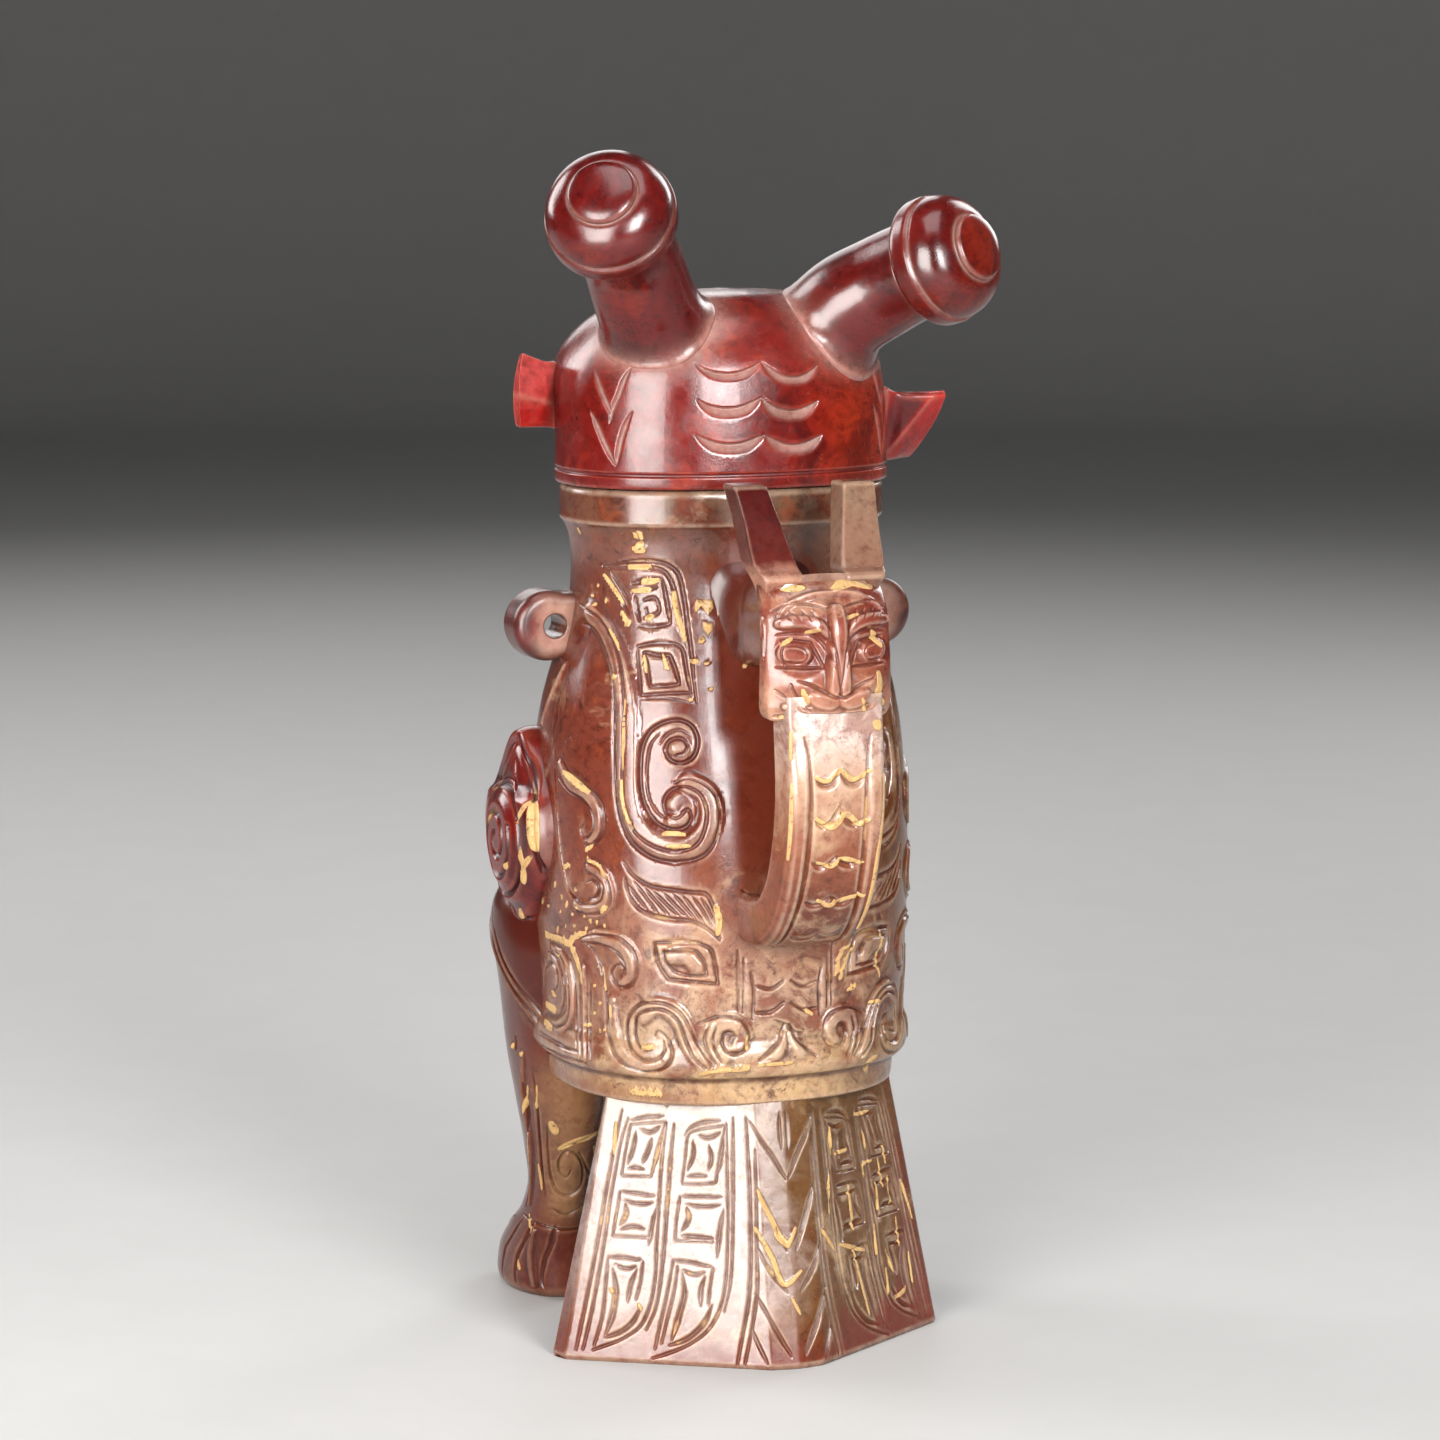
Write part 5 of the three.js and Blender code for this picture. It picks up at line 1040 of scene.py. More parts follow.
# the lean towards -x gives the right face its olive, darkened also as painted shade on the side turned from the key
# light
TAIL_JADE = jade(
    "tail_jade", [(0, (128, 58, 36)), (4, (164, 112, 84)), (14, (190, 162, 150)), (40, (200, 178, 168)), (62, (190, 166, 146))],
    lean=[("x", 9, -7, (114, 72, 18), 0.93), ("x", 33, 41, (110, 40, 24), 0.75), ("z", 13, 0, (120, 44, 22), 0.8),
          ("x", -27, -40, (122, 46, 20), 0.85)],
    mottle=[(RUST, 62, 0.53, 0.63, 0.55), ((224, 192, 150), 52, 0.54, 0.66, 0.5), ((122, 92, 46), 80, 0.55, 0.68, 0.45),
            ((120, 50, 22), 330, 0.54, 0.68, 0.45)],
    cut=(104, 50, 28), cut_amount=0.8, worn_and_highlight=(240, 214, 184), rust_and_shade=(124, 42, 20), rough=0.215, clay_in_cuts=0.7)
# pale towards the top under the chin: partly the stone's colour, partly a painted highlight of the glare there; darker
# towards the foot
STRAP_JADE = jade(
    "strap_jade", [(90, (112, 52, 32)), (104, (158, 92, 64)), (118, (208, 164, 136)), (142, (255, 242, 234))],
    lean=[("x", 6, 11, (160, 86, 60), 0.55)],
    mottle=[((142, 62, 42), 64, 0.52, 0.64, 0.6), ((226, 190, 152), 60, 0.54, 0.68, 0.5)],
    cut=(132, 70, 42), worn_and_highlight=(242, 216, 188), clay_in_cuts=0.9)
HEAD_JADE = jade(
    "head_jade", [(136, (194, 138, 110)), (143, (176, 108, 84)), (152, (152, 76, 58)), (165, (140, 64, 50))],
    mottle=[((104, 36, 26), 78, 0.50, 0.62, 0.65), ((220, 176, 146), 66, 0.54, 0.66, 0.5)],
    cut=(84, 30, 20), cut_amount=0.6, worn_and_highlight=(236, 200, 176), worn_and_highlight_amount=0.3, clay_in_cuts=0.4)
# the left horn's own dark red, darkened overall also as painted shade for its shaded left side
SLAB_LEFT_JADE = jade(
    "slab_left_jade", [(160, (176, 112, 92)), (165, (196, 140, 118)), (168, (104, 40, 34)), (176, (88, 28, 25)), (184, (80, 24, 22))],
    mottle=[((140, 76, 62), 70, 0.55, 0.68, 0.5), ((54, 16, 14), 90, 0.53, 0.66, 0.55)], cut_amount=0.3, worn_and_highlight_amount=0.25, wobble=0.006)
SLAB_RIGHT_JADE = jade(
    "slab_right_jade", [(160, (144, 98, 80)), (170, (150, 112, 92)), (184, (150, 120, 98))],
    mottle=[((134, 84, 64), 70, 0.52, 0.66, 0.6), ((206, 176, 148), 80, 0.55, 0.68, 0.5)], cut_amount=0.3)
LID_JADE = jade(
    "lid_jade", [(172, (122, 26, 20)), (186, (126, 24, 19)), (204, (130, 27, 20)), (222, (118, 22, 18)), (250, (124, 24, 22))],
    lean=[("x", -2, -28, (186, 58, 28), 0.7)],
    mottle=[((74, 11, 10), 50, 0.46, 0.60, 0.65), ((178, 54, 28), 62, 0.54, 0.66, 0.5), ((62, 10, 10), 210, 0.52, 0.68, 0.4)],
    cut=(70, 16, 14), cut_amount=0.35, worn_and_highlight=(196, 92, 76), worn_and_highlight_amount=0.25, pale=(208, 160, 146), rust_and_shade=(44, 8, 8), rough=0.19, glow=0.14, gloss=1.44)
HORN_JADE = jade(
    "horn_jade", [(204, (104, 19, 16)), (222, (100, 18, 15)), (250, (112, 21, 19))],
    lean=[("x", -28, -42, (150, 44, 24), 0.6)],
    mottle=[((64, 10, 9), 50, 0.46, 0.60, 0.6), ((150, 44, 24), 62, 0.55, 0.68, 0.45), ((58, 10, 10), 210, 0.52, 0.68, 0.4)],
    cut=(70, 16, 14), cut_amount=0.35, worn_and_highlight=(196, 92, 76), worn_and_highlight_amount=0.25, pale=(200, 150, 136), rust_and_shade=(44, 8, 8), rough=0.17, glow=0.14,
    gloss=1.46)
# brighter towards the top: partly the ears' own red, partly a painted glow of light through the thin jade
EAR_JADE = jade(
    "ear_jade", [(180, (158, 20, 16)), (192, (186, 34, 30)), (200, (208, 78, 75)), (210, (214, 88, 86))],
    mottle=[((112, 16, 14), 70, 0.48, 0.62, 0.6), ((206, 84, 66), 80, 0.55, 0.70, 0.4)], cut_amount=0.4,
    worn_and_highlight=(214, 90, 72), pale=(176, 122, 106), rust_and_shade=(62, 20, 22), rough=0.24, glow=0.3, fleck=0.2, gloss=1.36)
FACE_JADE = jade(
    "face_jade", [(182, (134, 40, 28)), (196, (150, 62, 40)), (208, (128, 32, 24))],
    mottle=[((78, 14, 12), 60, 0.48, 0.62, 0.65), ((194, 116, 78), 66, 0.55, 0.68, 0.5)], worn_and_highlight=(214, 150, 116), clay_in_cuts=0.4)


# ----------------------------------------------------------------------- body
def shell(groups, nu, t0):
    """Rings of the body plan along several profiles, one after the other."""
    t = np.radians(t0 + 360 * np.arange(nu) / nu)
    rows = []
    for q in groups:
        if rows and np.allclose(rows[-1][-1], q[0]):
            q = q[1:]
        rows.append(q)
    q = np.concatenate(rows)
    x, y = plan(t[:, None], q[None, :, 1], q[None, :, 2], q[None, :, 3])
    return np.stack([x, y, np.broadcast_to(q[None, :, 0], x.shape)], -1)


def profile(rows, n, dense=6000):
    """n rows of equal spacing along the outline through the given rows."""
    s = np.r_[0, np.cumsum(np.linalg.norm(np.diff(rows, axis=0), axis=1))]
    fine = pchip(s, rows, np.linspace(0, s[-1], dense))
    return by_length(fine, n)[0]


def by_height(rows, n, dense=9000, soft=None):
    """The same, with the sizes as smooth functions of height; soft is (mm, from, to)."""
    z = np.linspace(rows[0, 0], rows[-1, 0], dense)
    size = pchip(rows[:, 0], rows[:, 1:], z)
    if soft:
        k = np.arange(-600, 601) * (z[1] - z[0])
        k = np.exp(-(k / soft[0]) ** 2 / 2)
        w = (ease((z - soft[1]) / 4) * ease((soft[2] - z) / 9))[:, None]
        even = np.stack([np.convolve(np.pad(c, 600, "edge"), k / k.sum(), "valid") for c in size.T], -1)
        size = size * (1 - w) + even * w
    fine = np.column_stack([z, size])
    return by_length(fine, n)[0]


NU = 1024
foot = np.linspace(0, 1, 24, endpoint=False)[:, None]
outer = by_height(BODY, 561, soft=(2.4, 70.0, 162.0))
n_foot = 24
rim = outer[-1] + (CAVITY[0] - outer[-1]) * np.linspace(0, 1, 17)[1:, None]
inner = profile(CAVITY, 129)[1:]
pos = shell([outer, rim, inner], NU, -22.5)
low = np.array([0, -4, 50.0]) + (pos[:, :1] - [0, -4, 50.0]) * foot.reshape(1, -1, 1)
high = np.array([0, -4, 63.0]) + (pos[:, -1:] - [0, -4, 63.0]) * (1 - np.arange(1, 25) / 24).reshape(1, -1, 1)
body = Skin(np.concatenate([low, pos, high], 1))
BODY_BACK, BODY_FRONT = 320, 832
outer_z = outer[:, 0]


def body_at(t, z):
    i = ((np.asarray(t, float) + 22.5) % 360) / 360 * NU
    j = n_foot + np.interp(np.asarray(z, float), outer_z, np.arange(len(outer_z)))
    return body.at(i, j)


def flip_t(points):
    return [(180 - t, z) for t, z in points]


body.unroll(BODY_BACK)
for kind, wl, wr, depth, taper, pts in BODY_CUTS:
    a = np.array(pts)
    body.draw(kind, wl, wr, depth, taper, body_at(a[:, 0], a[:, 1]))
    b = np.array(flip_t(pts))
    body.draw(kind, wr, wl, depth, taper, body_at(b[:, 0], b[:, 1]))
# the leading edge of the left wing, from the lug to the coil, and a hook under the foot of the handle
for kind, wl, wr, depth, taper, pts in (
        ("r", 1.8, 1.5, 0.75, 0.3, [(0.3, 143.0), (-1.6, 138.6), (-4.8, 133.8), (-8.0, 130.0)]),
        ("g", 0.5, 0.5, 0.6, 0.5, [(78.6, 99.3), (81.1, 97.2), (84.7, 96.0), (87.8, 93.8), (85.9, 90.9), (81.6, 89.4), (78.7, 91.1)])):
    for f in (pts,) if kind == "r" else (pts, flip_t(pts)):
        a = np.array(f)
        body.draw(kind, wl, wr, depth, taper, body_at(a[:, 0], a[:, 1]))
for width, pts in BODY_CLAY:
    a = np.array(pts)
    body.draw("c", width * 0.8, width * 0.8, 1.0, 0.35, body_at(a[:, 0], a[:, 1]))
for t, z, r in BODY_SPECKS:
    p = body_at(np.array([t, t + 0.6]), np.array([z, z + 0.1]))
    body.draw("c", r, r, 1.0, 0.0, p)

# front: the neck panel and the lower band again, and a breast of overlapping feathers
body.unroll(BODY_FRONT)
for kind, wl, wr, depth, taper, pts in BODY_CUTS:
    a = np.array(pts)
    neck = a[:, 1].min() > 136.5 and a[:, 0].min() > 18
    lower = a[:, 1].max() < 92 and a[:, 0].min() > 60
    if neck or lower:
        body.draw(kind, wr, wl, depth, taper, body_at(-np.maximum(a[:, 0], 23.0), a[:, 1]))
        body.draw(kind, wl, wr, depth, taper, body_at(180 + a[:, 0], a[:, 1]))
for k, z in enumerate(np.arange(131.0, 90.0, -5.6)):
    reach = 10.5 + 7.5 * math.sin((131 - z) / 41 * math.pi)
    c0 = body_at(270, z)
    for m in range(-5, 6):
        u = (m + 0.5 * (k % 2)) * 7.0
        if abs(u) > reach:
            continue
        arc = [(-3.3, 3.6), (-3.2, 0.8), (-2.2, -1.8), (0, -3.2), (2.2, -1.8), (3.2, 0.8), (3.3, 3.6)]
        p = c0 + np.array([(u + x, y) for x, y in arc])
        body.draw("g", 0.75, 0.45, 0.55, 0.55, p)
        body.draw("g", 0.32, 0.32, 0.32, 0.8, c0 + np.array([(u, 2.4), (u, -0.2), (u, -1.8)]))
        body.draw("b", 2.1, 2.1, 0.40, 0.2, c0 + np.array([(u, 1.6), (u, -1.2)]))
for side in (1, -1):
    for k in range(4):
        z = 130 - 8.6 * k
        a = [(270 + side * (24 - 2 * k), z), (270 + side * (32 + k), z - 3.2 - k), (270 + side * (42 + k), z - 3.6 - 2 * k)]
        p = body_at(np.array([v[0] for v in a]), np.array([v[1] for v in a]))
        body.draw("g", 0.6, 0.6, 0.5, 0.8, p)
body.unroll(BODY_BACK)
x, y, z = np.moveaxis(body.pos, -1, 0)
# painted shadow of the handle strap and head on the back of the body, in the rust colour
body.tone = -0.75 * ease((14 - np.abs(x)) / 7) * (y > 0) * ease((z - 96) / 10) * ease((168 - z) / 10)
body.tone -= 0.42 * ease((59 - z) / 3) * ease((x - 6) / 14) * (y > -10)
body.carve(1.35)
make("vessel_body_jade", mesh_arrays(body, 0.010, 0.09, 185000), BODY_JADE, "vessel", ["vessel_body"])

# ------------------------------------------------------------------------ lid
NL = 768
hollow = profile(LID_HOLLOW[::-1], 97)
lid_rim = LID_HOLLOW[0] + (LID[0] - LID_HOLLOW[0]) * np.linspace(0, 1, 17)[1:, None]
lid_outer = profile(LID, 401)
pos = shell([hollow, lid_rim, lid_outer], NL, -22.5)
lid = Skin(pos)
lid_first = len(hollow) + len(lid_rim) - 1


def lid_at(t, z):
    i = ((np.asarray(t, float) + 22.5) % 360) / 360 * NL
    j = lid_first + np.interp(np.asarray(z, float), lid_outer[:, 0], np.arange(len(lid_outer)))
    return lid.at(i, j)


LID_BACK, LID_FRONT = 240, 624
lid.unroll(LID_BACK)
for k, (kind, wl, wr, depth, taper, pts) in enumerate(LID_CUTS):
    a = np.array(pts)
    if k < 6:
        wr, depth = wr * 1.25, depth * 1.2
    lid.draw(kind, wl, wr, depth, taper, lid_at(a[:, 0], a[:, 1]))
    if a[:, 0].max() < 60:
        b = np.array(flip_t(pts))
        lid.draw(kind, wr, wl, depth, taper, lid_at(b[:, 0], b[:, 1]))
lid.tone = np.clip(lid.cut / 0.55, 0, 1) * 0.6
# front: brows over the eyes and feathers on the forehead
lid.unroll(LID_FRONT)
for side in (1, -1):
    def arc(points, *style):
        a = np.array([(270 + side * t, z) for t, z in points])
        lid.draw(*style, lid_at(a[:, 0], a[:, 1]))
    arc([(6, 205), (16, 213), (34, 214), (48, 208), (54, 200)], "g", 0.6, 0.6, 0.6, 0.7)
    arc([(4, 203), (14, 210.6), (33, 211.6), (45.5, 206.4), (50, 199)], "g", 0.5, 0.5, 0.45, 0.8)
    arc([(50, 196), (46, 190.6), (34, 188.6), (22, 189.8)], "g", 0.6, 0.6, 0.55, 0.8)
    arc([(54, 194), (50, 188.6), (36, 187.8)], "g", 0.5, 0.5, 0.40, 0.8)
    for k in range(3):
        arc([(1, 217.4 - 3.0 * k), (7, 216.2 - 3.0 * k), (13 - 2 * k, 217.6 - 3.0 * k)], "g", 0.25, 1.0, 0.55, 0.9)


def path_frames(points, n, face):
    """Points along a smooth path, with directions along it and across it. The far end turns to face."""
    p, length = by_length(catmull(points, 0.05), n)
    t = np.gradient(p, axis=0)
    t /= np.linalg.norm(t, axis=1, keepdims=True)
    turn = ease((np.linspace(0, 1, n) - 0.4) / 0.5)[:, None]
    t = t * (1 - turn) + face * turn
    t /= np.linalg.norm(t, axis=1, keepdims=True)
    a = np.cross(t[0], [0, 0, 1.0])
    a /= np.linalg.norm(a)
    across = []
    for k in range(n):
        a = a - t[k] * (a @ t[k])
        a /= np.linalg.norm(a)
        across.append(a.copy())
    across = np.array(across)
    return p, t, across, np.cross(t, across), length


def over_lid(p, shrink):
    """Above 1 outside the lid skin moved in by that much."""
    z = p[..., 2] + shrink
    half, back, front = (np.interp(z, LID[:, 0], LID[:, k]) for k in (1, 2, 3))
    half, back, front = (np.maximum(v - shrink, 0.5) for v in (half, back, front))
    f = (np.abs(p[..., 0]) / half) ** SQUARE + (np.abs(p[..., 1]) / np.where(p[..., 1] > 0, back, front)) ** SQUARE
    return np.where(z > 220.3, 9.0, f)


CAP = np.array([[10.0, -1.7], [10.4, -1.6], [11.3, -1.35], [12.5, -0.8], [13.15, -0.1], [13.45, 0.8], [13.5, 1.8], [13.5, 3.2], [13.35, 3.75],
                [13.0, 4.05], [12.72, 4.4], [12.95, 4.85], [12.9, 5.5], [12.5, 7.0], [11.7, 8.6], [10.5, 10.0], [9.1, 11.0],
                [7.95, 11.55], [7.5, 11.66], [7.1, 11.58], [6.8, 11.8], [6.95, 12.5], [6.7, 13.05], [5.9, 13.5],
                [4.3, 13.95], [2.2, 14.2], [0.0, 14.28]])


def bottle_horn(shape, name, node):
    points, radii, face = shape
    face = face / np.linalg.norm(face)
    n, stem, cap_rows = 192, 96, 224
    p, t, ax, bx, length = path_frames(points, 400, face)
    u = np.linspace(0, 1, 400)
    r = np.interp(u * 3, np.arange(4), radii)
    phi = 2 * np.pi * np.arange(n) / n
    wall = p[None] + r[None, :, None] * (np.cos(phi)[:, None, None] * ax[None] + np.sin(phi)[:, None, None] * bx[None])
    start = np.array([np.flatnonzero(row)[0] if row.any() else 399 for row in over_lid(wall, 2.0) > 1])
    edge = np.array([np.flatnonzero(row)[0] if row.any() else 399 for row in over_lid(wall, 0.0) > 1])
    stop = 399 - int(2.0 / length * 399)
    rows = start[:, None] + (stop - start)[:, None] * np.linspace(0, 1, stem)[None]
    k = np.clip(rows.astype(int), 0, 398)
    f = (rows - k)[..., None]
    centre = p[k] * (1 - f) + p[k + 1] * f
    across = ax[k] * (1 - f) + ax[k + 1] * f
    up = bx[k] * (1 - f) + bx[k + 1] * f
    rr = np.interp(rows / 399 * 3, np.arange(4), radii)
    far = np.maximum(rows - edge[:, None], 0) / 399 * length
    rr = rr + 1.1 * np.exp(-far / 1.3) * ease((rows - start[:, None]) / np.maximum(edge - start, 1)[:, None])
    # cut by hand, so not quite round
    rr = rr * (1 + 0.016 * np.sin(2 * phi + 0.6) + 0.010 * np.sin(5 * phi + 1.9))[:, None]
    pos = centre + rr[..., None] * (np.cos(phi)[:, None, None] * across + np.sin(phi)[:, None, None] * up)
    c = CAP.copy()
    c[0, 0] = radii[-1]
    c[1, 0] = radii[-1] + 0.35
    c = by_length(catmull(c, 0.03), cap_rows)[0]
    e = p[-1]
    cap = (e + face * c[None, :, 1:] + c[None, :, :1]
           * (np.cos(phi)[:, None, None] * ax[-1] + np.sin(phi)[:, None, None] * bx[-1]))
    root = pos[:, :1].mean(0, keepdims=True)
    lead = root + (pos[:, :1] - root) * np.array([0.0, 0.5])[None, :, None]
    s = Skin(np.concatenate([lead, pos, cap[:, 1:]], 1))
    s.tone[:, 2:2 + stem] = np.concatenate([np.exp(-far / 1.5), np.exp(-far[:1] / 1.5)], 0) * 0.6
    d = (s.pos - e) @ face
    rad = np.linalg.norm(s.pos - e - d[..., None] * face, axis=-1)
    rings = np.exp(-((d - 4.4) / 0.42) ** 2) * (rad > 11.5) + np.exp(-((rad - 7.1) / 0.42) ** 2) * (d > 10)
    seam = np.exp(-((d + 1.6) / 0.5) ** 2) * (rad < 11.6) * (d < 0)
    s.tone = np.maximum(s.tone, 0.42 * rings + 0.30 * seam)
    make(name, mesh_arrays(s, 0.012, 0.10, 40000), HORN_JADE, "lid", [node])
    return p


stems = [bottle_horn(HORN_LEFT, "lid_left_horn_jade", "lid_left_horn"),
         bottle_horn(HORN_RIGHT, "lid_right_horn_jade", "lid_right_horn")]
for path in stems:
    a, b = path[0], path[160]
    d = (b - a) / np.linalg.norm(b - a)
    w = lid.pos - a
    rad = np.linalg.norm(w - (w @ d)[..., None] * d, axis=-1)
    near = np.exp(-np.maximum(rad - 12.2, 0) / 2.2) * ease((lid.pos[..., 2] - 199) / 10) * (w @ d > -6)
    lid.tone = np.maximum(lid.tone, near * 0.55)
# full cheeks over the ears
t = np.degrees(np.arctan2(lid.pos[..., 1], lid.pos[..., 0]))
for side in (-25.0, 205.0):
    away = (t - side + 180) % 360 - 180
    lid.band += 2.0 * np.exp(-(away / 22) ** 2 - ((lid.pos[..., 2] - 205) / 8) ** 2) * (np.arange(lid.pos.shape[1]) > lid_first)
lid.carve()
lid_mesh = mesh_arrays(lid, 0.010, 0.09, 120000)
make("lid_dome_jade", lid_mesh, LID_JADE, "lid", ["lid_dome"])

# locating ring under the lid
mouth = CAVITY[0, 1:]
c = np.array([[180.2, 4.7], [176.0, 4.7], [173.0, 4.7], [172.5, 4.5], [172.4, 4.1], [172.4, 2.6], [172.42, 1.5],
              [172.7, 0.9], [173.3, 0.52], [174.2, 0.5], [178.0, 0.5], [180.2, 0.5]])
c = by_length(c, 81)[0]
c = np.concatenate([c, c[-1] + (c[0] - c[-1]) * np.linspace(0, 1, 17)[1:, None]])
t = np.radians(-22.5 + 360 * np.arange(256) / 256)
x, y = plan(t[:, None], mouth[0] - c[None, :, 1], mouth[1] - c[None, :, 1], mouth[2] - c[None, :, 1])
ring = Skin(np.stack([x, y, np.broadcast_to(c[None, :, 0], x.shape)], -1))
make("lid_locating_ring_jade", mesh_arrays(ring, levels=0, limit=1e9), LID_JADE, "lid", ["lid_locating_ring"])


# ----------------------------------------------------------------- ears, face
def ear(name, node, corners, fold, flip, root, spread):
    """A leaf with a spread foot and a ridge across the back, from fold[0] to fold[1] in x and height."""
    stations = np.array([soften(side_points(c, [40] * 4), 20) for c in corners])
    u = np.linspace(0, 2, 97)[:, None, None]
    rows = np.where(u < 1, stations[0] + (stations[1] - stations[0]) * u, stations[1] + (stations[2] - stations[1]) * (u - 1))
    mid = rows.mean(1, keepdims=True)
    rows[..., 1:] = mid[..., 1:] + (rows - mid)[..., 1:] * (1 + spread * np.exp(-np.maximum(rows[..., :1] - root, 0) / 1.8))
    i = np.arange(160)
    back = np.clip(np.minimum(i - 117, 163 - i) / 6, 0, 1)[None]
    a, b = np.array(fold, float)
    d = (b - a) / np.linalg.norm(b - a)
    off = (rows[..., 0] - a[0]) * d[1] - (rows[..., 2] - a[1]) * d[0]
    rows[..., 1] += 1.6 * np.clip(1 - np.abs(off) / 6.5, 0, 1) * back * ease((rows[..., 0] - root) / 4)
    low, high = corners[2, :, 2].min(), corners[2, :, 2].max()
    rows[..., 0] += 1.0 * np.sin(np.pi * np.clip((rows[..., 2] - low) / (high - low), 0, 1)) * np.clip(u[..., 0] - 1, 0, 1) ** 2
    s = Skin(poles(rows.transpose(1, 0, 2), corners[0].mean(0), corners[2].mean(0), 16))
    off = (s.pos[..., 0] - a[0]) * d[1] - (s.pos[..., 2] - a[1]) * d[0]
    far = np.maximum(s.pos[..., 0] - root, 0)
    ridge = np.exp(-(off / 0.7) ** 2) * ease(far / 3)
    s.tone = np.where(off < 0, -0.85 * ease(-off / 0.8) * ease((root + 11 - s.pos[..., 0]) / 5) if flip else 0.0, 0.0)
    root_tone = np.maximum(0.9 * np.exp(-far / 1.6) - 0.1, 0)
    s.tone = s.tone * (1 - root_tone) + 0.8 * root_tone + 0.4 * ridge
    make(name, mesh_arrays(s, 0.008, 0.07, 30000), EAR_JADE, "lid", [node], flip)


ear("lid_left_ear_jade", "lid_left_ear", EAR_LEFT, [(33.0, 196.4), (43.0, 198.6)], False, 32.8, 0.14)
ear("lid_right_ear_jade", "lid_right_ear", EAR_RIGHT, [(36.6, 184.6), (45.4, 198.0)], True, 35.4, 0.30)

rows = by_height(BEAK, 129)
pos = []
for z, half, front, back in rows:
    outline = np.array([[half, back + 4, z], [-half, back + 4, z], [-half, front + 3.4, z], [-half * 0.5, front + 0.7, z], [0, front, z],
                        [half * 0.5, front + 0.7, z], [half, front + 3.4, z]])
    pos.append(soften(side_points(outline[::-1], [30, 14, 14, 14, 14, 30, 12]), 10))
pos = np.array(pos).transpose(1, 0, 2)
beak = Skin(poles(pos, [0, -36.6, 183.7], [0, -22.4, 207.3], 16))
beak.uv = beak.pos[..., [0, 2]]
for side in (1, -1):
    beak.draw("g", 0.5, 0.5, 0.5, 0.8, [(side * 4.6, 188.4), (side * 3.2, 187.0), (side * 1.2, 187.4)])
    beak.draw("g", 0.35, 0.35, 0.45, 0.3, [(side * 2.2, 197.6), (side * 2.9, 196.6), (side * 2.4, 195.6)])
beak.carve()
make("lid_beak_jade", mesh_arrays(beak, 0.01, 0.09, 20000), FACE_JADE, "lid", ["lid_beak"])

EYE = np.array([[0, -6.5], [8.6, -6.5], [8.6, -1.0], [8.6, 1.0], [8.4, 1.7], [7.9, 2.4], [7.2, 2.6], [6.4, 2.5], [5.8, 1.9], [5.5, 1.7],
                [5.2, 2.0], [4.9, 2.9], [4.2, 3.6], [3.0, 4.05], [2.2, 4.2], [1.95, 4.0], [1.7, 3.75], [1.4, 4.0], [1.1, 4.3], [0, 4.4]])
c = np.concatenate([by_length(EYE[:3], 33)[0], by_length(catmull(EYE[2:], 0.02), 97)[0][1:]])
phi = 2 * np.pi * np.arange(160) / 160
turn = 0.3
for side, name in ((1, "left"), (-1, "right")):
    out = np.array([math.sin(turn) * side, -math.cos(turn), 0])
    across = np.array([math.cos(turn), math.sin(turn) * side, 0])
    pos = (np.array([side * 14.2, -25.4, 201.8]) + out * c[None, :, 1:]
           + c[None, :, :1] * (np.cos(phi)[:, None, None] * across + np.sin(phi)[:, None, None] * np.array([0, 0, 1.0])))
    s = Skin(pos)
    s.cut = np.broadcast_to(0.5 * np.exp(-((c[:, 0] - 5.6) / 0.35) ** 2) * (c[:, 1] > 0), s.cut.shape).copy()
    make("lid_%s_eye_jade" % name, mesh_arrays(s, 0.01, 0.09, 20000), FACE_JADE, "lid", ["lid_%s_eye" % name])


# ----------------------------------------------------------------------- legs
t = -np.pi + 2 * np.pi * np.arange(320) / 320
rows = by_height(LEG, 321)
rows[0, 0] = 0.0
pos = np.stack([rows[None, :, 1] + rows[None, :, 3] * np.cos(t)[:, None],
                rows[None, :, 2] + rows[None, :, 4] * np.sin(t)[:, None],
                np.broadcast_to(rows[None, :, 0], (320, 321))], -1)
lead = ease(np.clip(rows[:, 0] / 1.2, 0, 1))[None, :, None]
mid = np.stack([rows[:, 1], rows[:, 2], rows[:, 0]], -1)[None]
pos = mid + (pos - mid) * (0.93 + 0.07 * lead)
pos = poles(pos, [22.6, -47.6, 0.0], [29.4, -23.4, 94.4], 16)
leg = Skin(into_body(pos, 1.6))
leg.unroll(240)
leg_z = rows[:, 0]
# the tip of the wing lies over the thigh, with a slanting lower edge
turn = (np.degrees(np.r_[t, t[0]]) + 180) % 360 - 180
hem = np.interp(turn, [-180, -100, -75, -50, -22, 0, 20, 45, 60, 95, 130, 180], [99, 99, 96, 88, 82, 76, 69, 63, 60, 57, 57, 99])[:, None]
over = ease((leg.pos[..., 2] - hem) / 1.5)
leg.band += 0.9 * over


def leg_at(a, z):
    return leg.at(((np.asarray(a, float) + 180) % 360) / 360 * 320, 16 + np.interp(np.asarray(z, float), leg_z, np.arange(321)))


for kind, wl, wr, depth, taper, pts in LEG_CUTS:
    a = np.array(pts)
    leg.draw(kind, wl, wr, depth, taper, leg_at(np.clip(a[:, 0], -170, 170), a[:, 1]))
for width, pts in LEG_CLAY:
    a = np.array(pts)
    leg.draw("c", width * 0.8, width * 0.8, 1.0, 0.35, leg_at(a[:, 0], a[:, 1]))
leg.unroll(80)
for a, d in ((2, 0.4), (26, 0.5), (62, 0.4)):  # folds above the foot and down its side
    leg.draw("g", 0.7, 0.9, d, 0.7, leg_at(np.array([a + 6, a, a - 3]), np.array([17.0, 10.0, 2.0])))
for a in (252, 270, 288):  # toes
    leg.draw("g", 0.9, 0.9, 1.1, 0.6, leg_at(np.array([a, a, a + (270 - a) * 0.2]), np.array([0.8, 6.0, 13.0])))
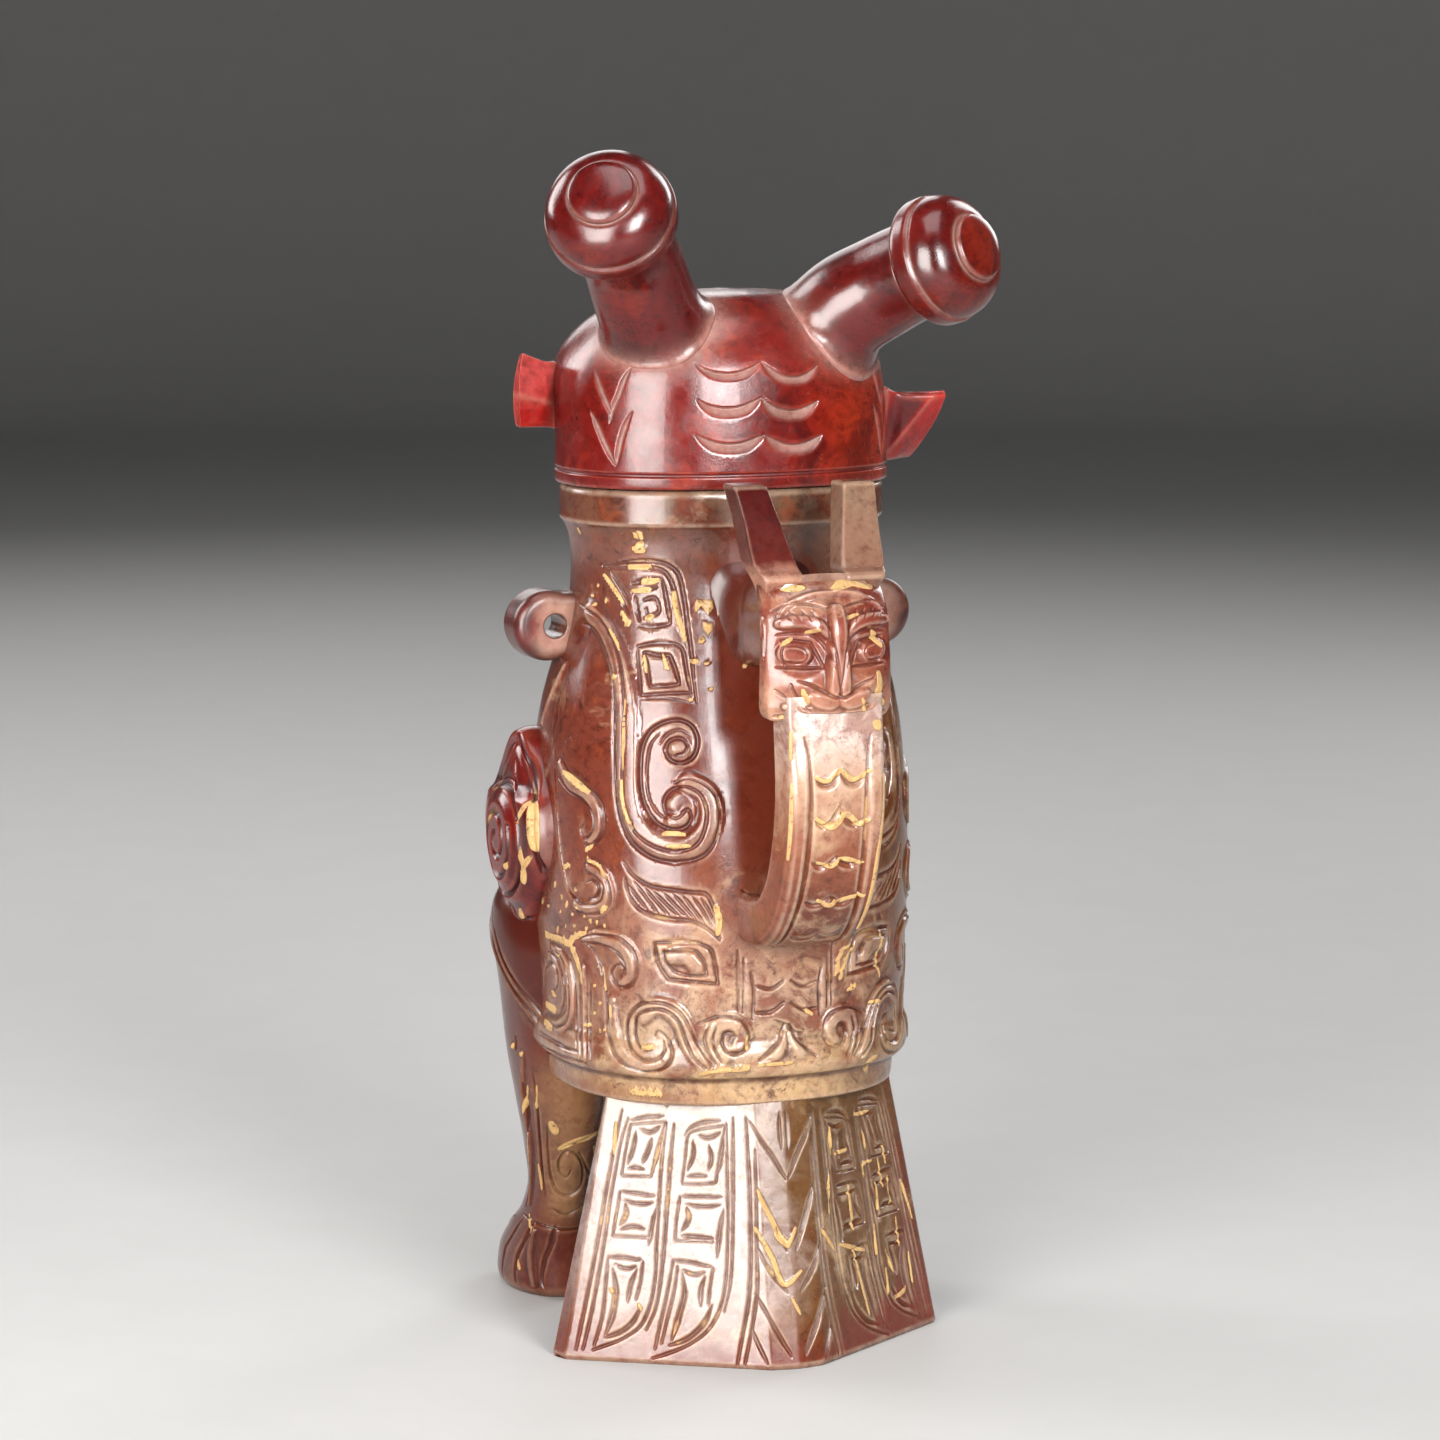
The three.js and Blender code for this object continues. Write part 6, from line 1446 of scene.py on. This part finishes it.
for a in (243, 261, 279, 297):
    leg.draw("g", 0.45, 0.45, 0.5, 0.5, leg_at(np.array([a - 7, a, a + 7]), np.array([4.2, 5.4, 4.2])))
    leg.draw("b", 2.0, 2.0, 0.7, 0.3, leg_at(np.array([a, a]), np.array([2.0, 10.0])))
leg.draw("g", 0.5, 0.6, 0.5, 0.5, leg_at(np.array([200, 230, 270, 310, 340]), np.array([16.4, 15.4, 14.6, 15.4, 16.4])))
for k in range(3):  # feathers down the front of the thigh
    leg.draw("g", 0.6, 0.6, 0.55, 0.7, leg_at(np.array([225, 250, 270, 290, 315]), np.array([58, 50, 46.5, 50, 58.0]) - 9.5 * k))
leg.unroll(240)
light = np.exp(-((turn - 76) / 44) ** 2)[:, None] * ease((leg.pos[..., 2] - 14) / 8) * ease((62 - leg.pos[..., 2]) / 10)
leg.tone = 0.62 * light - 0.8 * over - 0.6 * np.exp(-((turn + 5) / 30) ** 2)[:, None]
leg.pos[..., 1] = np.where((leg.pos[..., 1] < -47) & (leg.pos[..., 2] < 14), -47 + (leg.pos[..., 1] + 47) * 0.90, leg.pos[..., 1])
leg.carve(1.4)
leg_mesh = mesh_arrays(leg, 0.012, 0.10, 70000)
make("left_leg_jade", leg_mesh, LEG_JADE, "vessel", ["left_leg"])
make("right_leg_jade", leg_mesh, LEG_JADE, "vessel", ["right_leg"], True)

# ----------------------------------------------------------------------- lugs
phi = 2 * np.pi * np.arange(128) / 128
dx, dz = np.cos(phi), np.sin(phi)
off = 1.2  # the eye sits nearer to the body than the middle of the disc
disc = off * dx + np.sqrt(7.4 ** 2 - (off * dz) ** 2)
tongue = np.where(dx < 0, np.minimum(6.7 / np.maximum(np.abs(dz), 1e-6), 9.0 / np.maximum(-dx, 1e-6)), 0)
rho = soften(np.maximum(disc, tongue), 3)
# section: a drilled eye with crisp edges, flat faces and a round rim
eye, thick, small, big = 2.45, 4.95, 0.45, 2.3
q = np.linspace(0, np.pi / 2, 9)
a = [(0.0, 0.0, y) for y in np.linspace(0, thick - small, 5)]
a += [(0.0, small * (1 - math.cos(k)), thick - small + small * math.sin(k)) for k in q[1:]]
a += [(f, small * (1 - f) - big * f, thick) for f in np.linspace(0, 1, 9)[1:]]
a += [(1.0, -big + big * math.sin(k), thick - big + big * math.cos(k)) for k in q[1:]]
a += [(1.0, 0.0, y) for y in np.linspace(thick - big, 0, 4)[1:]]
a = np.array(a)
a = np.concatenate([a, a[-2::-1] * [1, 1, -1]])
rr = eye + (rho[:, None] - eye) * a[None, :, 0] + a[None, :, 1]
yy = np.broadcast_to(-7.4 - a[None, :, 2], rr.shape)
pos = np.stack([36.2 + rr * dx[:, None], yy, 150.8 + rr * dz[:, None]], -1)
lug = Skin(into_body(pos, 1.5))
flat = np.abs(lug.normals(lug.pos)[..., 1]) > 0.9
lug.tone = 0.7 * blur(flat.astype(float), 2) * ease((42.4 - lug.pos[..., 0]) / 4.5)
lug_mesh = mesh_arrays(lug, levels=0, limit=1e9)
face = np.cross(lug_mesh["co"][lug_mesh["tri"][:, 1]] - lug_mesh["co"][lug_mesh["tri"][:, 0]],
                lug_mesh["co"][lug_mesh["tri"][:, 2]] - lug_mesh["co"][lug_mesh["tri"][:, 0]])
volume = (face * lug_mesh["co"][lug_mesh["tri"][:, 0]]).sum()
if volume < 0:
    lug_mesh["tri"] = lug_mesh["tri"][:, ::-1]
    lug_mesh["n"] = -lug_mesh["n"]
    lug_mesh["uv"] = lug_mesh["uv"].reshape(-1, 3, 2)[:, ::-1].reshape(-1, 2)
make("left_lug_jade", lug_mesh, LUG_JADE, "vessel", ["left_lug"])
make("right_lug_jade", lug_mesh, LUG_JADE, "vessel", ["right_lug"], True)

# ---------------------------------------------------------------- wing coils
phi = 2 * np.pi * np.arange(256) / 256
share = np.array([[0.0, 0.5], [0.5, 0.5], [1.0, 0.5], [1.0, 6.0], [1.0, 9.4], [0.985, 11.2], [0.95, 12.8], [0.88, 14.2], [0.78, 15.2], [0.6, 15.9],
                  [0.35, 16.2], [0.0, 16.3]])
mm = np.column_stack([share[:, 0] * 19, share[:, 1]])
c = by_length(np.concatenate([mm[:3], catmull(mm[2:], 0.05)[1:]]), 193)[0]
c[:, 0] /= 19
# a leaf outline: round, with the tips drawn out up and down
tip = 1 - 0.13 * np.sin(2 * phi) ** 2
ay, az = 17.0 * np.cos(phi) * tip, 21.0 * np.sin(phi) * tip
pos = np.stack([np.broadcast_to(28.0 + c[None, :, 1], (256, 193)), -14.0 + ay[:, None] * c[None, :, 0],
                107.6 + az[:, None] * c[None, :, 0]], -1)
coil = Skin(into_body(pos, 1.5))
coil.uv = coil.pos[..., [1, 2]].copy()
y, z = coil.uv[..., 0], coil.uv[..., 1]
wall = ease((np.abs(coil.normals(coil.pos)[..., 0]) - 0.12) / 0.3) * (coil.pos[..., 0] > 33)
# a boss with a spiral on it stands in front of the leaf
boss = np.hypot((y + 14.4) / 9.4, (z - 104.8) / 11.0)
inner = ease((np.abs(coil.pos[..., 0]) - 40.5) / 2.0)
sink = 1.8 * ease((z - 113.5) / 4.0) + 1.0 * ease((93.5 - z) / 4.0)
coil.band -= sink * wall * inner * ease((boss - 0.95) / 0.25)
coil.band += 1.1 * ease((1.0 - boss) / 0.3) * wall
ring = [(-14.4 + 10.0 * math.cos(k), 104.8 + 11.7 * math.sin(k)) for k in np.linspace(0, 2 * math.pi, 40)]
coil.draw("g", 0.8, 0.8, 1.3, 0.0, ring)
centre = np.array([-15.2, 104.9])
turns = np.linspace(0, 1.75 * 2 * np.pi, 36)
spiral = [centre + (7.6 - 6.2 * k / turns[-1]) * np.array([0.98 * math.cos(0.4 - k), 1.2 * math.sin(0.4 - k)]) for k in turns]
coil.draw("g", 1.0, 1.0, 1.1, 0.2, spiral)
coil.draw("g", 0.8, 0.8, 1.2, 0.4, [(-13.0, 127.4), (-5.0, 121.2), (-0.4, 112.8), (0.5, 104.0), (-0.8, 96.4), (-5.4, 90.2), (-12.6, 87.2)])
coil.draw("g", 0.6, 0.6, 0.9, 0.5, [(-5.6, 109.6), (-3.8, 112.0), (-1.6, 114.8)])
coil.draw("g", 0.6, 0.6, 0.9, 0.5, [(-5.8, 98.8), (-3.4, 101.0), (-0.4, 103.2)])
coil.draw("g", 0.8, 0.8, 0.9, 0.6, [(-23.6, 112.6), (-19.0, 117.4), (-15.0, 122.5), (-13.2, 127.4)])
coil.draw("g", 0.6, 0.6, 0.7, 0.6, [(-8.6, 115.4), (-11.0, 118.4), (-12.2, 122.8)])
coil.draw("g", 0.7, 0.7, 0.8, 0.6, [(-21.6, 96.0), (-17.6, 92.2), (-13.2, 87.4)])
coil.cut *= wall
for pts, w in (([(-5.0, 97.2), (-4.2, 100.4), (-4.0, 104.4)], 1.5), ([(-0.8, 114.2), (0.1, 109.8), (0.6, 104.6)], 1.6), ([(-5.6, 109.6), (-1.8, 114.4)], 0.8),
               ([(-5.8, 98.8), (-0.6, 103.0)], 0.8), ([(-11.6, 88.0), (-10.2, 89.8)], 0.9), ([(-10.6, 99.2), (-8.6, 100.4)], 0.9)):
    coil.draw("c", w, w, 1.0, 0.5, pts)
coil.clay *= wall
coil.tone = 0.8 * ease((y - 0.6) / 0.8) * (coil.pos[..., 0] > 33)
coil.carve()
coil_mesh = mesh_arrays(coil, 0.012, 0.10, 50000)
make("left_wing_coil_jade", coil_mesh, COIL_JADE, "vessel", ["left_wing_coil"])
make("right_wing_coil_jade", coil_mesh, COIL_JADE, "vessel", ["right_wing_coil"], True)

# ----------------------------------------------------------------------- tail
zs = np.linspace(0, 62, 241)
rings = []
for z in zs:
    v = z / TAIL_H
    w, side, back = 42.4 - 12.2 * v, 17.4 - 2.6 * v, 43.0 - 11.8 * v
    edge = np.array([w + 0.9 - 2.4 * v, side - 5.0 + 2.6 * v])
    inner_y = back - 11.2
    corner = [edge, [w, side], [5.8, back - 0.9], [0, back], [-5.8, back - 0.9], [-w, side], edge * [-1, 1],
              [-7.8, inner_y], [7.8, inner_y]]
    pts = side_points(np.array(corner, float), [32, 212, 44, 44, 212, 32, 212, 88, 212])
    chamfer = 0.55 * (1 - ease(z / 0.9))
    pts = soften(pts, 9)
    if chamfer > 0:
        n = np.roll(pts, -1, 0) - np.roll(pts, 1, 0)
        n = np.stack([n[:, 1], -n[:, 0]], -1) / np.linalg.norm(n, axis=1, keepdims=True)
        pts = pts - n * chamfer
    rings.append(np.column_stack([pts, np.full(len(pts), z)]))
pos = np.array(rings).transpose(1, 0, 2)
tail = Skin(zips(pos, 31, 8)[:, :257])
TAIL_ROWS = 8
tail.unroll(32 + 256)
back_cols = np.arange(32, 545)


def tail_at(x, z):
    out = []
    for a, b in zip(np.ravel(x), np.ravel(z)):
        j = TAIL_ROWS + b / 62 * 240
        xs = tail.pos[back_cols, int(round(np.clip(j, 0, 256))), 0]
        out.append((np.interp(-a, -xs, back_cols), j))
    out = np.array(out)
    return tail.at(out[:, 0], out[:, 1])


for kind, wl, wr, depth, taper, pts in TAIL_CUTS:
    a = np.array(pts)
    tail.draw(kind, wl, wr, depth, taper, tail_at(a[:, 0], a[:, 1]))
    tail.draw(kind, wr, wl, depth, taper, tail_at(-a[:, 0], a[:, 1]))
for width, pts in TAIL_CLAY:
    a = np.array(pts)
    tail.draw("c", width * 0.8, width * 0.8, 1.0, 0.35, tail_at(a[:, 0], a[:, 1]))
# front of the tail: plain feather lines
tail.unroll(576 + 256)
for x in (-30, -22, -13, -4, 5, 14, 23, 31):
    k = 576 + 256 + x * 7.0
    tail.draw("g", 0.5, 0.7, 0.5, 0.6, tail.at(np.array([k, k + x * 0.6, k + x * 1.2]), np.array([14, 110, 200])))
tail.unroll(32 + 256)
x, y, z = np.moveaxis(tail.pos, -1, 0)
edge = 9.0 + 3.0 * np.sin(0.42 * x + 1.0) + 2.0 * np.sin(0.95 * x) + 5.0 * ease((-28 - x) / 9)
tail.tone = -0.85 * ease((edge - z) / 3.0) * ease((-9 - x) / 7) * (y > 8)
tail.tone -= 0.55 * ease((4.5 + 1.5 * np.sin(0.5 * x) - z) / 2.5) * (y > 8)
tail.tone = np.maximum(tail.tone, -0.9)
tail.carve(1.25)
make("tail_jade", mesh_arrays(tail, 0.010, 0.09, 185000), TAIL_JADE, "vessel", ["tail"])

# ---------------------------------------------------------------------- strap
path, strap_len = by_length(catmull(STRAP[::-1], 0.05), 289)
path[:, 0] -= 1.5 * ease((path[:, 1] - 118) / 22)  # it runs up behind the chin of the head
tan = np.gradient(path, axis=0)
tan /= np.linalg.norm(tan, axis=1, keepdims=True)
out2 = np.stack([tan[:, 1], -tan[:, 0]], -1)
corners = np.array([[10.4, -4.9], [10.4, 4.9], [-10.4, 4.9], [-10.4, -4.9]])
section = soften(side_points(corners, [48, 96, 48, 96]), 34)
section[:, 1] -= 1.0 * (section[:, 0] / 10.4) ** 2 * np.clip(section[:, 1] / 4.9, 0, 1)
pos = np.stack([np.broadcast_to(section[:, None, 0], (288, 289)),
                path[None, :, 0] + section[:, None, 1] * out2[None, :, 0],
                path[None, :, 1] + section[:, None, 1] * out2[None, :, 1]], -1)
pos = poles(pos, [0, path[0, 0], path[0, 1]], [0, path[-1, 0], path[-1, 1]], 16)
strap = Skin(into_body(pos, 1.6))
strap.unroll(96)
field = np.abs(strap.pos[..., 0])
strap.band += 0.35 * ease((field - 6.4) / 0.8) * ease((10.2 - field) / 1.4) * ease((136 - strap.pos[..., 2]) / 14)  # raised borders


def strap_at(x, s):
    cols = np.arange(48, 145)
    i = np.interp(-np.asarray(x, float), -section[48:145, 0], cols)
    return strap.at(i, 16 + (1 - np.asarray(s, float) / strap_len) * 288)


for k, (kind, wl, wr, depth, taper, pts) in enumerate(STRAP_CUTS):
    a = np.array(pts)
    if k:
        a[:, 0] = np.interp(a[:, 0], [a[-1, 0], a[0, 0]], [-0.15, 5.3])
    else:
        a = np.vstack([a, [6.7, 52.0], [6.6, 60.0]])
    strap.draw(kind, wl, wr, depth, taper, strap_at(a[:, 0], a[:, 1]))
    strap.draw(kind, wr, wl, depth, taper, strap_at(-a[:, 0], a[:, 1]))
for s in (48.0, 56.0):
    for f in (1, -1):
        p = np.array([(5.3, s + 1.2), (3.4, s + 2.0), (1.4, s + 1.8), (-0.15, s + 0.4)])
        strap.draw("g", *((0.25, 1.0) if f > 0 else (1.0, 0.25)), 0.55, 0.9, strap_at(f * p[:, 0], p[:, 1]))
for width, pts in STRAP_CLAY:
    a = np.array(pts)
    strap.draw("c", width * 0.8, width * 0.8, 1.0, 0.35, strap_at(a[:, 0], a[:, 1]))
strap.carve(1.4)
make("handle_strap_jade", mesh_arrays(strap, 0.010, 0.09, 90000), STRAP_JADE, "vessel", ["handle_strap"])

# ----------------------------------------------------------------------- head
rows = by_height(HEAD, 225)
pos = []
for z, half, back, front in rows:
    half += 1.9
    back -= 2.3 + 2.4 * ease((z - 156.0) / 12.0)
    d = min(z - 137.0, 165.0 - z)
    tuck = 1.5 * (1 - math.sqrt(max(0.0, 1 - (1 - min(d / 1.5, 1)) ** 2)))
    cs = np.array([[half - tuck, front + tuck], [half - tuck, back - tuck], [-half + tuck, back - tuck], [-half + tuck, front + tuck]])
    ring2 = soften(side_points(cs, [64, 160, 64, 96]), 60)
    # the face is bowed from side to side
    ring2[:, 1] -= 5.0 * (np.abs(ring2[:, 0]) / half) ** 2.4 * np.clip((ring2[:, 1] - front - 2.5) / (back - front - 2.5), 0, 1)
    pos.append(np.column_stack([ring2, np.full(384, z)]))
pos = np.array(pos).transpose(1, 0, 2)
head = Skin(poles(pos, [0, 57.6, 136.9], [0, 54.0, 165.0], 16))
head.unroll(64 + 80)


def head_at(x, z):
    out = []
    for a, b in zip(np.ravel(x), np.ravel(z)):
        j = 16 + np.interp(b, rows[:, 0], np.arange(225))
        cols = np.arange(64, 225)
        out.append((np.interp(-a, -head.pos[cols, int(round(j)), 0], cols), j))
    out = np.array(out)
    return head.at(out[:, 0], out[:, 1])


for kind, wl, wr, depth, taper, pts in HEAD_CUTS:
    a = np.array(pts)
    a[:, 0] = (a[:, 0] + 0.8) * 0.98
    if kind == "b":
        wl, wr, depth = wl * 1.2, wr * 1.2, depth * 1.7
    else:
        depth *= 0.8
    head.draw(kind, wl, wr, depth, taper, head_at(a[:, 0], a[:, 1]))
    head.draw(kind, wr, wl, depth, taper, head_at(-a[:, 0], a[:, 1]))
for side in (1, -1):  # the corner of the eye and an ear scroll on the cheek
    a = np.array([(10.2, 153.2), (11.0, 150.8), (10.4, 148.2)]) * [side, 1]
    head.draw("g", 0.45, 0.45, 0.5, 0.3, head_at(a[:, 0], a[:, 1]))
    c = 64 + 80 + side * -110
    spiral = [(c - side * (26 - 3.0 * k) * math.cos(k), 16 + 120 + (46 - 5 * k) * math.sin(k)) for k in np.linspace(0, 7.4, 18)]
    p = np.array(spiral)
    head.draw("g", 0.5, 0.5, 0.5, 0.6, head.at(p[:, 0], p[:, 1]))
for width, pts in HEAD_CLAY:
    a = np.array(pts)
    head.draw("c", width * 0.8, width * 0.8, 1.0, 0.35, head_at(a[:, 0], a[:, 1]))
arch = np.array([(11.6, 156.4), (10.2, 159.2), (7.2, 161.2), (3.4, 162.2), (0.0, 162.4)])
for f in (1, -1):
    head.draw("r", 0.9, 1.1, 0.6, 0.2, head_at(f * arch[:, 0], arch[:, 1]))
sockets = np.exp(-(((np.abs(head.pos[..., 0]) - 7.1) / 4.4) ** 4 + ((head.pos[..., 2] - 150.8) / 3.4) ** 4)) * (head.pos[..., 1] > 53)
head.band -= 0.8 * sockets
cheeks = np.exp(-(((np.abs(head.pos[..., 0]) - 7.0) / 3.6) ** 2 + ((head.pos[..., 2] - 144.6) / 2.4) ** 2)) * (head.pos[..., 1] > 53)
head.band += 0.8 * cheeks
# painted shade on the back of the head where it meets the body
head.tone = -0.7 * ease((54.5 - head.pos[..., 1]) / 3)
head.carve(1.25)
bridge_rows = np.linspace(16, 55, 97)
phi = 2 * np.pi * np.arange(128) / 128
bx, bz = -7.4 * spow(np.cos(phi), 0.55), 153.5 + 9.1 * spow(np.sin(phi), 0.55)
pos = np.stack([np.broadcast_to(bx[:, None], (128, 97)), np.broadcast_to(bridge_rows[None], (128, 97)),
                np.broadcast_to(bz[:, None], (128, 97))], -1)
# it spreads where it meets the body
u = np.clip((bridge_rows - 21.0) / 8.0, 0, 1)
more = 8.0 * (1 - np.sqrt(1 - (1 - u) ** 2)) + 3.4 * np.exp(-np.maximum(54.0 - bridge_rows, 0) / 4.0)
pos[..., 0] *= 1 + more[None] / 7.4
pos[..., 2] = 153.5 + (pos[..., 2] - 153.5) * (1 + np.minimum(more[None], 7.0) / 9.1)
bridge = Skin(into_body(poles(pos, [0, 16, 153.5], [0, 55, 153.5], 8)[:, :113], 1.6))
# painted shade over the whole bridge between the head and the body
bridge.tone -= 0.75
make("handle_beast_head_jade",
     [mesh_arrays(head, 0.010, 0.09, 90000, rect=(0, 0, 1, 0.8)), mesh_arrays(bridge, 0.02, 0.12, 6000, rect=(0, 0.81, 1, 1))],
     HEAD_JADE, "vessel", ["handle_beast_head"])

# ---------------------------------------------------------------- slab horns
# the foot of each horn is a ledge on the head
foot = np.array([[160.0, 4.6, 11.8, 52.4, 48.8], [163.4, 4.6, 12.6, 54.4, 47.8], [165.0, 4.6, 13.1, 55.4, 46.9], [165.8, 4.6, 13.4, 54.9, 46.3],
                 [166.8, 4.7, 13.8, 53.1, 45.7]])
rows = by_height(np.vstack([foot, SLAB[2:]]), 129)
pos = []
for z, inner_x, outer_x, back, front in rows:
    d = 183.2 - z
    tuck = 0.7 * (1 - math.sqrt(max(0.0, 1 - (1 - min(d / 0.7, 1)) ** 2)))
    outer_x = min(outer_x, 15.4) - tuck
    cs = np.array([[outer_x, front + tuck], [outer_x, back - tuck], [inner_x + tuck, back - tuck], [inner_x + tuck, front + tuck]])
    pos.append(np.column_stack([soften(side_points(cs, [40, 56, 40, 56]), 14), np.full(192, z)]))
pos = np.array(pos).transpose(1, 0, 2)
slab = Skin(poles(pos, [9.2, 52.0, 160.0], [11.9, 41.2, 183.2], 16))
slab_mesh = mesh_arrays(slab, 0.01, 0.09, 30000)
make("handle_left_horn_jade", slab_mesh, SLAB_LEFT_JADE, "vessel", ["handle_left_horn"])
make("handle_right_horn_jade", slab_mesh, SLAB_RIGHT_JADE, "vessel", ["handle_right_horn"], True)

# ---------------------------------------------------------------------- stage
floor_profile = [(0.0, 0.0)] + [(r, 0.0) for r in np.linspace(0.05, 2.4, 12)]
floor_profile += [(2.4 + 1.0 * math.sin(a), 1.0 - math.cos(a)) for a in np.linspace(0.08, math.pi / 2, 16)]
floor_profile += [(3.4, z) for z in (1.6, 2.4, 3.2)]
fv, ff = [], []
for r, z in floor_profile:
    for k in range(96):
        a = 2 * math.pi * k / 96
        fv.append((r * math.cos(a), r * math.sin(a), z))
for m in range(len(floor_profile) - 1):
    for k in range(96):
        ff.append((m * 96 + k, m * 96 + (k + 1) % 96, (m + 1) * 96 + (k + 1) % 96, (m + 1) * 96 + k))
floor_mesh = bpy.data.meshes.new("floor")
floor_mesh.from_pydata(fv, [], ff)
for p in floor_mesh.polygons:
    p.use_smooth = True
floor = bpy.data.objects.new("floor", floor_mesh)
bpy.context.scene.collection.objects.link(floor)
g = Graph("floor_paper")
at = g.node("ShaderNodeTexCoord").outputs["Object"]
p = g.node("ShaderNodeBsdfPrincipled")
paper = g.mix(g.noise(at, 40, 4, 0.6), (0.36, 0.355, 0.35, 1), (0.39, 0.385, 0.38, 1))
g.put(p.inputs["Base Color"], paper)
p.inputs["Roughness"].default_value = 0.55
p.inputs["Specular IOR Level"].default_value = 0.25
g.put(g.node("ShaderNodeOutputMaterial").inputs[0], p.outputs[0])
floor_mesh.materials.append(g.mat)

world = bpy.data.worlds.new("studio")
bpy.context.scene.world = world
world.use_nodes = True
world.node_tree.nodes["Background"].inputs[0].default_value = (0.9, 0.93, 1.0, 1)
world.node_tree.nodes["Background"].inputs[1].default_value = 0.05


def softbox(name, azimuth, elevation, distance, width, height, watts, colour=(1, 1, 1), aim=(0, 0, 0.12)):
    """An area light at an angle from +Y towards +X, pointed at the object."""
    a, e = math.radians(azimuth), math.radians(elevation)
    aim = Vector(aim)
    data = bpy.data.lights.new(name, "AREA")
    data.shape = "RECTANGLE"
    data.size, data.size_y = width, height
    data.energy = watts
    data.color = colour
    ob = bpy.data.objects.new(name, data)
    ob.location = aim + Vector((math.sin(a) * math.cos(e), math.cos(a) * math.cos(e), math.sin(e))) * distance
    ob.rotation_euler = (aim - ob.location).to_track_quat("-Z", "Y").to_euler()
    ob.visible_camera = False
    bpy.context.scene.collection.objects.link(ob)
    return ob


softbox("key", 46, 10, 0.9, 0.50, 0.60, 18.0, (1.0, 0.98, 0.95))
softbox("window", -3, 18, 1.0, 0.32, 0.42, 15)
softbox("top", 10, 74, 1.1, 0.7, 0.7, 6.0)
softbox("rim_left", 140, 28, 1.3, 0.5, 0.8, 11.0)
softbox("rim_right", -120, 30, 1.3, 0.4, 0.8, 7.0)
softbox("front", 188, 30, 1.5, 0.8, 0.8, 5.0)

cam_data = bpy.data.cameras.new("camera")
cam_data.sensor_width = 36.0
cam_data.lens = 132.0
cam_data.clip_start, cam_data.clip_end = 0.05, 30.0
cam = bpy.data.objects.new("camera", cam_data)
cam.location = (0.41244, 1.01975, 0.277)
a, pitch = math.radians(22.0), math.radians(7.63)
cam.rotation_euler = Vector((-math.sin(a) * math.cos(pitch), -math.cos(a) * math.cos(pitch), -math.sin(pitch))).to_track_quat("-Z", "Y").to_euler()
bpy.context.scene.collection.objects.link(cam)
bpy.context.scene.camera = cam
bpy.context.scene.view_settings.view_transform = "Standard"

for name, count in PIECES.items():
    print("piece", name, count)
